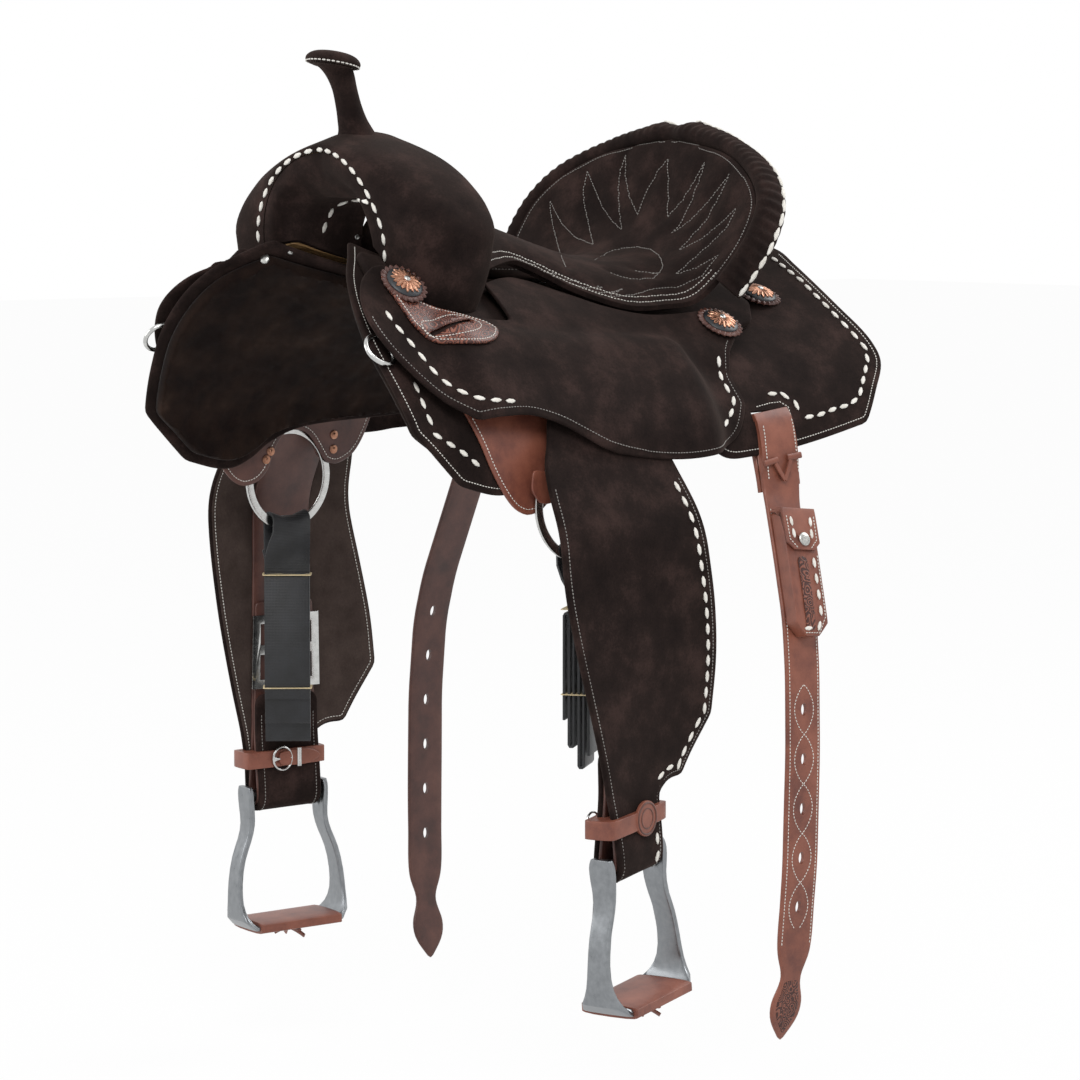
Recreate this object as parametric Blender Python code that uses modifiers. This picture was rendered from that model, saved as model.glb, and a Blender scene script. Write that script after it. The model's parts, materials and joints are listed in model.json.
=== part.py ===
"""Barrel racing saddle: tree, leathers, rigging, fenders, stirrups, straps and trim.

Metres, +Z up. The horse faces -Y and its near (left) side is +X. The origin is the middle of the
gullet channel's roof, just under the ground seat, where a rack or the horse's back holds the saddle.
"""

import math

import bmesh
import bpy
import numpy as np
from mathutils import Matrix, Vector

# Clearances
GAP = 0.0003  # between pieces that touch
PLY_GAP = 0.0008  # between plies of leather that lie on each other
NEAR, FAR = 1, -1
SIDES = (("near", NEAR), ("far", FAR))

# Side of the saddle: one cross-section at each of three places along the back.
# x and z where the skirts start, the slope there, x and z of the turn to the hanging part, the slope there.
SECTION_Y = (-0.33, -0.02, 0.28)
SECTION_X_TOP = (0.050, 0.035, 0.030)
SECTION_Z_TOP = (0.072, -0.012, 0.030)
SECTION_SLOPE_TOP = (40.0, 12.0, 12.0)
SECTION_REACH_TOP = (0.10, 0.09, 0.11)
SECTION_X_LOW = (0.2195, 0.2215, 0.240)
SECTION_Z_LOW = (-0.145, -0.155, -0.135)
SECTION_SLOPE_LOW = (86.0, 85.0, 72.0)
SECTION_REACH_LOW = (0.045, 0.06, 0.05)
SECTION_STEPS = 64
FOLD_Y, FOLD_S = 0.068, 0.038  # between the fold lines of the plies

# Plies of leather, measured from the skirt's outer face
SKIRT_THICK = 0.005
FLEECE_THICK = 0.012
BAR_THICK = 0.011
RIGGING_THICK = 0.003
RING_THICK = 0.0035
FLAP_THICK = 0.0025
JOCKEY_THICK = 0.004
KEEPER_THICK = 0.0035
FENDER_THICK = 0.005
STIRRUP_LEATHER_THICK = 0.0035

# How far the seat jockey's inner face stands off the skirt
JOCKEY_FRONT_LIFT = 0.0105
JOCKEY_FENDER_LIFT, JOCKEY_FLARE = 0.0245, 0.0030
JOCKEY_REAR_LIFT = PLY_GAP
JOCKEY_SEAM_LIFT = 0.0185

# Cuts of the leathers, as (y, distance down the side from the top of the skirts)
SKIRT_CUT = (
    (-0.285, 0.015), (-0.303, 0.045), (-0.326, 0.085), (-0.339, 0.125), (-0.343, 0.170),
    (-0.338, 0.212), (-0.329, 0.262), (-0.278, 0.298), (-0.226, 0.297), (-0.200, 0.284),
    (-0.178, 0.266), (-0.152, 0.252), (-0.126, 0.244), (-0.037, 0.236), (0.005, 0.237),
    (0.028, 0.251), (0.047, 0.264), (0.077, 0.267), (0.226, 0.266), (0.250, 0.238),
    (0.274, 0.210), (0.277, 0.190), (0.270, 0.130), (0.270, 0.090), (0.275, 0.050),
    (0.282, 0.020), (0.282, -0.024), (0.200, -0.020), (0.100, 0.004), (-0.120, 0.004),
)
FLEECE_CUT = (
    (-0.282, 0.030), (-0.318, 0.088), (-0.330, 0.128), (-0.334, 0.170), (-0.329, 0.212),
    (-0.321, 0.257), (-0.274, 0.289), (-0.230, 0.288), (-0.204, 0.275), (-0.182, 0.257),
    (-0.154, 0.243), (-0.126, 0.235), (-0.037, 0.227), (0.008, 0.228), (0.032, 0.243),
    (0.050, 0.255), (0.077, 0.258), (0.221, 0.257), (0.243, 0.232), (0.265, 0.207),
    (0.268, 0.190), (0.261, 0.130), (0.262, 0.090), (0.270, 0.030), (0.270, 0.000),
    (0.100, 0.014), (-0.120, 0.014),
)
BAR_CUT = (
    (-0.300, 0.050), (-0.305, 0.095), (-0.290, 0.130), (-0.230, 0.150), (-0.160, 0.152),
    (-0.143, 0.184), (-0.086, 0.184), (-0.070, 0.148), (0.000, 0.128), (0.100, 0.130),
    (0.148, 0.124), (0.166, 0.098),
    (0.166, 0.050), (0.148, 0.024), (0.100, 0.016), (-0.100, 0.016), (-0.200, 0.026),
)
JOCKEY_CUT = (
    (-0.288, 0.072), (-0.311, 0.086), (-0.335, 0.117), (-0.345, 0.150), (-0.341, 0.173),
    (-0.330, 0.194), (-0.309, 0.217), (-0.268, 0.242), (-0.243, 0.236), (-0.209, 0.230),
    (-0.178, 0.233), (-0.150, 0.241), (-0.118, 0.249), (0.044, 0.252), (0.059, 0.244),
    (0.079, 0.216), (0.077, 0.190), (0.083, 0.163), (0.104, 0.144), (0.112, 0.118),
    (0.085, 0.1085), (0.062, 0.108), (0.009, 0.103), (-0.029, 0.085), (-0.060, 0.0600),
    (-0.084, 0.041), (-0.104, 0.035), (-0.130, 0.045), (-0.160, 0.062), (-0.166, 0.118), (-0.280, 0.118),
)
RIGGING_CUT = (
    (-0.262, 0.188), (-0.272, 0.205), (-0.260, 0.245), (-0.237, 0.288), (-0.217, 0.309),
    (-0.203, 0.313), (-0.187, 0.307), (-0.173, 0.292), (-0.167, 0.275), (-0.158, 0.259),
    (-0.148, 0.2505), (-0.130, 0.2505), (-0.119, 0.257), (-0.109, 0.270), (-0.100, 0.282),
    (-0.086, 0.285), (-0.066, 0.276), (-0.050, 0.255), (-0.040, 0.225), (-0.040, 0.188),
)
FRONT_FLAP_CUT = (
    (-0.203, 0.270), (-0.206, 0.290), (-0.196, 0.301), (-0.182, 0.300), (-0.170, 0.289), (-0.166, 0.270),
)
REAR_FLAP_CUT = (
    (-0.110, 0.264), (-0.103, 0.278), (-0.090, 0.283), (-0.078, 0.276), (-0.080, 0.249), (-0.098, 0.252),
)
RIVETS = ((-0.1765, 0.2825), (-0.1712, 0.2738), (-0.0905, 0.254), (-0.0905, 0.269))
RIVET_RADIUS = 0.003
FLAP_LIFT = 0.0112
KEEPER_CUT = (
    (-0.300, 0.086), (-0.287, 0.092), (-0.281, 0.116), (-0.262, 0.121), (-0.226, 0.123), (-0.208, 0.130),
    (-0.202, 0.144), (-0.214, 0.158), (-0.242, 0.168), (-0.280, 0.168), (-0.300, 0.154),
    (-0.304, 0.130), (-0.307, 0.100),
)
KEEPER_SLOT = ((-0.284, 0.152), (-0.284, 0.157), (-0.226, 0.141), (-0.226, 0.136))

# Rigging ring and the straps tied to it
RING_Y, RING_RADIUS, RING_BAND = -0.1435, 0.049, 0.009
RING_X, RING_TOP_Z, RING_SPLAY, RING_LEAN = 0.2286, -0.1545, 0.02, -0.045
LATIGO_WIDTH, LATIGO_THICK, LATIGO_BAR_GAP = 0.046, 0.0024, 0.0027
LATIGO_PITCH = 0.0047
LATIGO_HINGE_RISE = 0.0028
LATIGO_TWIST_END = 0.043
LATIGO_TWIST, LATIGO_TWIST_FROM, LATIGO_TWIST_OVER = math.radians(38), 0.008, 0.034
LATIGO_LENGTH = {"near": 0.195, "far": 0.222}
BAND_RADIUS, BAND_CLEAR = 0.0010, 0.0004
BAND_DROPS = {"near": (0.046, 0.126), "far": (0.050, 0.166)}

# Fender, stirrup leather and stirrup
PIVOT = Vector((0.2030, -0.1145, -0.0955))
HANG_Y = -0.120  # middle of the fender's neck and of the stirrup leather
FENDER_SLOPE = 62.5
FENDER_FLAT, FENDER_BEND = 0.118, 0.060
BAR_DROP = 0.4545
YAW = {"near": math.radians(15), "far": math.radians(8)}
YAW_FROM, YAW_TO = 0.16, 0.42
TILT = {"near": math.radians(7), "far": math.radians(2)}
TILT_FROM, TILT_TO = 0.34, 0.43
NECK_WIDTH = 0.073
TAB_RADIUS, SHOULDER_SLOPE = 0.013, math.radians(26)
STIRRUP_BAR_RADIUS = 0.006
FOLD_EASE = 0.075
FENDER_UPTURN, LEATHER_UPTURN = 0.094, 0.200
FENDER_CUT = (
    (-0.052, 0.040), (-0.046, 0.075), (-0.036, 0.118), (-0.026, 0.172), (-0.015, 0.222),
    (-0.006, 0.276), (-0.003, 0.328), (-0.028, 0.362), (-0.044, 0.388), (-0.066, 0.389), (-0.083, 0.399),
)
FENDER_FRONT_CUT = (
    (-0.158, 0.430), (-0.163, 0.400), (-0.177, 0.340), (-0.196, 0.250), (-0.206, 0.180),
    (-0.207, 0.118), (-0.200, 0.078), (-0.190, 0.058),
)
HOBBLE_ABOVE_BAR, HOBBLE_HEIGHT, HOBBLE_THICK = 0.0385, 0.017, 0.0028
HOBBLE_DROP = BAR_DROP - HOBBLE_ABOVE_BAR
STIRRUP_HEAD_HALF = 0.0435
TREAD_THICK = 0.006
TREAD_COVER_THICK = 0.0025

# Rear billets and the tool pouch
BILLET_Y, BILLET_WIDTH, BILLET_THICK = 0.108, 0.044, 0.0042
SLOT_TOP, SLOT_LOW, SLOT_WIDTH = 0.220, 0.2365, 0.050
BILLET_LINE = (
    (0.2375, 0.106, -0.2045), (0.2580, 0.100, -0.262), (0.2785, 0.093, -0.322), (0.2880, 0.088, -0.372),
    (0.2925, 0.085, -0.450), (0.2915, 0.083, -0.560), (0.2860, 0.079, -0.660), (0.2710, 0.075, -0.740),
)
BILLET_CUT = (
    (-0.022, 0.0), (0.022, 0.0), (0.022, 0.400), (0.0205, 0.450), (0.0125, 0.474), (0.0135, 0.482),
    (0.0195, 0.500), (0.018, 0.515), (0.0, 0.541), (-0.018, 0.515), (-0.0195, 0.500), (-0.0135, 0.482),
    (-0.0125, 0.474), (-0.0205, 0.450), (-0.022, 0.400),
)
BILLET_HOLES, BILLET_HOLE_PITCH, BILLET_LAST_HOLE = {"near": 5, "far": 6}, 0.048, 0.405
BILLET_HOLE_SIZE = (0.007, 0.012)
POUCH_WIDTH, POUCH_DEPTH, POUCH_HEIGHT, POUCH_WALL = 0.041, 0.0155, 0.122, 0.0022
POUCH_TOP_DROP = 0.022
POUCH_FLAP_DROP = 0.040

# Fork, swell and horn
FORK_Z = 0.035
SWELL_ANGLES = (0, 16, 32, 48, 62, 74, 83, 92, 118)
SWELL_RADII = (0.111, 0.108, 0.112, 0.123, 0.139, 0.157, 0.166, 0.160, 0.150)
GULLET_RADIUS_TOP, GULLET_RADIUS_LOW = 0.047, 0.062
LIP_RADIUS = 0.091
SWELL_Y, SWELL_HALF = -0.222, 0.052
GULLET_LIP_Y = -0.246
COVER_THICK = 0.0035
HORN_LINE = ((-0.2185, 0.100), (-0.231, 0.144), (-0.243, 0.186), (-0.248, 0.2035))
HORN_POST_RADIUS = 0.0065
HORN_TILT = math.radians(-11)
CAP_CENTRE = (0.0, -0.2575, 0.2075)
CAP_RADIUS, CAP_HEIGHT = 0.0265, 0.0125
CAP_PLATE_RADIUS, CAP_PLATE_THICK = 0.020, 0.004

# Seat: along the middle (y, z), and its edge at the seam and the cantle rim (x, y, z)
SEAT_MIDDLE = (
    (-0.1655, 0.088), (-0.125, 0.067), (-0.075, 0.048), (-0.035, 0.034), (0.010, 0.0215),
    (0.050, 0.0175), (0.090, 0.019), (0.120, 0.030), (0.140, 0.053), (0.155, 0.085),
    (0.165, 0.114), (0.170, 0.130), (0.173, 0.139),
)
SEAT_EDGE = (
    (0.106, -0.163, 0.012), (0.083, -0.105, 0.022), (0.088, -0.078, 0.014), (0.112, -0.045, -0.006),
    (0.136, -0.002, -0.0215), (0.143, 0.040, -0.0215), (0.152, 0.072, -0.016), (0.167, 0.094, 0.012),
    (0.174, 0.116, 0.045), (0.167, 0.136, 0.078), (0.135, 0.152, 0.106), (0.083, 0.166, 0.127),
    (0.0, 0.173, 0.139),
)
SEAT_PAD, PAD_CROWN = 0.009, 0.004
GROUND_SEAT_THICK = 0.003
CANTLE_BOARD_THICK, CANTLE_BACK_THICK = 0.015, 0.003
CANTLE_FROM = 7.2
ROLL_HALF_THICK, ROLL_HALF_WIDTH = 0.0165, 0.008

# Trim
CONCHO_RADIUS, ROSETTE_RADIUS, ROSETTE_SCALLOP, SCALLOPS = 0.0185, 0.0225, 0.0016, 12
CONCHO_PLACES = {"front": (-0.286, 0.104), "seat": (0.091, 0.131), "skirt": (0.196, 0.080)}
DEE_Y, DEE_S, DEE_HALF, DEE_REACH, DEE_WIRE = -0.325, 0.176, 0.016, 0.028, 0.0026
DEE_LIFT, DEE_CLEAR, DEE_LEAN = 0.0042, 0.0006, math.radians(3)

# Small fittings
LINING_THICK = 0.003
HOBBLE_CLEAR, HOBBLE_FRONT = 0.0010, -0.168
HOBBLE_BUCKLE_Y = {"near": -0.150, "far": -0.131}
MEDALLION_Y, MEDALLION_RADIUS = -0.116, 0.017
BUCKLE_WIRE = 0.0013
BUCKLE_WIDTH, BUCKLE_THICK, BUCKLE_RIM = 0.080, 0.0025, 0.018
BUCKLE_ABOVE_BAR, BUCKLE_LENGTH = 0.1865, 0.076
BUCKLE_WINDOWS = ((0.009, 0.031), (0.041, 0.067))
STIRRUP_LINE = (
    (0.0435, 0.0105, 0.022), (0.0435, 0.0030, 0.029), (0.0432, -0.0120, 0.027), (0.0420, -0.0290, 0.023),
    (0.0465, -0.0450, 0.022), (0.0550, -0.0620, 0.022), (0.0600, -0.0880, 0.023), (0.0605, -0.1120, 0.027),
    (0.0580, -0.1260, 0.044), (0.0500, -0.1345, 0.056),
)
TREAD_COVER_HALF = 0.047
LOOP_END = 0.3038
POUCH_FLAP_THICK = 0.0022
HORN_WRAP = (
    ((-0.2290, 0.137), 0.0185, 8), ((-0.2310, 0.144), 0.0165, 10), ((-0.2345, 0.155), 0.0138, 12),
    ((-0.2385, 0.170), 0.0122, 14), ((-0.2430, 0.186), 0.0118, 10), ((-0.2475, 0.197), 0.0135, 0),
    ((-0.2530, 0.2045), 0.0160, -8),
)
BINDING_FROM = 6.7
CONCHO_CLEAR, ROSETTE_THICK = 0.0006, 0.0028


def clear_scene():
    for obj in list(bpy.data.objects):
        bpy.data.objects.remove(obj, do_unlink=True)


clear_scene()
PARTS = bpy.data.collections.new("barrel_racing_saddle")
CUTTERS = bpy.data.collections.new("cutters")
PIVOTS = bpy.data.collections.new("pivots")
for made in (PARTS, CUTTERS, PIVOTS):
    bpy.context.scene.collection.children.link(made)


def finish(name, colour, roughness, metallic=0.0):
    mat = bpy.data.materials.new(name)
    mat.use_nodes = True
    shader = mat.node_tree.nodes["Principled BSDF"]
    shader.inputs["Base Color"].default_value = (*colour, 1.0)
    shader.inputs["Roughness"].default_value = roughness
    shader.inputs["Metallic"].default_value = metallic
    mat.diffuse_color = (*colour, 1.0)
    return mat


SUEDE = finish("rough_out_leather", (0.030, 0.016, 0.013), 0.95)
RUSSET = finish("skirting_leather", (0.190, 0.072, 0.042), 0.50)
WOOL = finish("wool_felt", (0.016, 0.012, 0.010), 1.0)
WOOD = finish("tree_wood", (0.420, 0.260, 0.130), 0.60)
STEEL = finish("stainless_steel", (0.560, 0.560, 0.550), 0.25, 1.0)
ALUMINIUM = finish("cast_aluminium", (0.500, 0.510, 0.520), 0.38, 1.0)
NYLON = finish("nylon_webbing", (0.012, 0.012, 0.013), 0.55)
RUBBER = finish("rubber_band", (0.620, 0.500, 0.330), 0.60)
COPPER = finish("copper_concho", (0.550, 0.260, 0.150), 0.30, 1.0)


def ease(t):
    t = min(max(t, 0.0), 1.0)
    return t * t * (3 - 2 * t)


def through(values, y):
    """The parabola through a dimension's three values, at the three cross-sections."""
    a, b, c = SECTION_Y
    weights = (
        (y - b) * (y - c) / ((a - b) * (a - c)),
        (y - a) * (y - c) / ((b - a) * (b - c)),
        (y - a) * (y - b) / ((c - a) * (c - b)),
    )
    return sum(weight * value for weight, value in zip(weights, values))


def section(y):
    """Points down the skirt's outer face at y, their distances down it, and the two end slopes."""
    slopes = [math.radians(through(values, y)) for values in (SECTION_SLOPE_TOP, SECTION_SLOPE_LOW)]
    ends = [np.array((math.cos(slope), -math.sin(slope))) for slope in slopes]
    top = np.array((through(SECTION_X_TOP, y), through(SECTION_Z_TOP, y)))
    low = np.array((through(SECTION_X_LOW, y), through(SECTION_Z_LOW, y)))
    handles = (top + ends[0] * through(SECTION_REACH_TOP, y), low - ends[1] * through(SECTION_REACH_LOW, y))
    t = np.linspace(0, 1, SECTION_STEPS + 1)[:, None]
    points = (1 - t) ** 3 * top + 3 * (1 - t) ** 2 * t * handles[0]
    points = points + 3 * (1 - t) * t ** 2 * handles[1] + t ** 3 * low
    steps = np.hypot(*np.diff(points, axis=0).T)
    return points, np.concatenate(([0.0], np.cumsum(steps))), ends


def hide(y, s, lift=0.0):
    """The point s down the near side at y, lifted off the skirt's outer face."""
    points, down, ends = section(y)
    if s <= 0:
        place, along = points[0] + s * ends[0], ends[0]
    elif s >= down[-1]:
        place, along = points[-1] + (s - down[-1]) * ends[1], ends[1]
    else:
        place = np.array([np.interp(s, down, points[:, k]) for k in (0, 1)])
        at = int(np.searchsorted(down, s))
        along = points[min(at + 1, SECTION_STEPS)] - points[max(at - 2, 0)]
        along = along / np.hypot(*along)
    return Vector((place[0] - along[1] * lift, y, place[1] + along[0] * lift))


def ply(y, s, lift=0.0, stand_off=None):
    """The same side made of flat triangles between the fold lines, so that plies stay parallel."""
    y_low, s_low = math.floor(y / FOLD_Y + 1e-6) * FOLD_Y, math.floor(s / FOLD_S + 1e-6) * FOLD_S
    p, q = (y - y_low) / FOLD_Y, (s - s_low) / FOLD_S

    def corner(at_y, at_s):
        return hide(at_y, at_s, lift + (stand_off(at_y, at_s) if stand_off else 0.0))

    rear, low = corner(y_low + FOLD_Y, s_low), corner(y_low, s_low + FOLD_S)
    if p + q <= 1:
        here = corner(y_low, s_low)
        return here + (rear - here) * p + (low - here) * q
    here = corner(y_low + FOLD_Y, s_low + FOLD_S)
    return here + (low - here) * (1 - p) + (rear - here) * (1 - q)


def hide_axes(y, s, lift=0.0):
    """Place on the side with its outward normal, its way back and its way up, as a matrix."""
    here = hide(y, s, lift)
    out = (hide(y, s, lift + 0.001) - here).normalized()
    down = (hide(y, s + 0.004, lift) - hide(y, s - 0.004, lift)).normalized()
    back = out.cross(down).normalized()
    turn = Matrix((back, -down, out)).transposed().to_4x4()
    return Matrix.Translation(here) @ turn


def jockey_lift(y, s):
    """How far the jockey's inner face stands off: over the bar, the fender's top and the seat's seam."""
    over_fender = ease((y + 0.297) / 0.055) * (1 - ease((y - 0.005) / 0.045)) * ease((s - 0.105) / 0.050)
    low = JOCKEY_FRONT_LIFT + (JOCKEY_REAR_LIFT - JOCKEY_FRONT_LIFT) * ease((y + 0.05) / 0.08)
    low += (JOCKEY_FENDER_LIFT + JOCKEY_FLARE * ease((s - 0.200) / 0.045) - low) * over_fender
    over_bar = (BAR_THICK + 5 * PLY_GAP) * (1 - ease((s - 0.152) / 0.035)) * ease((y + 0.325) / 0.020)
    lift = max(low, over_bar)
    at_seam = ease((0.150 - s) / 0.050) * ease((y + 0.200) / 0.040)
    return lift + (max(JOCKEY_SEAM_LIFT, lift) - lift) * at_seam


def object_of(name, mesh, mat, collection=PARTS):
    obj = bpy.data.objects.new(name, mesh)
    obj.data.materials.append(mat)
    collection.objects.link(obj)
    if collection is CUTTERS:
        obj.hide_render = True
        obj.display_type = "WIRE"
    return obj


def mesh_from(name, bm, mat, collection=PARTS, sharp=35):
    mesh = bpy.data.meshes.new(name)
    bm.to_mesh(mesh)
    bm.free()
    mesh.shade_smooth()
    mesh.set_sharp_from_angle(angle=math.radians(sharp))
    return object_of(name, mesh, mat, collection)


def thicken(obj, thickness, outward=True):
    shell = obj.modifiers.new("wall", "SOLIDIFY")
    shell.thickness = thickness
    shell.offset = 1.0 if outward else -1.0
    shell.use_even_offset = True
    return obj


def settle(obj):
    """Applies an object's modifiers, so that it can be cut or joined as one mesh."""
    graph = bpy.context.evaluated_depsgraph_get()
    mesh = bpy.data.meshes.new_from_object(obj.evaluated_get(graph))
    bm = bmesh.new()
    bm.from_mesh(mesh)
    bmesh.ops.remove_doubles(bm, verts=bm.verts, dist=1e-6)
    bm.to_mesh(mesh)
    bm.free()
    name, place = obj.name, obj.matrix_world.copy()
    homes = list(obj.users_collection)
    bpy.data.objects.remove(obj, do_unlink=True)
    solid = object_of(name, mesh, mesh.materials[0], homes[0])
    if len(mesh.materials) > 1:
        mesh.materials.pop(index=-1)
    solid.matrix_world = place
    return solid


def combine(obj, other, how):
    change = obj.modifiers.new(how.lower(), "BOOLEAN")
    change.operation = how
    change.object = other
    change.solver = "EXACT"
    if other.users_collection[0] is PARTS:
        PARTS.objects.unlink(other)
        CUTTERS.objects.link(other)
    other.hide_render = True
    other.display_type = "WIRE"
    return obj


def mirrored(bm, side):
    if side == FAR:
        bmesh.ops.scale(bm, vec=(-1, 1, 1), verts=bm.verts)
        bmesh.ops.reverse_faces(bm, faces=bm.faces)
    return bm


def cell_folds(cut):
    """Fold lines of the side's cells across a cut, as (point, normal): along, down and diagonal."""
    folds = []
    for normal in ((1 / FOLD_Y, 0), (0, 1 / FOLD_S), (1 / FOLD_Y, 1 / FOLD_S)):
        reach = [p * normal[0] + q * normal[1] for p, q in cut]
        for k in range(math.ceil(min(reach)), math.floor(max(reach)) + 1):
            folds.append(((k * FOLD_Y, 0) if normal[0] else (0, k * FOLD_S), normal))
    return folds


def panel(name, cut, place, thickness, mat, side=NEAR, folds=None, collection=PARTS):
    """A cut of leather, ruled with fold lines, with its two faces laid on a surface."""
    bm = bmesh.new()
    bm.faces.new([bm.verts.new((p, q, 0)) for p, q in cut])
    folds = cell_folds(cut) if folds is None else [((line, 0), (1, 0)) for line in folds[0]] + [
        ((0, line), (0, 1)) for line in folds[1]
    ]
    for at, normal in folds:
        everything = bm.verts[:] + bm.edges[:] + bm.faces[:]
        plane = {"plane_co": Vector((*at, 0)), "plane_no": Vector((*normal, 0)).normalized()}
        bmesh.ops.bisect_plane(bm, geom=everything, dist=1e-5, **plane)
    top = bmesh.ops.extrude_face_region(bm, geom=bm.faces[:], use_keep_orig=True)["geom"]
    raised = {vert for vert in top if isinstance(vert, bmesh.types.BMVert)}
    for vert in bm.verts:
        vert.co = place(vert.co.x, vert.co.y, thickness if vert in raised else 0.0)
    bmesh.ops.recalc_face_normals(bm, faces=bm.faces)
    return mesh_from(name, mirrored(bm, side), mat, collection)


def loft(name, rings, mat, side=NEAR, caps=True, collection=PARTS, sharp=40, about=None):
    """Skins a row of rings, each a list of as many points; quads are split to bulge away from about."""
    bm = bmesh.new()
    rows = [[bm.verts.new(point) for point in ring] for ring in rings]
    for row, following in zip(rows, rows[1:]):
        for k in range(len(row)):
            near = (k + 1) % len(row)
            bm.faces.new((row[k], row[near], following[near], following[k]))
    if about:
        split_outwards(bm, Vector(about))
    if caps:
        bm.faces.new(rows[0][::-1])
        bm.faces.new(rows[-1])
    bmesh.ops.remove_doubles(bm, verts=bm.verts, dist=1e-6)
    bmesh.ops.recalc_face_normals(bm, faces=bm.faces)
    return mesh_from(name, mirrored(bm, side), mat, collection, sharp)


def split_outwards(bm, centre):
    """Splits quads along the diagonal further from the centre, so that plies on each other split alike."""
    for face in bm.faces[:]:
        a, b, c, d = face.verts
        reach = [((p.co + q.co) / 2 - centre).length for p, q in ((a, c), (b, d))]
        bmesh.utils.face_split(face, *((a, c) if reach[0] > reach[1] else (b, d)))


def grid(name, rows, mat, collection=PARTS):
    """An open surface through rows of points."""
    bm = bmesh.new()
    lines = [[bm.verts.new(point) for point in row] for row in rows]
    for line, following in zip(lines, lines[1:]):
        for k in range(len(line) - 1):
            bm.faces.new((line[k], line[k + 1], following[k + 1], following[k]))
    return mesh_from(name, bm, mat, collection)


def tube(name, points, radius, mat, cyclic=False, side=NEAR, collection=PARTS, facets=2):
    curve = bpy.data.curves.new(name, "CURVE")
    curve.dimensions = "3D"
    curve.bevel_depth = radius
    curve.bevel_resolution = facets
    curve.use_fill_caps = not cyclic
    spline = curve.splines.new("POLY")
    spline.points.add(len(points) - 1)
    for target, point in zip(spline.points, points):
        target.co = (point[0] * side, point[1], point[2], 1.0)
    spline.use_cyclic_u = cyclic
    return object_of(name, curve, mat, collection)


def flat(name, outline, thickness, mat, place, collection=PARTS):
    """A flat outline of the given thickness, its middle on the plane of place."""
    curve = bpy.data.curves.new(name, "CURVE")
    curve.dimensions = "2D"
    curve.fill_mode = "BOTH"
    curve.extrude = thickness / 2
    spline = curve.splines.new("POLY")
    spline.points.add(len(outline) - 1)
    for target, (u, v) in zip(spline.points, outline):
        target.co = (u, v, 0.0, 1.0)
    spline.use_cyclic_u = True
    obj = object_of(name, curve, mat, collection)
    obj.matrix_world = place
    return obj


def turned(name, profile, mat, place, steps=24, collection=PARTS):
    """A profile of (radius, height), top to bottom down its outer side, turned about local Z."""
    bm = bmesh.new()
    verts = [bm.verts.new((r, 0, h)) for r, h in profile]
    for a, b in zip(verts, verts[1:]):
        bm.edges.new((a, b))
    obj = mesh_from(name, bm, mat, collection)
    spin = obj.modifiers.new("turn", "SCREW")
    spin.steps = spin.render_steps = steps
    spin.use_merge_vertices = True
    spin.merge_threshold = 0.00005
    obj.matrix_world = place
    return obj


def box(name, size, place, mat=STEEL, collection=CUTTERS):
    bm = bmesh.new()
    bmesh.ops.create_cube(bm, size=1.0, matrix=Matrix.Diagonal((*size, 1.0)))
    obj = mesh_from(name, bm, mat, collection)
    obj.matrix_world = place
    return obj


def drum(name, radius, height, place, mat=STEEL, collection=CUTTERS, sides=16):
    bm = bmesh.new()
    bmesh.ops.create_cone(
        bm, cap_ends=True, segments=sides, radius1=radius, radius2=radius, depth=height
    )
    obj = mesh_from(name, bm, mat, collection)
    obj.matrix_world = place
    return obj


def flipped(matrix, side):
    """The same place on the far side: mirrored across x = 0, and turned so that it isn't inside out."""
    if side == NEAR:
        return matrix
    mirror = Matrix.Diagonal((-1.0, 1.0, 1.0, 1.0))
    return mirror @ matrix @ mirror


def on_side(lift):
    return lambda p, q, more: ply(p, q, lift + more)


# Skirts, with the fleece inside and the tree's bars on top
def skirts():
    for word, side in SIDES:
        skirt = panel(f"skirt_{word}", SKIRT_CUT, on_side(-SKIRT_THICK), SKIRT_THICK, SUEDE, side)
        inner = -SKIRT_THICK - PLY_GAP - FLEECE_THICK
        fleece = panel(
            f"skirt_fleece_{word}", FLEECE_CUT, on_side(inner), FLEECE_THICK, WOOL, side
        )
        slot_middle = (SLOT_TOP + SLOT_LOW) / 2
        slot_place = flipped(hide_axes(BILLET_Y, slot_middle), side)
        slot = box(f"billet_slot_{word}", (SLOT_WIDTH, SLOT_LOW - SLOT_TOP, 0.05), slot_place)
        combine(skirt, slot, "DIFFERENCE")
        notch_place = flipped(hide_axes(BILLET_Y, slot_middle + 0.030, -0.012), side)
        notch = box(f"fleece_notch_{word}", (SLOT_WIDTH + 0.006, 0.075, 0.040), notch_place)
        combine(fleece, notch, "DIFFERENCE")
        add_dee_keeper(skirt, word, side)
        panel(f"tree_bar_{word}", BAR_CUT, on_side(PLY_GAP), BAR_THICK - PLY_GAP, WOOD, side)


def add_dee_keeper(skirt, word, side):
    """A riveted loop of leather on the skirt's front, with the straight bar of the dee through it."""
    top = DEE_LIFT + DEE_WIRE + 2 * DEE_CLEAR
    place = flipped(hide_axes(DEE_Y, DEE_S, (top - SKIRT_THICK / 2) / 2), side)
    keeper = box(f"dee_keeper_{word}", (0.015, 2 * DEE_HALF - 0.010, top + SKIRT_THICK / 2), place, SUEDE)
    bore_place = flipped(hide_axes(DEE_Y, DEE_S, DEE_LIFT), side)
    lie_along = Matrix.Rotation(math.pi / 2, 4, "X")
    bore = drum(f"dee_bore_{word}", DEE_WIRE + DEE_CLEAR, 0.05, bore_place @ lie_along, sides=12)
    combine(keeper, bore, "DIFFERENCE")
    combine(skirt, settle(keeper), "UNION")


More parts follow.
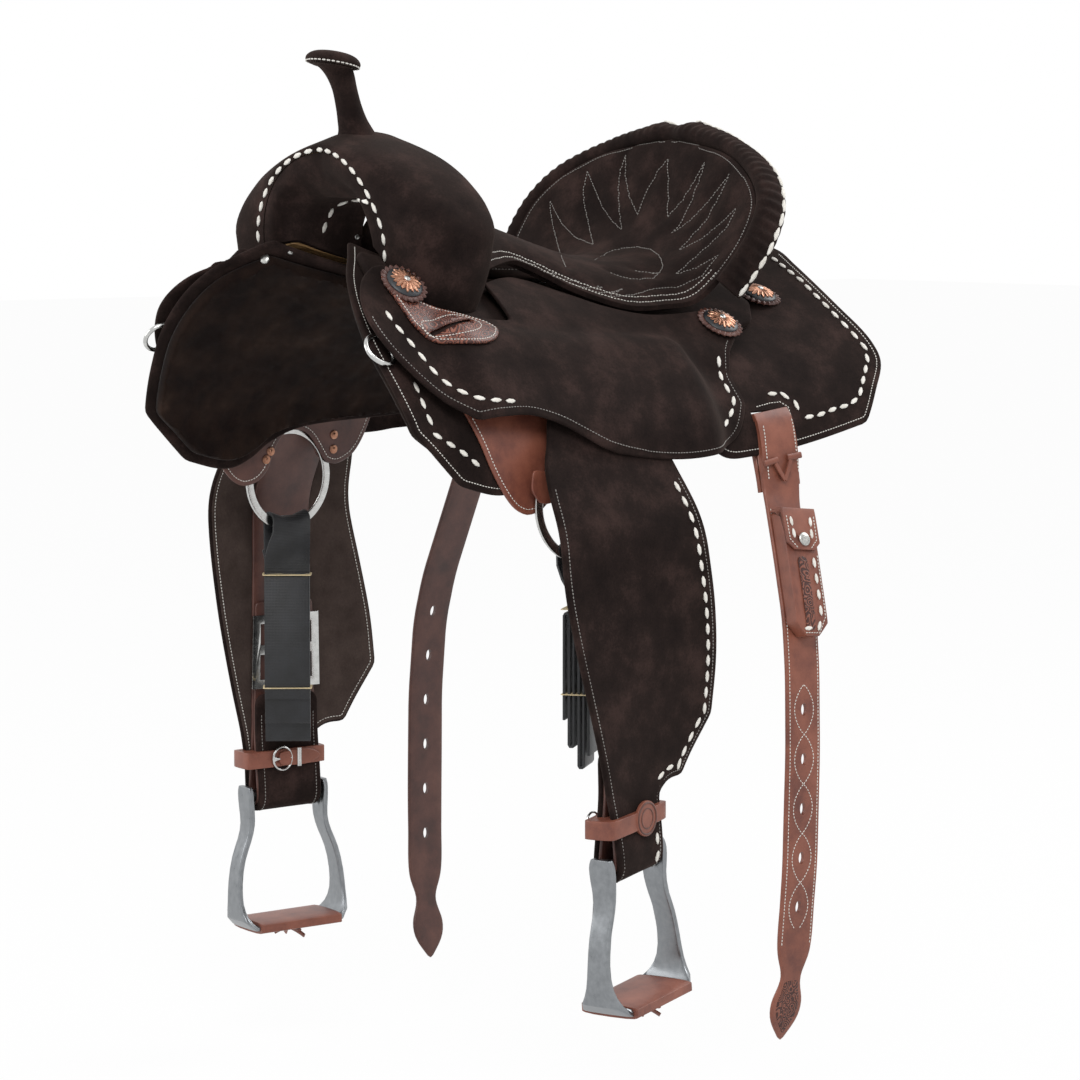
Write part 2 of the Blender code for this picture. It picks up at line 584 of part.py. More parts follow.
def dees():
    """Breast-collar dees: a straight bar in the keeper and a round loop that points forward."""
    for word, side in SIDES:
        place = hide_axes(DEE_Y, DEE_S, DEE_LIFT) @ Matrix.Rotation(DEE_LEAN, 4, "Y")
        loop = [(0.0, -DEE_HALF), (0.0, DEE_HALF)]
        for k in range(1, 8):
            angle = math.pi * k / 8
            loop.append((-0.006 - (DEE_REACH - 0.006) * math.sin(angle), DEE_HALF * 1.12 * math.cos(angle)))
        points = [place @ Vector((u, v, 0.0)) for u, v in loop]
        tube(f"breast_dee_{word}", points, DEE_WIRE, STEEL, cyclic=True, side=side)


# Rigging plates, with the ring held between each plate and its riveted flaps
def rigging():
    for word, side in SIDES:
        plate = panel(
            f"rigging_plate_{word}", RIGGING_CUT, on_side(PLY_GAP), RIGGING_THICK, RUSSET, side
        )
        for k, (y, s) in enumerate(RIVETS):
            place = flipped(hide_axes(y, s, (FLAP_LIFT + FLAP_THICK) / 2 + PLY_GAP), side)
            rivet = drum(f"rivet_{word}_{k}", RIVET_RADIUS, FLAP_LIFT + FLAP_THICK, place, COPPER, sides=6)
            combine(plate, rivet, "UNION")
        for part, cut in (("front", FRONT_FLAP_CUT), ("rear", REAR_FLAP_CUT)):
            flap = panel(
                f"{part}_flap_{word}", cut, on_side(FLAP_LIFT), FLAP_THICK, RUSSET, side, collection=CUTTERS
            )
            combine(plate, flap, "UNION")
        rigging_ring(word, side)


def rigging_ring(word, side):
    """The ring hangs upright, turned a little so that it follows the rigging plate."""
    centre = Vector((RING_X, RING_Y, RING_TOP_Z - RING_RADIUS))
    turns = 28
    rings = []
    for k in range(turns + 1):
        angle = 2 * math.pi * k / turns
        aside = RING_SPLAY * math.sin(angle) + RING_LEAN * math.cos(angle)
        out = Vector((aside, math.sin(angle), math.cos(angle)))
        ring = []
        for a, b in ((-1, -1), (1, -1), (1, 1), (-1, 1)):
            point = centre + out * (RING_RADIUS + a * RING_BAND / 2)
            ring.append(point + Vector((b * RING_THICK / 2, 0, 0)))
        rings.append(ring)
    loft(f"rigging_ring_{word}", rings, STEEL, side, caps=False)


def latigo_path(length, bar_radius):
    """Six plies as (out, down): three inside the ring's bar and three outside it, one unbroken strap."""
    pitch, bend = LATIGO_PITCH, LATIGO_PITCH / 2
    path = []

    def arc(out, down, radius, start, end, count=3):
        for k in range(count + 1):
            angle = math.radians(start + (end - start) * k / count)
            path.append((out + radius * math.cos(angle), down - radius * math.sin(angle)))

    inner, outer = -bar_radius, bar_radius
    path.append((inner - 2 * pitch, length - 0.045))
    arc(inner - pitch - bend, 0.052, bend, 180, 0)
    arc(inner - bend, length - 0.022, bend, 180, 360)
    path.append((inner, LATIGO_TWIST_END))
    arc(0.0, 0.0, bar_radius, 180, 0, 8)
    path.append((outer, LATIGO_TWIST_END))
    arc(outer + bend, length - bend, bend, 180, 360)
    path.append((outer + pitch, LATIGO_TWIST_END))
    arc(outer + pitch + bend, 0.030, bend, 180, 0)
    path.append((outer + 2 * pitch, LATIGO_TWIST_END))
    path.append((outer + 2 * pitch, length - 0.012))
    return path


def drawn_in(path, bar_radius):
    """The same path with its plies closed up below the ring's bar."""
    points = []
    for out, down in path:
        closer = (bar_radius - LATIGO_PITCH / 2) * ease((down - 0.004) / 0.034)
        points.append((out - math.copysign(closer, out), down))
    return points


def latigo_twist(point, centre):
    """The hank turns towards the rear as it leaves the ring, and its top bows to the ring's curve."""
    off = Vector(point) - centre
    drop = -off.z
    bow = RING_RADIUS - math.sqrt(RING_RADIUS ** 2 - off.y ** 2)
    lifted = off.z + bow * (1 - ease((drop - 0.002) / 0.038))
    angle = LATIGO_TWIST * ease((drop - LATIGO_TWIST_FROM) / LATIGO_TWIST_OVER)
    x = off.x * math.cos(angle) - off.y * math.sin(angle)
    y = off.x * math.sin(angle) + off.y * math.cos(angle)
    return centre + Vector((x, y, lifted))


def finer(path, step):
    """The same path with points no further apart than step, and closer where the strap twists."""
    points = [path[0]]
    for a, b in zip(path, path[1:]):
        close = step if min(a[1], b[1]) >= LATIGO_TWIST_END else 0.012
        parts = max(1, math.ceil(math.hypot(b[0] - a[0], b[1] - a[1]) / close))
        for k in range(1, parts + 1):
            points.append((a[0] + (b[0] - a[0]) * k / parts, a[1] + (b[1] - a[1]) * k / parts))
    return points


def least_gap(path, bar_radius, thickness):
    """The smallest clear gap between plies that aren't neighbours along the strap."""
    points = np.array(drawn_in(finer(path, 0.004), bar_radius))
    along = np.concatenate(([0.0], np.cumsum(np.hypot(*np.diff(points, axis=0).T))))
    apart = np.hypot(*(points[:, None] - points[None]).transpose(2, 0, 1))
    far_along = np.abs(along[:, None] - along[None]) > 2.2 * LATIGO_PITCH
    return apart[far_along].min() - thickness


def latigos():
    """Nylon straps folded over the ring: tie strap on the near side, off-billet on the far side."""
    bar = Vector((RING_X - RING_LEAN * RING_RADIUS, RING_Y, RING_TOP_Z - 2 * RING_RADIUS))
    radius = RING_BAND / 2 + LATIGO_BAR_GAP + LATIGO_THICK / 2
    for word, side in SIDES:
        path = latigo_path(LATIGO_LENGTH[word], radius)
        print(f"latigo {word}: least gap between plies {1000 * least_gap(path, radius, LATIGO_THICK):.2f} mm")
        rows = []
        for out, down in drawn_in(finer(path, 0.080), radius):
            row = []
            for across in (-1, -0.36, 0.36, 1):
                y = across * LATIGO_WIDTH / 2
                row.append(latigo_twist(bar + Vector((out, y, -down)), bar))
            rows.append([Vector((p.x * side, p.y, p.z)) for p in row])
        strap = grid(f"{'latigo' if side == NEAR else 'off_billet'}_{word}", rows, NYLON)
        shell = strap.modifiers.new("wall", "SOLIDIFY")
        shell.thickness = LATIGO_THICK
        shell.offset = 0.0
        for name, drop in zip(("upper", "lower"), BAND_DROPS[word]):
            band(f"latigo_band_{name}_{word}", drop, bar, side)


def band(name, drop, bar, side):
    """A rubber band round the folded strap, drawn tight against its outer plies."""
    clear = LATIGO_THICK / 2 + BAND_RADIUS + BAND_CLEAR
    outer = 2.5 * LATIGO_PITCH + clear
    inner = -outer
    half = LATIGO_WIDTH / 2 + BAND_RADIUS + BAND_CLEAR
    corner = BAND_RADIUS + BAND_CLEAR
    outline = []
    for cx, cy, start in (
        (outer - corner, half - corner, 0), (inner + corner, half - corner, 90),
        (inner + corner, -half + corner, 180), (outer - corner, -half + corner, 270),
    ):
        for k in range(3):
            angle = math.radians(start + 45 * k)
            outline.append((cx + corner * math.cos(angle), cy + corner * math.sin(angle)))
    points = [latigo_twist(bar + Vector((out, across, -drop)), bar) for out, across in outline]
    tube(name, points, BAND_RADIUS, RUBBER, cyclic=True, side=side, facets=1)


# Fender, stirrup leather and what hangs on them: all follow one line that hangs from the bar
def hang_line(q):
    """(x, z) and slope of the hanging line, q down from the pivot."""
    start = math.radians(FENDER_SLOPE)
    steps = 24
    x, z, at = PIVOT.x, PIVOT.z, 0.0
    flat_part = min(q, FENDER_FLAT)
    x += flat_part * math.cos(start)
    z -= flat_part * math.sin(start)
    slope = start
    bend = min(max(q - FENDER_FLAT, 0.0), FENDER_BEND)
    if bend > 0:
        for k in range(steps):
            at = (k + 0.5) / steps * bend / FENDER_BEND
            slope = start + (math.pi / 2 - start) * ease(at)
            x += bend / steps * math.cos(slope)
            z -= bend / steps * math.sin(slope)
        slope = start + (math.pi / 2 - start) * ease(bend / FENDER_BEND)
    rest = max(q - FENDER_FLAT - FENDER_BEND, 0.0)
    return x, z - rest, slope


def turned_down(point, drop, word):
    """Yaws the lower part, front edge outwards, and tips it to the stirrup's tilt."""
    middle = Vector((hang_line(drop)[0], HANG_Y, 0))
    off = point - Vector((middle.x, HANG_Y, 0))
    angle = YAW[word] * ease((drop - YAW_FROM) / (YAW_TO - YAW_FROM))
    x = off.x * math.cos(angle) - off.y * math.sin(angle)
    y = off.x * math.sin(angle) + off.y * math.cos(angle)
    tip = math.tan(TILT[word]) * ease((drop - TILT_FROM) / (TILT_TO - TILT_FROM))
    return Vector((middle.x + x, HANG_Y + y, off.z + y * tip))


def hang(y, q, lift, word):
    x, z, slope = hang_line(q)
    point = Vector((x + lift * math.sin(slope), y, z + lift * math.cos(slope)))
    return turned_down(point, q, word)


def round_bar(y, q, above, at_bar, lift, word):
    """A ply that hangs outside, passes under the stirrup's bar at radius at_bar and turns up inside."""
    turn = math.pi * at_bar

    def spread(drop):
        return above + (at_bar - above) * ease((drop - BAR_DROP + FOLD_EASE) / FOLD_EASE)

    if q <= BAR_DROP:
        return hang(y, q, spread(q) + lift, word)
    if q >= BAR_DROP + turn:
        back = 2 * BAR_DROP + turn - q
        return hang(y, back, -(spread(back) + lift), word)
    angle = (q - BAR_DROP) / at_bar
    x, z, _ = hang_line(BAR_DROP)
    radius = at_bar + lift
    point = Vector((x + radius * math.cos(angle), y, z - radius * math.sin(angle)))
    return turned_down(point, BAR_DROP, word)


STRAP_ABOVE = PLY_GAP / 2 + STIRRUP_LEATHER_THICK / 2 + 0.0002
STRAP_AT_BAR = STIRRUP_BAR_RADIUS + PLY_GAP + STIRRUP_LEATHER_THICK / 2
FENDER_ABOVE = STRAP_ABOVE + STIRRUP_LEATHER_THICK / 2 + PLY_GAP + FENDER_THICK / 2
FENDER_AT_BAR = STRAP_AT_BAR + STIRRUP_LEATHER_THICK / 2 + PLY_GAP + FENDER_THICK / 2


def top_tab(half_width, left):
    """The rounded end that turns on the pivot, and the shoulders that stay clear as it swings."""
    points = []
    for k in range(5):
        angle = math.radians(180 - 45 * k)
        points.append((PIVOT.y + TAB_RADIUS * math.cos(angle), -TAB_RADIUS * math.sin(angle)))
    drop = math.tan(SHOULDER_SLOPE)
    rear = HANG_Y + half_width
    front = HANG_Y - half_width
    points.append((rear, drop * (rear - PIVOT.y)))
    points.insert(0, (front, drop * (PIVOT.y - front)))
    return points if left else points[::-1]


def folds_round(at_bar, upturn):
    """Fold lines down a ply, closer where it bends and round the stirrup's bar, on the same drops inside."""
    drops = [0.06, FENDER_FLAT] + [FENDER_FLAT + FENDER_BEND * k / 3 for k in range(1, 4)]
    drops += [0.21, 0.25, 0.29, 0.33, 0.36, 0.38, 0.395, 0.41, 0.425, 0.44]
    turn = math.pi * at_bar
    inner = [2 * BAR_DROP + turn - drop for drop in drops if BAR_DROP - drop < upturn]
    return drops + [BAR_DROP + turn * k / 6 for k in range(7)] + inner[::-1]


FENDER_FOLDS_Y = [HANG_Y + k * 0.0375 for k in (-1, 0, 1, 2)]


def fenders():
    half = NECK_WIDTH / 2
    turn = math.pi * FENDER_AT_BAR
    end = BAR_DROP + turn + FENDER_UPTURN
    cut = list(top_tab(0.060, True)) + list(FENDER_CUT)
    cut += [(HANG_Y + half, end - 0.006), (HANG_Y + half - 0.006, end)]
    cut += [(HANG_Y - half + 0.006, end), (HANG_Y - half, end - 0.006)] + list(FENDER_FRONT_CUT)
    strap_turn = math.pi * STRAP_AT_BAR
    strap_end = BAR_DROP + strap_turn + LEATHER_UPTURN
    strap = list(top_tab(half - 0.001, True))
    strap += [(HANG_Y + half - 0.001, strap_end), (HANG_Y - half + 0.001, strap_end)]
    for word, side in SIDES:
        panel(
            f"fender_{word}", cut,
            lambda p, q, lift: round_bar(p, q, FENDER_ABOVE, FENDER_AT_BAR, lift - FENDER_THICK / 2, word),
            FENDER_THICK, SUEDE, side, folds=(FENDER_FOLDS_Y, folds_round(FENDER_AT_BAR, FENDER_UPTURN)),
        )
        panel(
            f"stirrup_leather_{word}", strap,
            lambda p, q, lift: round_bar(
                p, q, STRAP_ABOVE, STRAP_AT_BAR, lift - STIRRUP_LEATHER_THICK / 2, word
            ),
            STIRRUP_LEATHER_THICK, RUSSET, side,
            folds=(FENDER_FOLDS_Y, folds_round(STRAP_AT_BAR, LEATHER_UPTURN)),
        )


# Hobble straps, with their buckles, and the slide buckles of the stirrup leathers
def neck_half(q):
    """Half the thickness of the folded neck at q, out to the fender's outer face."""
    spread = FENDER_ABOVE + (FENDER_AT_BAR - FENDER_ABOVE) * ease((q - BAR_DROP + FOLD_EASE) / FOLD_EASE)
    return spread + FENDER_THICK / 2


def hobble_outline(inset):
    """The loop round the neck as (y, lift), with its front end standing clear of the neck."""
    half = neck_half(HOBBLE_DROP + HOBBLE_HEIGHT / 2) + HOBBLE_CLEAR + inset
    rear = HANG_Y + NECK_WIDTH / 2 + 0.003 + inset
    front = HOBBLE_FRONT - inset
    corner = 0.0038 + inset
    points = []
    for cy, cl, start in (
        (rear - corner, half - corner, 0), (front + corner, half - corner, 90),
        (front + corner, -half + corner, 180), (rear - corner, -half + corner, 270),
    ):
        for k in range(3):
            angle = math.radians(start + 45 * k)
            points.append((cy + corner * math.cos(angle), cl + corner * math.sin(angle)))
    return points


def hobbles():
    for word, side in SIDES:
        rings = []
        for inner, outer in zip(hobble_outline(0.0), hobble_outline(HOBBLE_THICK)):
            ring = []
            for (y, lift), up in ((inner, -1), (outer, -1), (outer, 1), (inner, 1)):
                ring.append(hang(y, HOBBLE_DROP - up * HOBBLE_HEIGHT / 2, lift, word))
            rings.append(ring)
        rings.append(rings[0])
        strap = loft(f"hobble_strap_{word}", rings, RUSSET, side, caps=False)
        face = neck_half(HOBBLE_DROP + HOBBLE_HEIGHT / 2) + HOBBLE_CLEAR + HOBBLE_THICK
        if side == NEAR:
            centre = hang_axes(MEDALLION_Y, HOBBLE_DROP, face - 0.0005, word)
            medal = drum("medallion", MEDALLION_RADIUS, 0.0034, centre, RUSSET, sides=28)
            combine(strap, medal, "UNION")
        place = hang_axes(HOBBLE_BUCKLE_Y[word], HOBBLE_DROP, -face - BUCKLE_WIRE - PLY_GAP, word)
        hobble_buckle(word, side, place)


def hang_axes(y, q, lift, word):
    """Place on the hanging line: x to the rear, y down, z outwards."""
    here = hang(y, q, lift, word)
    back = (hang(y + 0.005, q, lift, word) - hang(y - 0.005, q, lift, word)).normalized()
    down = (hang(y, q + 0.005, lift, word) - hang(y, q - 0.005, lift, word)).normalized()
    out = back.cross(down).normalized()
    if out.x < 0:
        out = -out
    down = out.cross(back)
    return Matrix.Translation(here) @ Matrix((back, down, out)).transposed().to_4x4()


def hobble_buckle(word, side, place):
    """A small roller buckle: a rounded frame with its tongue across it."""
    frame = []
    for k in range(12):
        angle = 2 * math.pi * k / 12
        frame.append((0.0115 * math.cos(angle), 0.0125 * math.sin(angle)))
    points = [place @ Vector((u, v, 0.0)) for u, v in frame]
    ring = settle(tube(f"hobble_buckle_{word}", points, BUCKLE_WIRE, STEEL, cyclic=True, side=side, facets=1))
    ends = [place @ Vector((u, 0.0, 0.0)) for u in (-0.0112, 0.0112)]
    name = f"hobble_tongue_{word}"
    tongue = settle(tube(name, ends, BUCKLE_WIRE * 0.8, STEEL, side=side, collection=CUTTERS))
    combine(ring, tongue, "UNION")


def slide_buckles():
    """Flat frames on the inner ply of each stirrup leather, with two windows and a pair of pins."""
    half_y = BUCKLE_WIDTH / 2
    top = BAR_DROP - BUCKLE_ABOVE_BAR
    low = top + BUCKLE_LENGTH
    cut = (
        (HANG_Y - half_y, top), (HANG_Y + half_y, top), (HANG_Y + half_y, low), (HANG_Y - half_y, low),
    )
    inner = -(STRAP_ABOVE + STIRRUP_LEATHER_THICK / 2 + PLY_GAP + BUCKLE_THICK)
    for word, side in SIDES:
        frame = panel(
            f"leather_buckle_{word}", cut, lambda p, q, lift: hang(p, q, inner + lift, word), BUCKLE_THICK,
            STEEL, side, folds=(FENDER_FOLDS_Y, [top + 0.022, top + 0.062]),
        )
        for k, (start, end) in enumerate(BUCKLE_WINDOWS):
            place = flipped(hang_axes(HANG_Y, top + (start + end) / 2, inner, word), side)
            window = box(f"window_{word}_{k}", (BUCKLE_WIDTH - BUCKLE_RIM, end - start, 0.03), place)
            combine(frame, window, "DIFFERENCE")


# Stirrups with their tread covers
def stirrup_axes(word):
    """Frame of the stirrup: origin in its bar, x outwards, y along the bar to the rear, z up."""
    centre = hang(HANG_Y, BAR_DROP, 0.0, word)
    along = (hang(HANG_Y + 0.03, BAR_DROP, 0.0, word) - hang(HANG_Y - 0.03, BAR_DROP, 0.0, word)).normalized()
    out = along.cross(Vector((0, 0, 1))).normalized()
    up = out.cross(along)
    return Matrix.Translation(centre) @ Matrix((out, along, up)).transposed().to_4x4()


def stirrup_ring(at, before, after, depth, thick):
    """One section of the stirrup's frame, square to its line, as points (x, y, z)."""
    along = Vector((0, after[0] - before[0], after[1] - before[1])).normalized()
    across = Vector((0, -along.z, along.y))
    centre = Vector((0, at[0], at[1]))
    ring = []
    for a, b in ((-1, -0.6), (-0.88, -1), (0.88, -1), (1, -0.6), (1, 0.6), (0.88, 1), (-0.88, 1), (-1, 0.6)):
        ring.append(centre + Vector((a * depth / 2, 0, 0)) + across * (b * thick / 2))
    return ring


def stirrups():
    half = list(STIRRUP_LINE)
    line = [(-y, z, d) for y, z, d in half] + [(y, z, d) for y, z, d in half[::-1]]
    for word, side in SIDES:
        axes = stirrup_axes(word)
        rings = []
        for k, (y, z, depth) in enumerate(line):
            before, after = line[max(k - 1, 0)], line[min(k + 1, len(line) - 1)]
            ring = stirrup_ring((y, z), before, after, depth, TREAD_THICK)
            rings.append([axes @ point for point in ring])
        frame = loft(f"stirrup_{word}", rings, ALUMINIUM, side, sharp=50)
        ends = [axes @ Vector((0, y, 0)) for y in (-STIRRUP_HEAD_HALF, STIRRUP_HEAD_HALF)]
        bar = tube(
            f"stirrup_bar_{word}", ends, STIRRUP_BAR_RADIUS, ALUMINIUM, side=side,
            collection=CUTTERS, facets=3,
        )
        combine(frame, settle(bar), "UNION")
        tread_cover(word, side, axes)


COVER_CORNERS = (
    (-1, -0.6), (-0.88, -1), (0.88, -1), (1, -0.6), (1, 0.6), (0.88, 1), (-0.88, 1), (-1, 0.6),
)


def tread_cover(word, side, axes):
    """A leather sleeve round the tread."""
    floor = STIRRUP_LINE[-1][1]
    rings = []
    for y in (-TREAD_COVER_HALF, -0.03, 0.03, TREAD_COVER_HALF):
        ring = []
        half_x, half_z = STIRRUP_LINE[-1][2] / 2 + PLY_GAP, TREAD_THICK / 2 + PLY_GAP
        for a, b in COVER_CORNERS:
            ring.append(axes @ Vector((a * half_x, y, floor + b * half_z)))
        rings.append(ring)
    cover = loft(f"tread_cover_{word}", rings, RUSSET, side, caps=False)
    thicken(cover, TREAD_COVER_THICK, outward=True)


# Rear billets: a doubled loop through the skirt's slot, the strap that hangs from it, and the pouch
def billet_loops():
    outer = 2.5 * PLY_GAP + BILLET_THICK / 2
    inner = -SKIRT_THICK - outer
    join = BILLET_THICK / 2 + PLY_GAP / 2
    middle = (SLOT_TOP + SLOT_LOW) / 2
    path = [(LOOP_END, join - 0.002), (0.290, join - 0.002), (0.272, outer - 0.0005)]
    path += [(0.255, outer), (0.243, outer), (0.2350, outer - 0.0012)]
    path += [(middle - 0.0002, -0.0004), (middle - 0.0006, -SKIRT_THICK / 2)]
    path += [(middle - 0.0002, -0.0046), (0.2350, inner + 0.0012)]
    path += [(0.243, inner), (0.255, inner), (0.272, inner + 0.0005)]
    path += [(0.290, -join - 0.0028), (LOOP_END, -join - 0.0028)]
    for word, side in SIDES:
        rings = []
        for k, (s, lift) in enumerate(path):
            before, after = path[max(k - 1, 0)], path[min(k + 1, len(path) - 1)]
            along = Vector((after[0] - before[0], after[1] - before[1])).normalized()
            across = Vector((-along.y, along.x)) * BILLET_THICK / 2
            ring = []
            for y, sign in ((-1, 1), (0, 1), (1, 1), (1, -1), (0, -1), (-1, -1)):
                at = BILLET_Y + y * BILLET_WIDTH / 2
                ring.append(ply(at, s + sign * across.x, lift + sign * across.y))
            rings.append(ring)
        loft(f"billet_loop_{word}", rings, RUSSET, side)


def billet_middle(q):
    """Point in the middle of the hanging billet, q down it."""
    points = [Vector(point) for point in BILLET_LINE]
    left = q
    for a, b in zip(points, points[1:]):
        length = (b - a).length
        if left <= length or b is points[-1]:
            break
        left -= length
    return a + (b - a) * (left / length)


def billet_point(across, q, lift):
    here = billet_middle(q)
    down = (billet_middle(q + 0.02) - billet_middle(q - 0.02)).normalized()
    back = Vector((0, 1, 0))
    back = (back - down * back.dot(down)).normalized()
    out = back.cross(down)
    if out.x < 0:
        out = -out
    return here + back * across + out * lift


def billets():
    length = sum((Vector(b) - Vector(a)).length for a, b in zip(BILLET_LINE, BILLET_LINE[1:]))
    folds = ([0.0], [0.02, 0.055, 0.09, 0.125, 0.16, 0.20, 0.25, 0.30, 0.35, 0.40, 0.44, 0.47, 0.50])
    print(f"billet: {1000 * length:.0f} mm below the flex line")
    for word, side in SIDES:
        strap = panel(
            f"rear_billet_{word}", BILLET_CUT, lambda p, q, lift: billet_point(p, q, lift - BILLET_THICK / 2),
            BILLET_THICK, RUSSET, side, folds=folds,
        )
        for k in range(BILLET_HOLES[word]):
            q = BILLET_LAST_HOLE - k * BILLET_HOLE_PITCH
            place = flipped(frame_at(billet_point, 0.0, q, 0.0), side)
            oval = place @ Matrix.Diagonal((*BILLET_HOLE_SIZE, 1.0, 1.0))
            hole = drum(f"billet_hole_{word}_{k}", 0.5, 0.02, oval, sides=8)
            combine(strap, hole, "DIFFERENCE")


def frame_at(place, p, q, lift, step=0.004):
    """Axes of a surface at (p, q): x along p, y along q, z outwards."""
    here = place(p, q, lift)
    along = (place(p + step, q, lift) - place(p - step, q, lift)).normalized()
    out = (place(p, q, lift + step) - here).normalized()
    down = out.cross(along).normalized()
    along = down.cross(out)
    return Matrix.Translation(here) @ Matrix((along, down, out)).transposed().to_4x4()


def pouch():
    """The tool pouch on the near billet: an open-topped box of leather and its flap."""
    back = BILLET_THICK / 2 + PLY_GAP
    half = POUCH_WIDTH / 2
    top, low = POUCH_TOP_DROP, POUCH_TOP_DROP + POUCH_HEIGHT
    cut = (
        (-half, top), (half, top), (half, low - 0.012), (half - 0.012, low),
        (-half + 0.012, low), (-half, low - 0.012),
    )
    lines = ([], [0.055, 0.090, 0.125])
    body = panel(
        "pouch_body", cut, lambda p, q, lift: billet_point(p, q, back + lift), POUCH_DEPTH, RUSSET,
        folds=lines,
    )
    wall = POUCH_WALL
    hollow_cut = (
        (-half + wall, top - 0.01), (half - wall, top - 0.01), (half - wall, low - 0.014),
        (half - 0.014, low - wall), (-half + 0.014, low - wall), (-half + wall, low - 0.014),
    )
    hollow = panel(
        "pouch_hollow", hollow_cut, lambda p, q, lift: billet_point(p, q, back + wall + lift),
        POUCH_DEPTH - 2 * wall, RUSSET, folds=lines, collection=CUTTERS,
    )
    hollow.hide_render = True
    combine(body, hollow, "DIFFERENCE")
    pouch_flap(back, top)


def pouch_flap(back, top):
    """The flap turns over the pouch's mouth from its hinge line and hangs down its face, with a snap."""
    front = back + POUCH_DEPTH + PLY_GAP
    thick = POUCH_FLAP_THICK
    line = [(back + 0.001, top - 0.0008), (back + 0.005, top - 0.0010), (front - 0.0028, top - 0.0010)]
    line += [(front - 0.0003, top - 0.0004), (front, top + 0.003)]
    line += [(front, 0.055), (front, top + POUCH_FLAP_DROP)]
    half = POUCH_WIDTH / 2 + 0.0003
    rings = []
    for k, (lift, q) in enumerate(line):
        before, after = line[max(k - 1, 0)], line[min(k + 1, len(line) - 1)]
        along = Vector((after[0] - before[0], after[1] - before[1])).normalized()
        across = Vector((along.y, -along.x)) * thick
        width = half - (0.008 if k == len(line) - 1 else 0.0)
        ring = [billet_point(sign * width, q, lift) for sign in (-1, 1)]
        ring += [billet_point(sign * width, q + across.y, lift + across.x) for sign in (1, -1)]
        rings.append(ring)
    flap = loft("pouch_flap", rings, RUSSET)
    snap_place = frame_at(billet_point, 0.0, top + POUCH_FLAP_DROP - 0.010, front + thick)
    snap = drum("flap_snap", 0.006, 0.004, snap_place, STEEL, sides=14)
    combine(flap, snap, "UNION")


# Fork, its two covers and the horn, all drawn as sections (radius, y) round the fork's centre
def swell_radius(angle):
    return float(np.interp(abs(angle), SWELL_ANGLES, SWELL_RADII))


def offset_line(points, distance):
    """A line of points moved sideways by distance, to its left."""
    moved = []
    for k, (a, b) in enumerate(points):
        before, after = points[max(k - 1, 0)], points[min(k + 1, len(points) - 1)]
        along = Vector((after[0] - before[0], after[1] - before[1])).normalized()
        moved.append((a - along.y * distance, b + along.x * distance))
    return moved


def swell_line(angle):
    """From the lip at the front, out over the swell and down its back, as (radius, y)."""
    top = 1 - ease(abs(angle) / 60)
    low = ease((abs(angle) - 90) / 30)
    reach = swell_radius(angle) - LIP_RADIUS
    half = SWELL_HALF - 0.015 * top - 0.006 * low
    lip = -0.272 - 0.006 * math.sin(math.radians(2 * min(abs(angle), 90))) + 0.006 * low
    end = 0.0505 + 0.035 * ease(abs(angle) / 100)
    rear = SWELL_Y + SWELL_HALF
    line = [(LIP_RADIUS, lip), (LIP_RADIUS + 0.35 * reach, lip + 0.0005)]
    line += [(LIP_RADIUS + 0.74 * reach, SWELL_Y - 0.86 * half)]
    line += [(LIP_RADIUS + 0.94 * reach, SWELL_Y - 0.50 * half)]
    line += [(LIP_RADIUS + reach, SWELL_Y - 0.05 * half), (LIP_RADIUS + 0.96 * reach, SWELL_Y + 0.45 * half)]
    line += [(LIP_RADIUS + 0.74 * reach, SWELL_Y + 0.82 * half)]
    line += [(LIP_RADIUS - 0.004, rear - 0.006 * top - 0.001)]
    line += [((LIP_RADIUS + end) / 2, rear - 0.002 * top), (end, rear)]
    return line


def gullet_radius(angle):
    return GULLET_RADIUS_TOP + (GULLET_RADIUS_LOW - GULLET_RADIUS_TOP) * ease(abs(angle) / 60)


def gullet_line(angle):
    """From the lip inwards and back through the tunnel, as (radius, y)."""
    lip = swell_line(angle)[0][1]
    inner = gullet_radius(angle)
    edge = LIP_RADIUS - PLY_GAP
    line = [(edge, lip + 0.0005), (edge - 0.4 * (edge - inner), lip + 0.002)]
    line += [(inner + 0.010, GULLET_LIP_Y - 0.016), (inner + 0.003, GULLET_LIP_Y - 0.008)]
    line += [(inner, GULLET_LIP_Y + 0.006)]
    line += [(inner, SWELL_Y + SWELL_HALF - 0.006)]
    return line


def round_fork(section):
    """Sections swung round the fork's centre from the far foot to the near foot."""
    rings = []
    for angle in sorted({sign * angle for angle in SWELL_ANGLES for sign in (-1, 1)}):
        across, up = math.sin(math.radians(angle)), math.cos(math.radians(angle))
        rings.append([Vector((r * across, y, FORK_Z + r * up)) for r, y in section(angle)])
    return rings


def cover_section(angle):
    line = swell_line(angle)
    return line + offset_line(line, COVER_THICK)[::-1]


def lining_section(angle):
    line = gullet_line(angle)
    return line + offset_line(line, -LINING_THICK)[::-1]


def fork_section(angle):
    outer = offset_line(swell_line(angle), COVER_THICK + PLY_GAP)
    inner = offset_line(gullet_line(angle), -LINING_THICK - PLY_GAP)
    last = (inner[-1][0] + 0.004, outer[-1][1])
    tip = [(radius, y + 0.0025) for radius, y in (inner[1], outer[1])]
    return tip[1:] + outer[2:-1] + [last] + inner[2:][::-1] + tip[:1]


def bar_cutters(name):
    """What the fork's feet must not enter: the sides up to the bars' tops."""
    cut = ((-0.345, -0.020), (-0.120, -0.020), (-0.120, 0.215), (-0.345, 0.215))
    depth = 0.034
    for word, side in SIDES:
        yield panel(
            f"{name}_{word}", cut, on_side(-depth), depth + BAR_THICK + PLY_GAP, WOOD, side,
            collection=CUTTERS,
        )


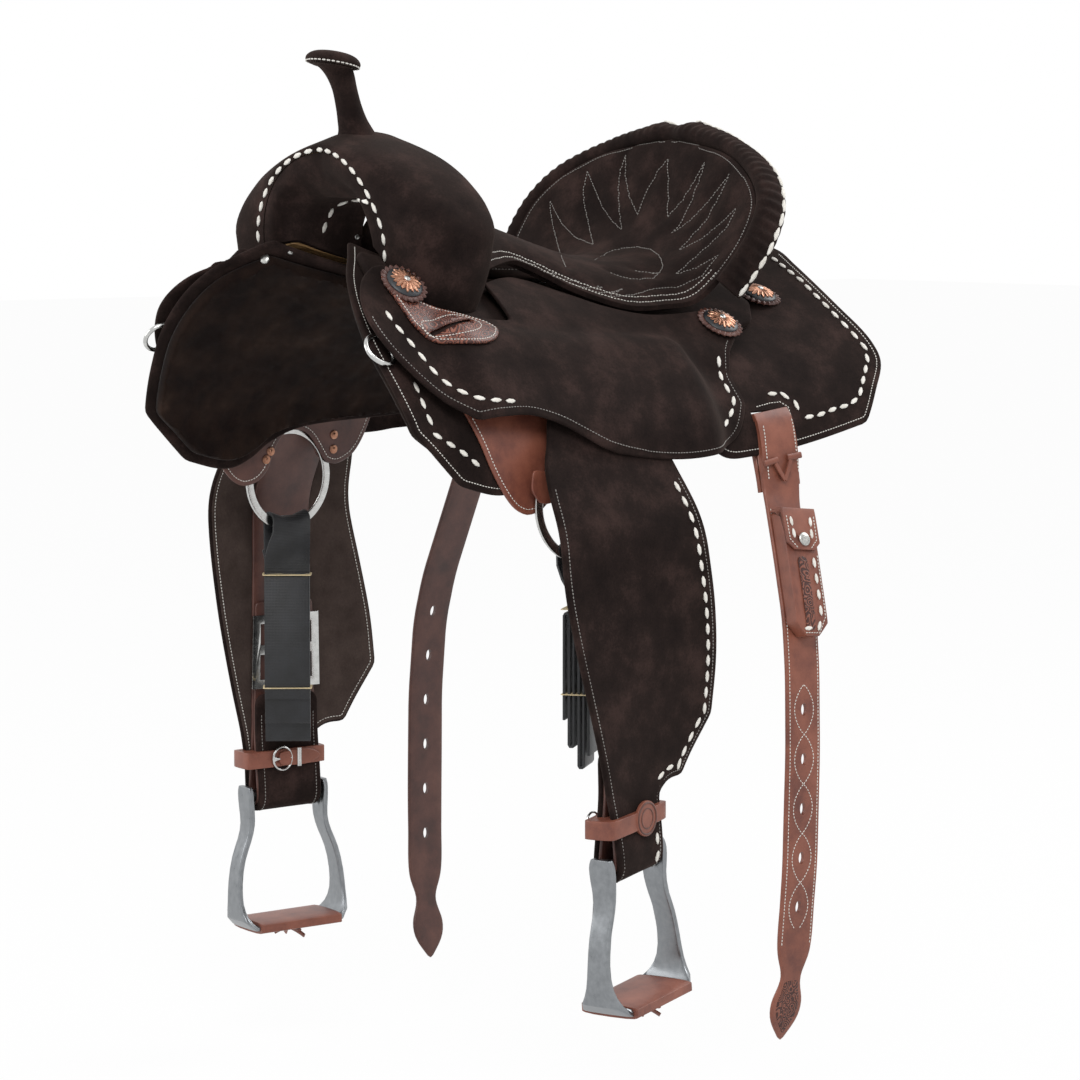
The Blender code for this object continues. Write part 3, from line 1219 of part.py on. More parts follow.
def fork_and_covers():
    middle = (0, SWELL_Y, FORK_Z)
    pieces = [
        loft("tree_fork", round_fork(fork_section), WOOD, about=middle),
        loft("swell_cover", round_fork(cover_section), SUEDE, about=middle),
        loft("gullet_cover", round_fork(lining_section), SUEDE, about=middle),
    ]
    bores = list(bar_cutters("feet"))
    for piece in pieces:
        for cutter in bores:
            combine(piece, cutter, "DIFFERENCE")
    bore_radius = HORN_POST_RADIUS + PLY_GAP
    bore = settle(tube("horn_bore", horn_points(0.004), bore_radius, STEEL, collection=CUTTERS))
    for piece in pieces[:2]:
        combine(piece, bore, "DIFFERENCE")
    return bore


def cap_axes():
    return Matrix.Translation(CAP_CENTRE) @ Matrix.Rotation(HORN_TILT, 4, "X")


def horn_points(extra):
    """The horn's line in the middle plane, up into the plate; extra carries on past its two ends."""
    points = [Vector((0, y, z)) for y, z in HORN_LINE[:-1]] + [cap_axes() @ Vector((0, 0, -0.0025))]
    points[0] -= (points[1] - points[0]).normalized() * extra
    points[-1] += (points[-1] - points[-2]).normalized() * extra
    return points


def horn(bore):
    axis = cap_axes()
    post = settle(tube("horn_core", horn_points(0.0), HORN_POST_RADIUS, STEEL))
    plate_place = axis @ Matrix.Translation((0, 0, CAP_PLATE_THICK / 2))
    plate = drum("horn_plate", CAP_PLATE_RADIUS, CAP_PLATE_THICK, plate_place, sides=20)
    combine(post, plate, "UNION")
    under = CAP_PLATE_THICK + GAP
    profile = [
        (0.0, CAP_HEIGHT + 0.001), (0.012, CAP_HEIGHT + 0.0005),
        (0.021, CAP_HEIGHT - 0.0015), (0.0255, CAP_HEIGHT - 0.0045),
        (CAP_RADIUS, CAP_HEIGHT - 0.008), (0.0255, 0.0015), (0.0228, 0.0), (CAP_PLATE_RADIUS + PLY_GAP, 0.0),
        (CAP_PLATE_RADIUS + PLY_GAP, under), (0.0, under),
    ]
    turned("horn_cap", profile, SUEDE, axis, steps=20)
    around = [2 * math.pi * k / 16 for k in range(16)]
    rings = []
    for (y, z), radius, lean in HORN_WRAP:
        place = Matrix.Translation((0, y, z)) @ Matrix.Rotation(math.radians(lean), 4, "X")
        rings.append([place @ Vector((radius * math.cos(a), radius * math.sin(a), 0)) for a in around])
    top = axis @ Matrix.Translation((0, 0, -PLY_GAP))
    rings.append([top @ Vector((0.0185 * math.cos(a), 0.0185 * math.sin(a), 0)) for a in around])
    wrap = loft("horn_wrap", rings, SUEDE)
    combine(wrap, bore, "DIFFERENCE")
    body = loft("swell_body", round_fork(swell_body_section), SUEDE, collection=CUTTERS)
    body.hide_render = True
    combine(wrap, body, "DIFFERENCE")


def swell_body_section(angle):
    line = offset_line(swell_line(angle), -GAP)
    return line[1:-1] + [(line[-1][0], line[-1][1]), (0.06, -0.20), (0.06, -0.24)]


# Seat: a dished surface between its middle line and its edge
def spline(points, t):
    """Smooth curve through the points, one unit of t from each to the next."""
    k = min(int(max(t, 0.0)), len(points) - 2)
    f = t - k
    p = [Vector(points[min(max(k + j, 0), len(points) - 1)]) for j in (-1, 0, 1, 2)]
    near = (p[2] - p[0]) / 2
    far = (p[3] - p[1]) / 2
    square, cube = f * f, f * f * f
    along = p[1] * (2 * cube - 3 * square + 1) + p[2] * (3 * square - 2 * cube)
    return along + near * (cube - 2 * square + f) + far * (cube - square)


SEAT_END = len(SEAT_EDGE) - 1


def seat_base(t, u):
    middle = spline([(0, y, z) for y, z in SEAT_MIDDLE], t)
    edge = spline(SEAT_EDGE, t)
    curve = abs(u) ** 2.1
    across = middle.lerp(edge, curve)
    return Vector((edge.x * u, across.y, across.z))


def seat_normal(t, u):
    t = min(t, SEAT_END - 0.35)
    u = max(min(u, 0.98), -0.98)
    across = seat_base(t, u + 0.01) - seat_base(t, u - 0.01)
    along = seat_base(t + 0.05, u) - seat_base(t - 0.05, u)
    return across.cross(along).normalized()


def seat_point(t, u, depth):
    crown = PAD_CROWN * (1 - abs(u) ** 4) * (1 - abs(2 * t / SEAT_END - 1) ** 4) if depth == 0 else 0.0
    return seat_base(t, u) + seat_normal(t, u) * (crown - depth)


def slab(name, starts, ends, across, top, under, mat, step=0.6):
    """A solid between two depths of the seat's surface; depths are functions of u."""
    count = max(2, round((ends - starts) / step) + 1)
    rows = []
    for t in np.linspace(starts, ends, count):
        upper = [seat_point(t, u, top(t, u)) for u in across]
        lower = [seat_point(t, u, under(t, u)) for u in across]
        rows.append(upper + lower[::-1])
    return loft(name, rows, mat, sharp=50, about=(0, 0, 1))


WIDE = (-1, -0.85, -0.6, -0.3, 0, 0.3, 0.6, 0.85, 1)


def seat():
    slab(
        "padded_seat", 0, SEAT_END, WIDE, lambda t, u: 0.0,
        lambda t, u: SEAT_PAD - 0.0035 * abs(u) ** 6, SUEDE,
    )
    inside = [max(min(u, 0.93), -0.93) for u in WIDE]
    under = SEAT_PAD + PLY_GAP
    slab(
        "ground_seat", 0.6, CANTLE_FROM - 0.6, inside, lambda t, u: under,
        lambda t, u: under + GROUND_SEAT_THICK, RUSSET,
    )
    board_end = SEAT_END - 0.6
    slab(
        "tree_cantle", CANTLE_FROM, board_end, inside, lambda t, u: under,
        lambda t, u: under + CANTLE_BOARD_THICK, WOOD,
    )
    behind = under + CANTLE_BOARD_THICK + PLY_GAP
    slab(
        "cantle_back", CANTLE_FROM, board_end, inside, lambda t, u: behind,
        lambda t, u: behind + CANTLE_BACK_THICK, SUEDE,
    )
    binding()


def rim_frame(t):
    """Edge point of the cantle with its outward and upward directions."""
    edge = spline(SEAT_EDGE, t)
    if t >= SEAT_END:
        out = seat_base(SEAT_END - 0.35, 0) - seat_base(SEAT_END - 1.35, 0)
        along, out = Vector((-1, 0, 0)), -out.normalized() * -1
        up = seat_normal(SEAT_END, 0.0)
        return edge, (out - up * out.dot(up)).normalized(), up
    along = (spline(SEAT_EDGE, t + 0.05) - spline(SEAT_EDGE, t - 0.05)).normalized()
    up = seat_normal(t, 0.97)
    out = along.cross(up).normalized()
    if out.x < 0 and t < SEAT_END - 2:
        out = -out
    return edge, out, up


def binding():
    """The roll that binds the seat's pad, the board and the back leather round the cantle's rim."""
    rings = []
    stops = [BINDING_FROM + 0.4 * k for k in range(int((SEAT_END - BINDING_FROM) / 0.4) + 1)]
    if SEAT_END - stops[-1] < 0.15:
        stops.pop()
    middle = (SEAT_PAD + CANTLE_BOARD_THICK + CANTLE_BACK_THICK) / 2
    half = []
    for t in stops + [SEAT_END]:
        edge, out, up = rim_frame(t)
        centre = edge + out * (ROLL_HALF_WIDTH + 2.5 * PLY_GAP) - up * middle
        ring = []
        for k in range(8):
            angle = 2 * math.pi * k / 8
            wide, thick = ROLL_HALF_WIDTH * math.cos(angle), ROLL_HALF_THICK * math.sin(angle)
            ring.append(centre + out * wide + up * thick)
        half.append(ring)
    for ring in half[:-1]:
        rings.append(ring)
    rings.append(half[-1])
    for ring in half[:-1][::-1]:
        rings.append([Vector((-p.x, p.y, p.z)) for p in ring])
    loft("cantle_binding", rings, SUEDE)


# Seat jockeys, string keepers and conchos
def jockeys():
    keeper_lift = JOCKEY_THICK + PLY_GAP
    for word, side in SIDES:
        panel(
            f"seat_jockey_{word}", JOCKEY_CUT, lambda p, q, lift: ply(p, q, lift, jockey_lift),
            JOCKEY_THICK, SUEDE, side,
        )
        keeper = panel(
            f"string_keeper_{word}", KEEPER_CUT,
            lambda p, q, lift: ply(p, q, keeper_lift + lift, jockey_lift), KEEPER_THICK, RUSSET, side,
        )
        slot = panel(
            f"keeper_slot_{word}", KEEPER_SLOT,
            lambda p, q, lift: ply(p, q, keeper_lift + lift - 0.003, jockey_lift), KEEPER_THICK + 0.006,
            RUSSET, side,
            collection=CUTTERS,
        )
        combine(keeper, slot, "DIFFERENCE")


def rise(y, s, lift, stand_off, radius):
    """How far the plies rise above their tangent plane within the radius, where a flat disc lies."""
    axes = hide_axes(y, s, lift + (stand_off(y, s) if stand_off else 0.0))
    centre, out = axes.translation, axes.col[2].to_3d()
    most = 0.0
    for k in range(16):
        for reach in (0.5 * radius, radius):
            a, b = reach * math.cos(math.pi * k / 8), reach * math.sin(math.pi * k / 8)
            most = max(most, (ply(y + a, s + b, lift, stand_off) - centre).dot(out))
    return most


def conchos():
    on_keeper = JOCKEY_THICK + KEEPER_THICK + PLY_GAP
    bases = {"front": (on_keeper, jockey_lift), "seat": (JOCKEY_THICK, jockey_lift), "skirt": (0.0, None)}
    for part, (y, s) in CONCHO_PLACES.items():
        for word, side in SIDES:
            lift, stand_off = bases[part]
            stand = lift + rise(y, s, lift, stand_off, ROSETTE_RADIUS + ROSETTE_SCALLOP) + CONCHO_CLEAR
            place = flipped(hide_axes(y, s, stand + (stand_off(y, s) if stand_off else 0.0)), side)
            rim = []
            steps = SCALLOPS * 2
            for k in range(steps):
                angle = 2 * math.pi * k / steps
                radius = ROSETTE_RADIUS + ROSETTE_SCALLOP * abs(math.sin(SCALLOPS * angle / 2))
                rim.append((radius * math.cos(angle), radius * math.sin(angle)))
            leaf = place @ Matrix.Translation((0, 0, ROSETTE_THICK / 2))
            rosette = settle(flat(f"concho_{part}_{word}", rim, ROSETTE_THICK, COPPER, leaf))
            top = ROSETTE_THICK - 0.0006
            dome = [
                (0.0, top + 0.0062), (0.012, top + 0.0044), (CONCHO_RADIUS, top + 0.0016),
                (CONCHO_RADIUS, top), (0.0, top),
            ]
            name = f"button_{part}_{word}"
            button = settle(turned(name, dome, COPPER, place, steps=12, collection=CUTTERS))
            combine(rosette, button, "UNION")


def pivot(name, place, axis, pieces, carrier=None):
    """An empty on a joint's axis, its X along it, that carries the pieces where they lie."""
    empty = bpy.data.objects.new(f"pivot_{name}", None)
    PIVOTS.objects.link(empty)
    empty.matrix_world = Matrix.Translation(place) @ axis.to_track_quat("X", "Z").to_matrix().to_4x4()
    bpy.context.view_layer.update()
    carried = [(bpy.data.objects[piece], empty) for piece in pieces]
    if carrier:
        carried.append((empty, carrier))
    for child, parent in carried:
        child.parent = parent
        child.matrix_parent_inverse = parent.matrix_world.inverted()
    bpy.context.view_layer.update()
    return empty


FENDER_GROUP = ("fender", "stirrup_leather", "leather_buckle", "hobble_strap", "hobble_buckle")


def pivots():
    """Each side's joints. The far side's axes are turned so that a positive angle is the mirrored motion."""
    for word, side in SIDES:
        def at(point):
            return Vector((point[0] * side, point[1], point[2]))

        def about(axis):
            return Vector((axis[0], axis[1] * side, axis[2] * side)).normalized()

        slope = math.radians(FENDER_SLOPE)
        normal = Vector((math.sin(slope), 0, math.cos(slope)))
        swing = pivot(
            f"fender_{word}", at(PIVOT), about(normal),
            [f"{part}_{word}" for part in FENDER_GROUP],
        )
        bar = stirrup_axes(word)
        pivot(
            f"stirrup_{word}", at(bar.translation), about(bar.col[1].to_3d()),
            [f"stirrup_{word}", f"tread_cover_{word}"], swing,
        )
        ring_low = RING_TOP_Z - 2 * RING_RADIUS
        ring_bottom = Vector((RING_X - RING_LEAN * RING_RADIUS, RING_Y, ring_low + LATIGO_HINGE_RISE))
        strap = "latigo_near" if side == NEAR else "off_billet_far"
        bands = [f"latigo_band_{part}_{word}" for part in ("upper", "lower")]
        pivot(f"hank_{word}", at(ring_bottom), about((0, 1, 0)), [strap] + bands)
        dee = hide_axes(DEE_Y, DEE_S, DEE_LIFT)
        pivot(f"breast_dee_{word}", at(dee.translation), about(dee.col[1].to_3d()), [f"breast_dee_{word}"])
        across = billet_point(-0.02, 0, 0) - billet_point(0.02, 0, 0)
        pouches = ["pouch_body"] if side == NEAR else []
        flex = pivot(
            f"rear_billet_{word}", at(billet_point(0, 0, BILLET_THICK / 2)), about(across),
            [f"rear_billet_{word}"] + pouches,
        )
        if side == NEAR:
            drop = POUCH_TOP_DROP - PLY_GAP - POUCH_FLAP_THICK
            edge = billet_point(0, drop, BILLET_THICK / 2 + PLY_GAP + 0.001)
            pivot("pouch_flap", edge, about(across), ["pouch_flap"], flex)


skirts()
dees()
rigging()
latigos()
fenders()
hobbles()
slide_buckles()
stirrups()
billet_loops()
billets()
pouch()
horn(fork_and_covers())
seat()
jockeys()
conchos()
pivots()
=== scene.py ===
# %% [markdown]
# # Barrel racing saddle
#
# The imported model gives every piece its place, and this file gives it its looks: rough-out leather with
# white lacing, a stitched seat, oiled straps, cast stirrups. The saddle faces -Y, its near (left) side is
# +X, +Z is up, and all lengths are metres.

# %% Frame
import json
import math

import bmesh
import bpy
import numpy as np
from mathutils import Matrix, Vector, noise
from mathutils.bvhtree import BVHTree
from mathutils.kdtree import KDTree

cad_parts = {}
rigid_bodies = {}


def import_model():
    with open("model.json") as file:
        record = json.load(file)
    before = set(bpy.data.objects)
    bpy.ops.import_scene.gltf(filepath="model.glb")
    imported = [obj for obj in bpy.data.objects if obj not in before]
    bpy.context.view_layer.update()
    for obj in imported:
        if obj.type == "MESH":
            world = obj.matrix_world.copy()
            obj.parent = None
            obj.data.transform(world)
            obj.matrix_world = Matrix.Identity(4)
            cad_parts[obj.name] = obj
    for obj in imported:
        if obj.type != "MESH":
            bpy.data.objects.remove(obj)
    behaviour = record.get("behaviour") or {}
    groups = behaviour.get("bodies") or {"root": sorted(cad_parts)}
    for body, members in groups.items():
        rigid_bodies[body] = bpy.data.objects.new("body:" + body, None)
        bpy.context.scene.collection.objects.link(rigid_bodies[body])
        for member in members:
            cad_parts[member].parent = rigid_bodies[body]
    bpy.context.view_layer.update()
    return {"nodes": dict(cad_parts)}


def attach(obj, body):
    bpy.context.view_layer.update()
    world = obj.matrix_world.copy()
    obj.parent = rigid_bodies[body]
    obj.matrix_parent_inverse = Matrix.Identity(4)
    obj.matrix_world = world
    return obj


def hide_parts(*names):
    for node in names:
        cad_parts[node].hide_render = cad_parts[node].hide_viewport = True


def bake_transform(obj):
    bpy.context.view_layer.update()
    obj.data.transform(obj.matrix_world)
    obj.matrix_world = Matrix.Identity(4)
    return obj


for leftover in list(bpy.data.objects):
    bpy.data.objects.remove(leftover, do_unlink=True)
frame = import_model()
SIDES = (("near", 1), ("far", -1))

# %% [markdown]
# ## Finishes
#
# A finish is a small network of nodes. One function adds a node, sets its values and makes its links, and
# colours are written as sRGB hex and turned linear, because shaders work in linear light. Pattern sizes are
# real sizes: a noise of scale 1000 / 4 on metres has lumps about 4 mm across.


# %% Colour and node helpers
def shade(hex_value):
    parts = [int(hex_value[k:k + 2], 16) / 255 for k in (1, 3, 5)]
    linear = [c / 12.92 if c <= 0.04045 else ((c + 0.055) / 1.055) ** 2.4 for c in parts]
    return (*linear, 1.0)


def add_node(tree, kind, values=None, links=None, **settings):
    made = tree.nodes.new(kind)
    for key, value in settings.items():
        setattr(made, key, value)
    for key, value in (values or {}).items():
        made.inputs[key].default_value = value
    for key, source in (links or {}).items():
        tree.links.new(source, made.inputs[key])
    return made


def new_finish(name, roughness, metallic=0.0, **fixed):
    mat = bpy.data.materials.new(name)
    mat.use_nodes = True
    tree = mat.node_tree
    shader = tree.nodes["Principled BSDF"]
    shader.inputs["Roughness"].default_value = roughness
    shader.inputs["Metallic"].default_value = metallic
    for key, value in fixed.items():
        shader.inputs[key.replace("_", " ")].default_value = value
    place = add_node(tree, "ShaderNodeTexCoord").outputs["Object"]
    return mat, tree, shader, place


def spots(tree, place, size_mm, detail=3.0, rough=0.55):
    """Soft noise with lumps of the given size."""
    values = {"Scale": 1000 / size_mm, "Detail": detail, "Roughness": rough}
    return add_node(tree, "ShaderNodeTexNoise", values, {"Vector": place}).outputs["Fac"]


def calculated(tree, operation, first, second=None):
    """One step of arithmetic on sockets and numbers."""
    values, links = {}, {}
    for slot, given in enumerate((first, second)):
        if given is not None:
            (values if isinstance(given, float) else links)[slot] = given
    return add_node(tree, "ShaderNodeMath", values, links, operation=operation).outputs[0]


def ramp(tree, factor, stops):
    made = add_node(tree, "ShaderNodeValToRGB", links={"Fac": factor})
    while len(made.color_ramp.elements) < len(stops):
        made.color_ramp.elements.new(0.5)
    for element, (at, tint) in zip(made.color_ramp.elements, stops):
        element.position, element.color = at, shade(tint)
    return made.outputs["Color"]


def bumped(tree, shader, heights):
    """Lays bumps on each other: (height, strength, depth in mm)."""
    normal = None
    for height, strength, depth_mm in heights:
        links = {"Height": height}
        if normal:
            links["Normal"] = normal
        values = {"Strength": strength, "Distance": depth_mm / 1000}
        normal = add_node(tree, "ShaderNodeBump", values, links).outputs["Normal"]
    tree.links.new(normal, shader.inputs["Normal"])


# %% [markdown]
# ## Rough-out leather
#
# Rough-out is cowhide worn flesh side out, so the fibres stand up like suede. They swallow highlights,
# catch a soft sheen at grazing angles, and where a hand has brushed them the nap lies the other way and
# looks lighter.


# %% Rough-out leather
def rough_out(name, dark, middle, light):
    mat, tree, shader, place = new_finish(
        name, 0.93, Sheen_Weight=0.13, Sheen_Roughness=0.5, Sheen_Tint=shade("#8a7468"), Specular_IOR_Level=0.12
    )
    nap = spots(tree, place, 42, 6.0, 0.62)
    fibre = spots(tree, place, 2.2, 4.0, 0.7)
    total = calculated(tree, "ADD", nap, calculated(tree, "MULTIPLY", fibre, 0.34))
    colour = ramp(tree, total, ((0.47, dark), (0.66, middle), (0.86, light)))
    tree.links.new(colour, shader.inputs["Base Color"])
    bumped(tree, shader, ((spots(tree, place, 0.9, 3.0, 0.7), 0.5, 0.35), (spots(tree, place, 5.0), 0.25, 0.5)))
    return mat


suede = rough_out("rough_out_cowhide", "#120b0a", "#1f1614", "#352724")
fender_back = rough_out("rough_out_cowhide_back", "#382e2a", "#433834", "#4e423d")

# %% [markdown]
# ## Oiled skirting leather
#
# Skirting is thick vegetable-tanned leather, grain side out, oiled to a chestnut brown. It is smooth and a
# little shiny, uneven in tone where the oil soaked in, with the fine pores of the hide.


# %% Oiled skirting leather
def oiled(name, dark, middle, light, carved=False):
    mat, tree, shader, place = new_finish(
        name, 0.46, Coat_Weight=0.10, Coat_Roughness=0.35, Specular_IOR_Level=0.42
    )
    tone = spots(tree, place, 30, 5.0, 0.6)
    grain = spots(tree, place, 1.6, 4.0, 0.65)
    total = calculated(tree, "ADD", tone, calculated(tree, "MULTIPLY", grain, 0.22))
    colour = ramp(tree, total, ((0.38, dark), (0.60, middle), (0.86, light)))
    pores = add_node(
        tree, "ShaderNodeTexVoronoi", {"Scale": 1000 / 0.8}, {"Vector": place}, feature="DISTANCE_TO_EDGE"
    ).outputs["Distance"]
    layers = [(pores, 0.12, 0.15), (grain, 0.15, 0.25)]
    if carved:
        bend = add_node(
            tree, "ShaderNodeTexNoise", {"Scale": 1000 / 26, "Detail": 1.0}, {"Vector": place}
        ).outputs["Color"]
        pull = add_node(tree, "ShaderNodeVectorMath", {"Scale": 0.022}, {0: bend}, operation="SCALE").outputs[0]
        moved = add_node(tree, "ShaderNodeVectorMath", links={0: place, 1: pull}, operation="ADD").outputs[0]
        cells = add_node(
            tree, "ShaderNodeTexVoronoi", {"Scale": 1000 / 9.0}, {"Vector": moved}, feature="F1"
        ).outputs["Distance"]
        wave = calculated(tree, "SINE", calculated(tree, "MULTIPLY", cells, 26.0))
        span = {"From Min": -0.2, "From Max": 0.5}
        lift = add_node(
            tree, "ShaderNodeMapRange", span, {"Value": wave}, interpolation_type="SMOOTHSTEP"
        ).outputs[0]
        layers.append((lift, 0.9, 0.9))
        stain = ramp(tree, lift, ((0.1, "#7c5a4c"), (0.75, "#ffffff")))
        colour = add_node(
            tree, "ShaderNodeMix", {0: 1.0}, {6: colour, 7: stain}, data_type="RGBA", blend_type="MULTIPLY"
        ).outputs[2]
    tree.links.new(colour, shader.inputs["Base Color"])
    bumped(tree, shader, layers)
    return mat


chestnut = oiled("oiled_skirting", "#5c3128", "#7a4636", "#8d5543")
brown = oiled("oiled_skirting_dark", "#3a231e", "#50312a", "#634036")
carved = oiled("oiled_skirting_carved", "#5c3128", "#7a4636", "#8d5543", carved=True)
# Near-side straps take chestnut. The far side's rigging plates, flaps, billets, billet loops and thongs take
# the darker copy, which is painted shade for the side turned from the light. The stirrup leathers, the keepers'
# backs and the concho rosettes are truly this darker brown on both sides.
STRAP_FINISH_FAR_SHADED = {"near": chestnut, "far": brown}

# %% [markdown]
# ## Fleece, wood, nylon, rubber and lace
#
# The fleece is dark wool with tight curls, so it is nearly all bump. The tree is unfinished wood with long
# grain. Nylon webbing shows the ribs of its weave, about 1.6 mm apart, and a slight plastic sheen. The lace
# is bleached latigo leather, the thread is waxed nylon, and the rubber bands are plain natural rubber.


# %% Fleece, wood, nylon, rubber, lace and thread
def plain(name, roughness, stops, size_mm, bump_mm, depth_mm=0.3, **fixed):
    mat, tree, shader, place = new_finish(name, roughness, **fixed)
    tree.links.new(ramp(tree, spots(tree, place, size_mm, 5.0, 0.6), stops), shader.inputs["Base Color"])
    bumped(tree, shader, ((spots(tree, place, bump_mm, 4.0, 0.65), 0.5, depth_mm),))
    return mat


fleece = plain(
    "wool_fleece", 1.0, ((0.35, "#140c0a"), (0.60, "#231813"), (0.85, "#382a23")), 38.0, 1.4, 0.7,
    Sheen_Weight=0.08, Sheen_Roughness=0.4, Specular_IOR_Level=0.10,
)
lace = plain("bleached_lace", 0.62, ((0.30, "#cfcac0"), (0.60, "#e9e6df"), (0.85, "#f4f2ee")), 7.0, 0.9, 0.12)
thread = plain("waxed_thread", 0.55, ((0.30, "#c4c0b8"), (0.70, "#e2dfd8")), 3.0, 0.5, 0.05)
dim_thread = plain("waxed_thread_dim", 0.60, ((0.30, "#6d6965"), (0.70, "#96928d")), 3.0, 0.5, 0.05)
rubber = plain("natural_rubber", 0.60, ((0.30, "#cdb88c"), (0.70, "#e2d0a8")), 9.0, 1.5, 0.10)
enamel = plain("black_enamel", 0.42, ((0.30, "#121417"), (0.70, "#23262a")), 12.0, 1.2, 0.08)


def webbing():
    mat, tree, shader, place = new_finish("woven_nylon", 0.48, Sheen_Weight=0.25, Sheen_Roughness=0.4)
    black = ramp(tree, spots(tree, place, 20), ((0.3, "#0b0c0e"), (0.7, "#1c1d21")))
    tree.links.new(black, shader.inputs["Base Color"])
    layers = []
    for pitch_mm, way, strength, depth_mm in ((1.6, "Z", 0.5, 0.3), (1.2, "Y", 0.4, 0.25)):
        rib = add_node(
            tree, "ShaderNodeTexWave", {"Scale": 1000 / (2 * math.pi * pitch_mm) * 2}, {"Vector": place},
            wave_type="BANDS", bands_direction=way, wave_profile="SIN",
        ).outputs["Fac"]
        layers.append((rib, strength, depth_mm))
    bumped(tree, shader, layers)
    return mat


def bare_wood():
    mat, tree, shader, place = new_finish("bare_tree_wood", 0.62)
    grain_place = add_node(tree, "ShaderNodeMapping", {"Scale": (1.0, 0.08, 1.0)}, {"Vector": place}).outputs[0]
    grain = spots(tree, grain_place, 4.0, 5.0, 0.6)
    stops = ((0.30, "#8a6a44"), (0.55, "#b18b5c"), (0.80, "#c8a475"))
    tree.links.new(ramp(tree, grain, stops), shader.inputs["Base Color"])
    bumped(tree, shader, ((grain, 0.3, 0.3),))
    return mat


nylon, wood = webbing(), bare_wood()

# %% [markdown]
# ## Metals
#
# The rings, dees and buckles are polished stainless steel. The stirrups are cast aluminium, belt-finished
# to a satin with faint streaks. The conchos carry a copper flower with a silver middle.


# %% Metals
def metal(name, roughness, stops, size_mm, streak=1.0, depth_mm=0.05):
    mat, tree, shader, place = new_finish(name, roughness, metallic=1.0)
    along = add_node(tree, "ShaderNodeMapping", {"Scale": (1.0, 1.0, streak)}, {"Vector": place}).outputs[0]
    tone = spots(tree, along, size_mm, 5.0, 0.6)
    tree.links.new(ramp(tree, tone, stops), shader.inputs["Base Color"])
    span = {"From Min": 0.3, "From Max": 0.7, "To Min": roughness - 0.07, "To Max": roughness + 0.07}
    uneven = add_node(tree, "ShaderNodeMapRange", span, {"Value": tone}).outputs[0]
    tree.links.new(uneven, shader.inputs["Roughness"])
    bumped(tree, shader, ((tone, 0.3, depth_mm),))
    return mat


steel = metal("polished_stainless", 0.22, ((0.3, "#b4b4b2"), (0.7, "#cfcfcd")), 6.0)
cast = metal("satin_cast_aluminium", 0.34, ((0.3, "#808386"), (0.7, "#939699")), 6.0, streak=0.8, depth_mm=0.03)
copper = metal("aged_copper", 0.34, ((0.3, "#8c6452"), (0.55, "#ad7f67"), (0.8, "#c6a28d")), 3.0)
silver = metal("oxidised_silver", 0.34, ((0.3, "#8b8b88"), (0.7, "#d4d4d0")), 1.6)

PACKED_FINISH = {
    "tree": wood, "horn_core": steel, "rigging_ring": steel, "breast_dee": steel, "leather_buckle": steel,
}
for node_name, cad_piece in frame["nodes"].items():
    for start, mat in PACKED_FINISH.items():
        if node_name.startswith(start):
            cad_piece.data.materials.clear()
            cad_piece.data.materials.append(mat)

# %% [markdown]
# ## The side of the saddle
#
# Skirts, jockeys and plates all lie on one surface. Its cross-section is a curve from the top, over the
# ribs, down to the hanging part, and three such curves along the back are blended. A point on it is given
# by its place along the back and its distance down the hide, as a saddler would mark it out.

# %% Side surface
SECTION_Y = (-0.33, -0.02, 0.28)
X_TOP, Z_TOP = (0.050, 0.035, 0.030), (0.072, -0.012, 0.030)
SLOPE_TOP, REACH_TOP = (40, 12, 12), (0.10, 0.09, 0.11)
X_LOW, Z_LOW = (0.2195, 0.2215, 0.240), (-0.145, -0.155, -0.135)
SLOPE_LOW, REACH_LOW = (86, 85, 72), (0.045, 0.06, 0.05)
SECTION_STEPS = 64
_sections = {}


def ease(t):
    t = min(max(t, 0.0), 1.0)
    return t * t * (3 - 2 * t)


def square_to(along, way):
    """The part of a way that is square to another, as a unit vector."""
    return (way - along * way.dot(along)).normalized()


def axes_at(here, x, y, z):
    return Matrix.Translation(here) @ Matrix((x, y, z)).transposed().to_4x4()


def blend_along(values, y):
    a, b, c = SECTION_Y
    parts = ((y - b) * (y - c) / ((a - b) * (a - c)), (y - a) * (y - c) / ((b - a) * (b - c)))
    parts += ((y - a) * (y - b) / ((c - a) * (c - b)),)
    return sum(part * value for part, value in zip(parts, values))


def section(y):
    key = round(y * 20000)
    if key not in _sections:
        slopes = [math.radians(blend_along(values, y)) for values in (SLOPE_TOP, SLOPE_LOW)]
        ends = [np.array((math.cos(slope), -math.sin(slope))) for slope in slopes]
        top = np.array((blend_along(X_TOP, y), blend_along(Z_TOP, y)))
        low = np.array((blend_along(X_LOW, y), blend_along(Z_LOW, y)))
        first, second = top + ends[0] * blend_along(REACH_TOP, y), low - ends[1] * blend_along(REACH_LOW, y)
        t = np.linspace(0, 1, SECTION_STEPS + 1)[:, None]
        line = (1 - t) ** 3 * top + 3 * (1 - t) ** 2 * t * first + 3 * (1 - t) * t ** 2 * second + t ** 3 * low
        down = np.concatenate(([0.0], np.cumsum(np.hypot(*np.diff(line, axis=0).T))))
        _sections[key] = (line, down, ends)
    return _sections[key]


def hide(y, s, lift=0.0):
    """The point s down the near side at y, lifted off the skirt's outer face."""
    line, down, ends = section(y)
    if s <= 0:
        place, along = line[0] + s * ends[0], ends[0]
    elif s >= down[-1]:
        place, along = line[-1] + (s - down[-1]) * ends[1], ends[1]
    else:
        at = min(int(np.searchsorted(down, s)), SECTION_STEPS)
        part = (s - down[at - 1]) / (down[at] - down[at - 1])
        place = line[at - 1] + (line[at] - line[at - 1]) * part
        before, after = line[max(at - 2, 0)], line[min(at + 1, SECTION_STEPS)]
        along = (line[at] - before) * (1 - part) + (after - line[at - 1]) * part
        along = along / np.hypot(*along)
    return Vector((place[0] - along[1] * lift, y, place[1] + along[0] * lift))


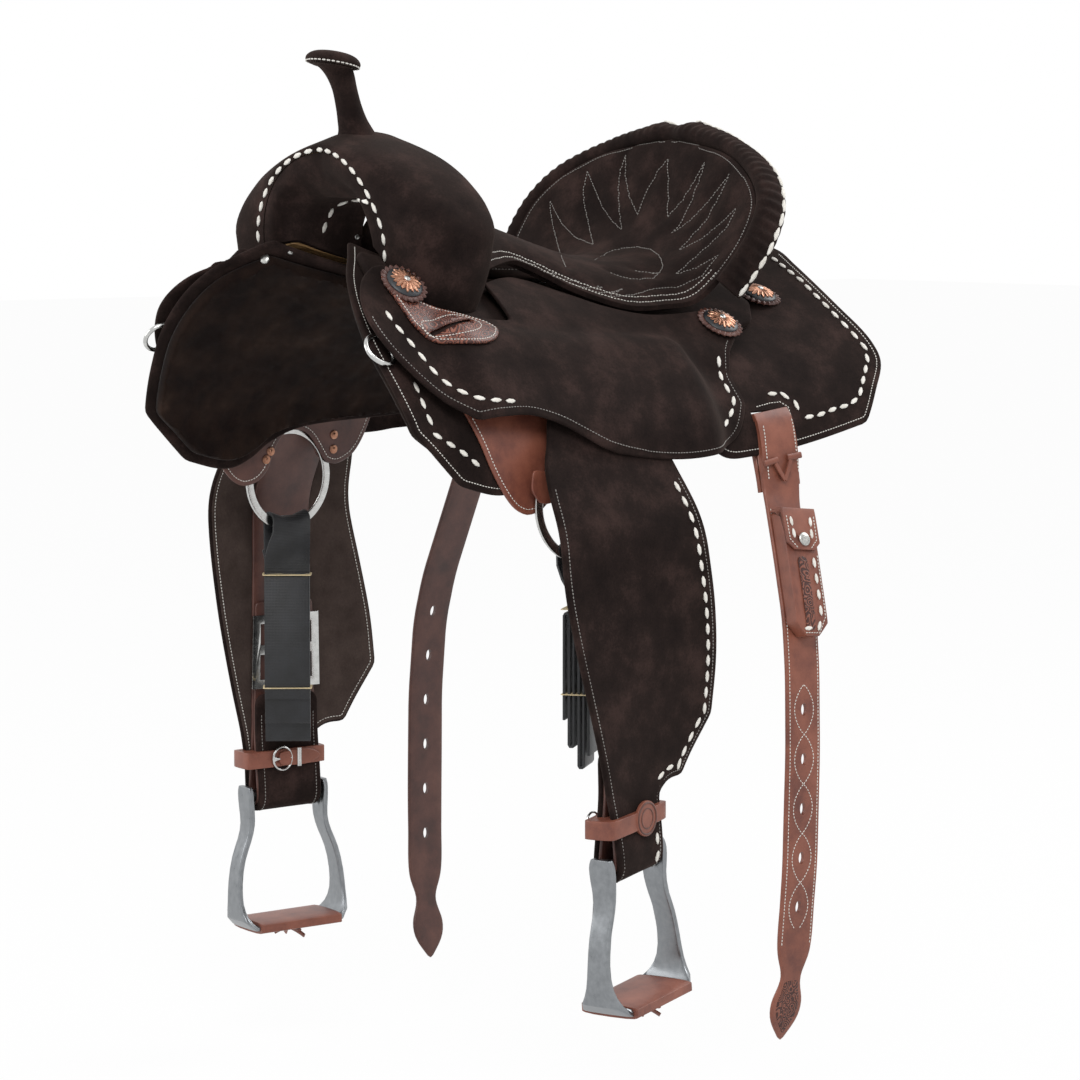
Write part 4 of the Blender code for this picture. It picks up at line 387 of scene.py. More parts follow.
PLY_GAP = 0.0008
SKIRT_THICK, FLEECE_THICK, JOCKEY_THICK, KEEPER_THICK, BAR_THICK = 0.005, 0.012, 0.004, 0.0035, 0.011


def jockey_lift(y, s):
    """How far the jockey stands off the skirt: over the bar, the fender's top and the seat's seam."""
    over_fender = ease((y + 0.297) / 0.055) * (1 - ease((y - 0.005) / 0.045)) * ease((s - 0.105) / 0.050)
    low = 0.0105 + (PLY_GAP - 0.0105) * ease((y + 0.05) / 0.08)
    low += (0.0245 + 0.0030 * ease((s - 0.200) / 0.045) - low) * over_fender
    over_bar = (BAR_THICK + 5 * PLY_GAP) * (1 - ease((s - 0.152) / 0.035)) * ease((y + 0.325) / 0.020)
    lift = max(low, over_bar)
    at_seam = ease((0.150 - s) / 0.050) * ease((y + 0.200) / 0.040)
    return lift + (max(0.0185, lift) - lift) * at_seam


def on_hide(base, stand_off=None):
    """A surface for a ply of leather: base above the skirt's face, plus what it stands off."""
    return lambda y, s, lift: hide(y, s, base + lift + (stand_off(y, s) if stand_off else 0.0))


def uneven(height, scale, level):
    """Slight waves of hand-worked leather."""
    return lambda p, q: height * noise.noise(Vector((p * scale, q * scale, level)))


print("side at the pivot", [round(c, 4) for c in hide(-0.1145, 0.15)])

# %% [markdown]
# ## Cutting leather
#
# Each leather is cut as a flat outline, smoothed through its points, ruled with a fine net of lines so that
# it can bend, and laid on its surface with its two faces and a rounded edge. Working from the flat cut
# keeps a seam or a row of lacing at its true distance from the edge, wherever the leather goes.


# %% Outlines
def bend(a, start, b, end, t):
    """Between a and b at t, leaving a along start and reaching b along end."""
    square, cube = t * t, t * t * t
    return (
        a * (2 * cube - 3 * square + 1) + start * (cube - 2 * square + t)
        + b * (3 * square - 2 * cube) + end * (cube - square)
    )


def smooth_outline(points, corner=33, step=0.005):
    """A closed line through the points: smooth where it turns little, with slightly eased corners elsewhere."""
    count = len(points)
    flat = [Vector(point) for point in points]
    ways = [(flat[(k + 1) % count] - flat[k]) for k in range(count)]
    line = []
    for k in range(count):
        a, b, length = flat[k], flat[(k + 1) % count], ways[k].length
        ends = []
        for before, after in ((ways[k - 1], ways[k]), (ways[k], ways[(k + 1) % count])):
            turn = math.degrees(before.angle(after, 0.0))
            mean = (before.normalized() + after.normalized()).normalized()
            ends.append((mean if turn < corner else ways[k].normalized()) * length)
        pieces = max(2, round(length / step))
        line += [bend(a, ends[0], b, ends[1], j / pieces) for j in range(pieces)]
    eased = []
    for k, point in enumerate(line):
        eased.append(point * 0.5 + (line[k - 1] + line[(k + 1) % len(line)]) * 0.25)
    return eased


def outward_normals(line):
    area = sum(line[k - 1].cross(line[k]) for k in range(len(line)))
    turn = 1 if area > 0 else -1
    normals = []
    for k, point in enumerate(line):
        way = (line[(k + 1) % len(line)] - line[k - 1]).normalized()
        normals.append(Vector((way.y, -way.x)) * turn)
    return normals


def inside_line(line, distance):
    """The outline moved inwards, without the points that fold over each other in tight corners."""
    moved = [point - normal * distance for point, normal in zip(line, outward_normals(line))]
    kept = []
    for point in moved:
        near = min((point - other).length for other in line)
        if near > abs(distance) * 0.93:
            kept.append(point)
    return kept


# %% Laying a cut
def new_piece(name, bm, mesh=None):
    """An object of what was built in bm, in a new mesh or in the one given."""
    mesh = mesh or bpy.data.meshes.new(name)
    bm.to_mesh(mesh)
    bm.free()
    piece = bpy.data.objects.new(name, mesh)
    bpy.context.scene.collection.objects.link(piece)
    return piece


def finish_mesh(name, bm, mats, body, nodes=(), smooth_angle=60):
    piece = new_piece(name, bm)
    for mat in mats:
        piece.data.materials.append(mat)
    piece.data.shade_smooth()
    if smooth_angle < 180:
        piece.data.set_sharp_from_angle(angle=math.radians(smooth_angle))
    return register(piece, body, nodes)


def register(piece, body, nodes=()):
    if body:
        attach(piece, body)
    if nodes:
        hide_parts(*nodes)
    return piece


def dressed(piece, mat, body):
    piece.data.materials.append(mat)
    piece.data.shade_smooth()
    return register(piece, body)


def skin(bm, rings):
    """Faces between closed rings of as many vertices each."""
    for ring, following in zip(rings, rings[1:]):
        for k in range(len(ring)):
            bm.faces.new((ring[k - 1], ring[k], following[k], following[k - 1]))


def capped(bm, rings):
    """A skin over the rings, with a face at each end."""
    skin(bm, rings)
    bm.faces.new(rings[0][::-1])
    bm.faces.new(rings[-1])


def around(count):
    """The angles of a full turn."""
    return [2 * math.pi * k / count for k in range(count)]


def mirror_out(bm, side):
    if side < 0:
        bmesh.ops.scale(bm, vec=(-1, 1, 1), verts=bm.verts)
    bmesh.ops.recalc_face_normals(bm, faces=bm.faces)


RIM, EDGE_ROUND = (62, 30, 0, -30, -62), 0.0022


def cut_leather(
    name, outline, place, thick, mats, body, nodes=(), side=1, net=0.008, relief=None,
):
    """A ply with two faces and a rounded edge. mats is (outer) or (outer, inner)."""
    round_in = min(thick * 0.5, EDGE_ROUND)
    line = smooth_outline(outline)
    inner = [point - normal * round_in for point, normal in zip(line, outward_normals(line))]
    bm = bmesh.new()
    bm.faces.new([bm.verts.new((p.x, p.y, 0)) for p in inner])
    reach = [(min(p[k] for p in inner), max(p[k] for p in inner)) for k in (0, 1)]
    for axis in (0, 1):
        cells = max(2, round((reach[axis][1] - reach[axis][0]) / net))
        for k in range(1, cells):
            at, normal = [0, 0, 0], [0, 0, 0]
            at[axis] = reach[axis][0] + (reach[axis][1] - reach[axis][0]) * k / cells
            normal[axis] = 1
            every = bm.verts[:] + bm.edges[:] + bm.faces[:]
            bmesh.ops.bisect_plane(bm, geom=every, dist=1e-5, plane_co=at, plane_no=normal)
    bmesh.ops.recalc_face_normals(bm, faces=bm.faces)
    if bm.faces[:][0].normal.z < 0:
        bmesh.ops.reverse_faces(bm, faces=bm.faces)
    rim_edges = [edge for edge in bm.edges if edge.is_boundary]
    start = rim_edges[0].link_loops[0]
    ring, loop = [], start
    while True:
        ring.append(loop.vert)
        loop = loop.link_loop_next
        while not loop.edge.is_boundary:
            loop = loop.link_loop_radial_next.link_loop_next
        if loop == start:
            break
    flat = {vert: (vert.co.x, vert.co.y) for vert in bm.verts}
    turned_ring = outward_normals([Vector(flat[vert]) for vert in ring])
    top_faces = bm.faces[:]
    twin = {vert: bm.verts.new(vert.co) for vert in list(bm.verts)}
    for face in top_faces:
        made = bm.faces.new([twin[vert] for vert in reversed(face.verts)])
        made.material_index = len(mats) - 1
    rings = [ring]
    for degrees in RIM:
        lean = math.radians(degrees)
        row = []
        for vert, normal in zip(ring, turned_ring):
            p, q = flat[vert]
            out, height = round_in * math.cos(lean), 0.5 * thick * (1 + math.sin(lean))
            row.append(bm.verts.new((p + normal.x * out, q + normal.y * out, height)))
        rings.append(row)
    rings.append([twin[vert] for vert in ring])
    skin(bm, rings)
    for vert in bm.verts:
        if vert in flat:
            more = relief(*flat[vert]) if relief else 0.0
            vert.co = place(*flat[vert], thick + more)
        else:
            vert.co = place(*vert.co)
    mirror_out(bm, side)
    return finish_mesh(name, bm, mats, body, nodes)


# %% [markdown]
# ## Lacing and stitches
#
# Buckstitching is a broad lace that shows as a row of plump slanted lozenges, 12 mm long every 16 mm. The
# machine stitches are 2.4 mm of thread every 3.4 mm, pulled a little into the leather. One of each is drawn
# here, and the rest are copies laid along a line on the leather's surface.


# %% One stitch of lace, one of thread
def bead(outline, levels, height):
    """A small pillow: the outline's rings drawn in towards its top."""
    points, faces = [], []
    for scale, up in levels:
        points += [(x * scale, y * scale, up * height) for x, y in outline]
    count = len(outline)
    for k in range(len(levels) - 1):
        for j in range(count):
            near = (j + 1) % count
            faces.append((k * count + j, k * count + near, (k + 1) * count + near, (k + 1) * count + j))
    faces.append(tuple(reversed(range(count))))
    faces.append(tuple((len(levels) - 1) * count + j for j in range(count)))
    return points, faces


LOZENGE = [(-0.0058, -0.0003), (-0.0038, -0.0018), (0.0013, -0.0023), (0.0050, -0.0008)]
LOZENGE += [(0.0058, 0.0003), (0.0038, 0.0018), (-0.0013, 0.0023), (-0.0050, 0.0008)]
LACE_STITCH = bead(LOZENGE, ((0.86, -0.5), (1.0, 0.1), (0.92, 0.62), (0.55, 1.0)), 0.0013)
THREAD_END = [(-0.0012, -0.00015), (-0.0008, -0.00045), (0.0008, -0.00045), (0.0012, -0.00015)]
THREAD_END += [(0.0012, 0.00015), (0.0008, 0.00045), (-0.0008, 0.00045), (-0.0012, 0.00015)]
THREAD_STITCH = bead(THREAD_END, ((0.9, -0.6), (1.0, 0.2), (0.6, 1.0)), 0.0005)


def stitch_row(name, lines, pitch, mat, body, stitch, side, size):
    """Copies of a stitch along lines of (point, outward) pairs, evenly spaced on each line."""
    points, faces = [], []
    base, shapes = stitch
    for line in lines:
        spots_3d = [Vector(p) for p, _ in line]
        run = [0.0]
        for a, b in zip(spots_3d, spots_3d[1:]):
            run.append(run[-1] + (b - a).length)
        count = max(1, round(run[-1] / pitch))
        for k in range(count):
            at = (k + 0.5) * run[-1] / count
            j = min(max(int(np.searchsorted(run, at)), 1), len(run) - 1)
            part = (at - run[j - 1]) / max(run[j] - run[j - 1], 1e-9)
            here = spots_3d[j - 1].lerp(spots_3d[j], part)
            along = (spots_3d[j] - spots_3d[j - 1]).normalized()
            out = square_to(along, Vector(line[j - 1][1]).lerp(Vector(line[j][1]), part))
            across = out.cross(along)
            first = len(points)
            points += [here + (along * x + across * y) * size + out * z * size for x, y, z in base]
            faces += [tuple(first + index for index in face) for face in shapes]
    mesh = bpy.data.meshes.new(name)
    mesh.from_pydata([tuple(point) for point in points], [], faces)
    bm = bmesh.new()
    bm.from_mesh(mesh)
    mirror_out(bm, side)
    bpy.data.meshes.remove(mesh)
    return finish_mesh(name, bm, [mat], body)


def laid(place, lift, line, closed=False):
    """Points of a flat line laid on a surface, with the outward way at each."""
    flat = [Vector(point) for point in line]
    if closed:
        flat.append(flat[0])
    pairs = []
    for a, b in zip(flat, flat[1:]):
        pieces = max(1, round((b - a).length / 0.004))
        for k in range(pieces + (b is flat[-1])):
            p = a.lerp(b, k / pieces)
            here = place(p.x, p.y, lift)
            pairs.append((here, (place(p.x, p.y, lift + 0.002) - here).normalized()))
    return pairs


def laid_behind(place, line):
    """A line on a ply's inner face."""
    return [(point, -out) for point, out in laid(place, 0.0, line)]


def seam_line(cut, inset):
    return inside_line(smooth_outline(cut), inset)


def open_curve(points, step=0.006):
    """A smooth open line through the points."""
    flat, line = [Vector(point) for point in points], []
    for k in range(len(flat) - 1):
        a, b = flat[k], flat[k + 1]
        before = (b - flat[k - 1]) if k else (b - a)
        after = (flat[k + 2] - a) if k + 2 < len(flat) else (b - a)
        length = (b - a).length
        pieces = max(2, round(length / step))
        for j in range(pieces + (k == len(flat) - 2)):
            line.append(bend(a, before.normalized() * length, b, after.normalized() * length, j / pieces))
    return line


LACE_PITCH, THREAD_PITCH = 0.0158, 0.0034


def lace_row(name, lines, body="saddle", side=1, size=1.0, pitch=LACE_PITCH):
    return stitch_row(name, lines, pitch, lace, body, LACE_STITCH, side, size)


def thread_row(name, lines, body="saddle", side=1, mat=thread, size=1.0, pitch=THREAD_PITCH):
    return stitch_row(name, lines, pitch, mat, body, THREAD_STITCH, side, size)


print("lace stitch", len(LACE_STITCH[1]), "faces, thread stitch", len(THREAD_STITCH[1]), "faces")

# %% [markdown]
# ## Skirts, fleece and rigging
#
# The skirts carry everything else: a heavy ply of rough-out on top, wool fleece underneath. Their edge is
# stitched 6 mm in, and the rear corner carries a row of lace. The rigging plates are smooth skirting
# riveted over the rings.

# %% Skirts and fleece
SKIRT_CUT = (
    (-0.285, 0.015), (-0.303, 0.045), (-0.326, 0.085), (-0.339, 0.125), (-0.343, 0.170),
    (-0.338, 0.212), (-0.329, 0.262), (-0.278, 0.298), (-0.226, 0.297), (-0.200, 0.284),
    (-0.178, 0.266), (-0.152, 0.252), (-0.126, 0.244), (-0.037, 0.236), (0.005, 0.237),
    (0.028, 0.251), (0.047, 0.264), (0.077, 0.267), (0.226, 0.266), (0.250, 0.238),
    (0.274, 0.210), (0.277, 0.190), (0.270, 0.130), (0.270, 0.090), (0.275, 0.050),
    (0.282, 0.020), (0.282, -0.024), (0.200, -0.020), (0.100, 0.004), (-0.120, 0.004),
)
FLEECE_CUT = (
    (-0.282, 0.030), (-0.318, 0.088), (-0.330, 0.128), (-0.334, 0.170), (-0.329, 0.212),
    (-0.321, 0.257), (-0.274, 0.289), (-0.230, 0.288), (-0.204, 0.275), (-0.182, 0.257),
    (-0.154, 0.243), (-0.126, 0.235), (-0.037, 0.227), (0.008, 0.228), (0.032, 0.243),
    (0.050, 0.255), (0.077, 0.258), (0.221, 0.257), (0.243, 0.232), (0.265, 0.207),
    (0.268, 0.190), (0.261, 0.130), (0.262, 0.090), (0.270, 0.030), (0.270, 0.000),
    (0.100, 0.014), (-0.120, 0.014),
)
RIGGING_CUT = (
    (-0.262, 0.188), (-0.272, 0.205), (-0.260, 0.245), (-0.237, 0.288), (-0.217, 0.309),
    (-0.203, 0.313), (-0.187, 0.307), (-0.173, 0.292), (-0.167, 0.275), (-0.158, 0.259),
    (-0.148, 0.2505), (-0.130, 0.2505), (-0.119, 0.257), (-0.109, 0.270), (-0.100, 0.282),
    (-0.086, 0.285), (-0.066, 0.276), (-0.050, 0.255), (-0.040, 0.225), (-0.040, 0.188),
)
FLAP_CUTS = (
    ((-0.203, 0.270), (-0.206, 0.290), (-0.196, 0.301), (-0.182, 0.300), (-0.170, 0.289), (-0.166, 0.270)),
    ((-0.110, 0.264), (-0.103, 0.278), (-0.090, 0.283), (-0.078, 0.276), (-0.080, 0.249), (-0.098, 0.252)),
)
RIVETS = ((-0.1765, 0.2825), (-0.1712, 0.2738), (-0.0905, 0.254), (-0.0905, 0.269))
BILLET_Y, SLOT_TOP, SLOT_SIZE = 0.108, 0.2253, (0.047, 0.0110)
FLAP_LIFT = 0.0112


def hide_axes(y, s, lift=0.0):
    """Axes on the side: x back, y up the hide, z outwards."""
    here = hide(y, s, lift)
    out = (hide(y, s, lift + 0.001) - here).normalized()
    down = (hide(y, s + 0.004, lift) - hide(y, s - 0.004, lift)).normalized()
    back = out.cross(down).normalized()
    return axes_at(here, back, -down, out)


def to_side(matrix, side):
    mirror = Matrix.Diagonal((-1.0, 1.0, 1.0, 1.0))
    return matrix if side > 0 else mirror @ matrix @ mirror


def fresh(operator, name=None, **settings):
    """The object that an operator makes, alone in the selection."""
    bpy.ops.object.select_all(action="DESELECT")
    operator(**settings)
    made = bpy.context.object
    if name:
        made.name = name
    return made


def block(name, size, place, edge=0.0):
    """A block at its place, with eased edges where edge isn't 0."""
    piece = fresh(bpy.ops.mesh.primitive_cube_add, name, size=1.0)
    piece.data.transform(Matrix.Diagonal((*size, 1.0)))
    if edge:
        ease_edges(piece, edge)
    piece.data.transform(place)
    return piece


def use(piece, kind, **settings):
    """Adds a modifier with its settings and applies it."""
    bpy.ops.object.select_all(action="DESELECT")
    piece.select_set(True)
    bpy.context.view_layer.objects.active = piece
    change = piece.modifiers.new("work", kind)
    for key, value in settings.items():
        setattr(change, key, value)
    bpy.ops.object.modifier_apply(modifier=change.name)


def ease_edges(piece, width, segments=3):
    use(piece, "BEVEL", width=width, segments=segments, limit_method="ANGLE", angle_limit=math.radians(35))
    piece.data.shade_smooth()


def cut_away(piece, cutter, solver="EXACT"):
    use(piece, "BOOLEAN", operation="DIFFERENCE", object=cutter, solver=solver)
    bpy.data.objects.remove(cutter, do_unlink=True)


def curls(p, q):
    """Tufts of the fleece, 9 mm across."""
    return 0.0022 * noise.fractal(Vector((p, q, 0.3)) * 110, 0.6, 2.0, 3)


def on_fleece(y, s, lift):
    return hide(y, s, -SKIRT_THICK - PLY_GAP - lift)


SKIRTS, STITCH_INSET, RUN_GAP = {}, 0.0065, 0.02
for word, side in SIDES:
    skirt = cut_leather(
        f"skirt_leather_{word}", SKIRT_CUT, on_hide(-SKIRT_THICK), SKIRT_THICK, [suede, suede], "saddle",
        [f"skirt_{word}"], side=side,
    )
    slot_place = to_side(hide_axes(BILLET_Y, SLOT_TOP + SLOT_SIZE[1] / 2), side)
    cut_away(skirt, block("slot", (*SLOT_SIZE, 0.05), slot_place))
    SKIRTS[word] = skirt
    under = cut_leather(
        f"fleece_{word}", FLEECE_CUT, on_fleece, FLEECE_THICK, [fleece], "saddle", [f"skirt_fleece_{word}"],
        side, 0.006, curls,
    )
    notch = to_side(hide_axes(BILLET_Y, SLOT_TOP + 0.0375, -0.012), side)
    cut_away(under, block("notch", (SLOT_SIZE[0] + 0.006, 0.075, 0.040), notch))
    edge = [p for p in seam_line(SKIRT_CUT, STITCH_INSET) if p.y > 0.022]
    rows, run = [], []
    for point in edge:
        if run and (point - run[-1]).length > RUN_GAP:
            rows.append(run)
            run = []
        run.append(point)
    rows.append(run)
    rows = [laid(on_hide(0), 0.0001, row) for row in rows if len(row) > 4]
    thread_row(f"skirt_stitches_{word}", rows, side=side)
    print(word, "skirt", len(skirt.data.polygons), "faces")

# %% Bars of the tree
BAR_CUT = (
    (-0.300, 0.050), (-0.305, 0.095), (-0.290, 0.130), (-0.230, 0.150), (-0.160, 0.152), (-0.143, 0.184),
    (-0.086, 0.184), (-0.070, 0.148), (0.000, 0.128), (0.100, 0.130), (0.148, 0.124), (0.166, 0.098),
    (0.166, 0.050), (0.148, 0.024), (0.100, 0.016), (-0.100, 0.016), (-0.200, 0.026),
)
for word, side in SIDES:
    cut_leather(
        f"bar_{word}", BAR_CUT, on_hide(PLY_GAP), BAR_THICK - PLY_GAP, [suede], "saddle", [f"tree_bar_{word}"],
        side,
    )

# %% Rigging plates with their flaps and rivets
PLATE_THICK, FLAP_THICK, PLATE_INSET = 0.003, 0.0025, 0.005
RIVET_RADIUS, RIVET_HEIGHT, RIVET_MIDDLE = 0.0047, 0.0012, 0.0021
TURNED = Matrix.Rotation(math.pi, 4, "X")
for word, side in SIDES:
    # On the far side the plate and its flaps take the darker copy of the oiled leather: painted shade.
    on_plate, mats = on_hide(PLY_GAP), [STRAP_FINISH_FAR_SHADED[word]]
    cut_leather(
        f"rigging_leather_{word}", RIGGING_CUT, on_plate, PLATE_THICK, mats, "saddle",
        [f"rigging_plate_{word}"], side,
    )
    for k, outline in enumerate(FLAP_CUTS):
        cut_leather(
            f"rigging_flap_{k}_{word}", outline, on_hide(FLAP_LIFT), FLAP_THICK, mats, "saddle",
            side=side, net=0.006,
        )
    edge = [p for p in seam_line(RIGGING_CUT, PLATE_INSET) if p.y > 0.215]
    rows = [laid(on_plate, PLATE_THICK, edge), laid_behind(on_plate, edge)]
    thread_row(f"rigging_stitches_{word}", rows, side=side)
    heads = []
    places = [hide_axes(y, s, FLAP_LIFT + FLAP_THICK) for y, s in RIVETS]
    places += [hide_axes(y, s, PLY_GAP) @ TURNED for y, s in RIVETS]
    for place in places:
        head = fresh(bpy.ops.mesh.primitive_cylinder_add, vertices=24, radius=RIVET_RADIUS, depth=RIVET_HEIGHT)
        ease_edges(head, RIVET_HEIGHT / 3, 2)
        head.data.transform(Matrix.Translation((0, 0, 0.0005)))
        middle = fresh(bpy.ops.mesh.primitive_uv_sphere_add, segments=16, ring_count=8, radius=RIVET_MIDDLE)
        middle.data.transform(Matrix.Translation((0, 0, 0.0010)) @ Matrix.Diagonal((1, 1, 0.55, 1)))
        for part in (head, middle):
            part.data.transform(to_side(place, side))
            heads.append(part)
    bpy.ops.object.select_all(action="DESELECT")
    for part in heads:
        part.select_set(True)
    bpy.context.view_layer.objects.active = heads[0]
    bpy.ops.object.join()
    heads[0].name = f"rivet_heads_{word}"
    dressed(heads[0], copper, "saddle")

# %% [markdown]
# ## Seat jockeys and string keepers
#
# The jockeys cover the bars and the top of the fenders. They are laced along their front and their rear
# corner and stitched all round. On their front ends sit the string keepers, cut from smooth skirting,
# carved with a scroll pattern, and slotted for a saddle string.

# %% Jockeys
JOCKEY_CUT = (
    (-0.288, 0.072), (-0.311, 0.086), (-0.335, 0.117), (-0.345, 0.150), (-0.341, 0.173),
    (-0.330, 0.194), (-0.309, 0.217), (-0.268, 0.242), (-0.243, 0.236), (-0.209, 0.230),
    (-0.178, 0.233), (-0.150, 0.241), (-0.118, 0.249), (0.044, 0.252), (0.059, 0.244),
    (0.079, 0.216), (0.077, 0.190), (0.083, 0.163), (0.104, 0.144), (0.112, 0.118),
    (0.085, 0.1085), (0.062, 0.108), (0.009, 0.103), (-0.029, 0.085), (-0.060, 0.0600),
    (-0.084, 0.041), (-0.104, 0.035), (-0.130, 0.045), (-0.160, 0.062), (-0.166, 0.118), (-0.280, 0.118),
)
KEEPER_CUT = (
    (-0.300, 0.086), (-0.287, 0.092), (-0.281, 0.116), (-0.262, 0.121), (-0.226, 0.123), (-0.208, 0.130),
    (-0.202, 0.144), (-0.214, 0.158), (-0.242, 0.168), (-0.280, 0.168), (-0.300, 0.154),
    (-0.304, 0.130), (-0.307, 0.100),
)
KEEPER_SLOT = ((-0.284, 0.152), (-0.284, 0.157), (-0.226, 0.141), (-0.226, 0.136))
FRONT_LACE = (
    (-0.318, 0.135), (-0.317, 0.147), (-0.311, 0.161), (-0.306, 0.173), (-0.300, 0.187), (-0.293, 0.201),
    (-0.284, 0.211), (-0.272, 0.219), (-0.258, 0.224), (-0.240, 0.223), (-0.223, 0.221),
)
REAR_LACE = (
    (0.067, 0.164), (0.064, 0.180), (0.063, 0.198), (0.064, 0.211), (0.057, 0.221), (0.048, 0.229),
    (0.039, 0.235),
)
LACE_LIFT, LACE_INSET, SEAM_INSET = 0.0003, 0.0135, 0.0062
for word, side in SIDES:
    on_jockey = on_hide(0, jockey_lift)
    cut_leather(
        f"jockey_{word}", JOCKEY_CUT, on_jockey, JOCKEY_THICK, [suede], "saddle", [f"seat_jockey_{word}"],
        side=side, relief=uneven(0.0006, 22, 1.7),
    )
    edge = [p for p in seam_line(JOCKEY_CUT, SEAM_INSET) if p.y > 0.150]
    thread_row(f"jockey_stitches_{word}", [laid(on_jockey, JOCKEY_THICK, edge)], "saddle", side, dim_thread)
    rows = [laid(on_jockey, JOCKEY_THICK + LACE_LIFT, open_curve(line)) for line in (FRONT_LACE, REAR_LACE)]
    lace_row(f"jockey_lace_{word}", rows, side=side)

# %% String keepers
SLOT_SEAM = (
    (-0.291, 0.1495), (-0.289, 0.160), (-0.276, 0.1615), (-0.226, 0.1475), (-0.219, 0.138), (-0.228, 0.1305),
    (-0.279, 0.1445),
)
for word, side in SIDES:
    base = JOCKEY_THICK + PLY_GAP
    on_keeper = on_hide(base, jockey_lift)
    keeper = cut_leather(
        f"keeper_{word}", KEEPER_CUT, on_keeper, KEEPER_THICK, [carved, brown], "saddle",
        [f"string_keeper_{word}"], side, 0.005,
    )
    a, b = Vector(KEEPER_SLOT[0]), Vector(KEEPER_SLOT[3])
    middle = (Vector(KEEPER_SLOT[1]) + b) / 2
    place = hide_axes(*middle, base + jockey_lift(*middle))
    place = place @ Matrix.Rotation(math.atan2(a.y - b.y, b.x - a.x), 4, "Z")
    cut_away(keeper, block("slot", ((b - a).length, 0.0052, 0.03), to_side(place, side), 0.0024))
    rows = [laid(on_keeper, KEEPER_THICK, seam_line(KEEPER_CUT, 0.0035), closed=True)]
    rows.append(laid(on_keeper, KEEPER_THICK, smooth_outline(SLOT_SEAM, corner=80), closed=True))
    thread_row(f"keeper_stitches_{word}", rows, side=side)

# %% [markdown]
# ## Fenders and stirrup leathers
#
# A fender hangs from the bar, turns upright, yaws so that the stirrup faces the rider's foot, passes under
# the stirrup's top bar and folds up inside. Its whole length is laid on that hanging line, so it is one cut
# of leather.

# %% Hanging line
PIVOT, HANG_Y = Vector((0.2030, -0.1145, -0.0955)), -0.120
SLOPE, FLAT, BEND, BAR_DROP = math.radians(62.5), 0.118, 0.060, 0.4545
YAW = {"near": math.radians(15), "far": math.radians(8)}
TILT = {"near": math.radians(7), "far": math.radians(2)}
FENDER_THICK, STRAP_THICK, BAR_RADIUS, NECK_WIDTH = 0.005, 0.0035, 0.006, 0.073
STRAP_ABOVE = PLY_GAP / 2 + STRAP_THICK / 2 + 0.0002
STRAP_AT_BAR = BAR_RADIUS + PLY_GAP + STRAP_THICK / 2
FENDER_ABOVE = STRAP_ABOVE + STRAP_THICK / 2 + PLY_GAP + FENDER_THICK / 2
FENDER_AT_BAR = STRAP_AT_BAR + STRAP_THICK / 2 + PLY_GAP + FENDER_THICK / 2
_hang = {}


def hang_line(q):
    """The hanging line at q down from the pivot: x, z and slope."""
    key = round(q * 20000)
    if key not in _hang:
        x, z = PIVOT.x + min(q, FLAT) * math.cos(SLOPE), PIVOT.z - min(q, FLAT) * math.sin(SLOPE)
        slope, bend, steps = SLOPE, min(max(q - FLAT, 0.0), BEND), 24
        for k in range(steps if bend > 0 else 0):
            slope = SLOPE + (math.pi / 2 - SLOPE) * ease((k + 0.5) / steps * bend / BEND)
            x += bend / steps * math.cos(slope)
            z -= bend / steps * math.sin(slope)
        if bend > 0:
            slope = SLOPE + (math.pi / 2 - SLOPE) * ease(bend / BEND)
        _hang[key] = (x, z - max(q - FLAT - BEND, 0.0), slope)
    return _hang[key]


def turned_down(point, drop, word):
    """Yaws the lower part, front edge outwards, and tips it to the stirrup's tilt."""
    middle = hang_line(drop)[0]
    x, y = point.x - middle, point.y - HANG_Y
    angle = YAW[word] * ease((drop - 0.16) / 0.26)
    tip = math.tan(TILT[word]) * ease((drop - 0.34) / 0.09)
    ahead = x * math.sin(angle) + y * math.cos(angle)
    return Vector((middle + x * math.cos(angle) - y * math.sin(angle), HANG_Y + ahead, point.z + ahead * tip))


def hang(y, q, lift, word):
    x, z, slope = hang_line(q)
    return turned_down(Vector((x + lift * math.sin(slope), y, z + lift * math.cos(slope))), q, word)


def round_bar(y, q, above, at_bar, lift, word):
    """A ply that hangs outside, passes under the stirrup's bar and turns up inside."""
    turn = math.pi * at_bar

    def spread(drop):
        return above + (at_bar - above) * ease((drop - BAR_DROP + 0.075) / 0.075)

    if q <= BAR_DROP:
        return hang(y, q, spread(q) + lift, word)
    if q >= BAR_DROP + turn:
        back = 2 * BAR_DROP + turn - q
        return hang(y, back, -(spread(back) + lift), word)
    angle, radius = (q - BAR_DROP) / at_bar, at_bar + lift
    x, z, _ = hang_line(BAR_DROP)
    return turned_down(Vector((x + radius * math.cos(angle), y, z - radius * math.sin(angle))), BAR_DROP, word)


def on_fender(word):
    return lambda y, q, lift: round_bar(y, q, FENDER_ABOVE, FENDER_AT_BAR, lift - FENDER_THICK / 2, word)


def on_strap(word):
    return lambda y, q, lift: round_bar(y, q, STRAP_ABOVE, STRAP_AT_BAR, lift - STRAP_THICK / 2, word)


def hang_axes(y, q, lift, word):
    """Place on the hanging line: x to the rear, y down, z outwards."""
    here = hang(y, q, lift, word)
    back = (hang(y + 0.005, q, lift, word) - hang(y - 0.005, q, lift, word)).normalized()
    down = (hang(y, q + 0.005, lift, word) - hang(y, q - 0.005, lift, word)).normalized()
    out = back.cross(down).normalized()
    out = -out if out.x < 0 else out
    return axes_at(here, back, out.cross(back), out)


# %% Fender cuts
TAB_RADIUS = 0.013


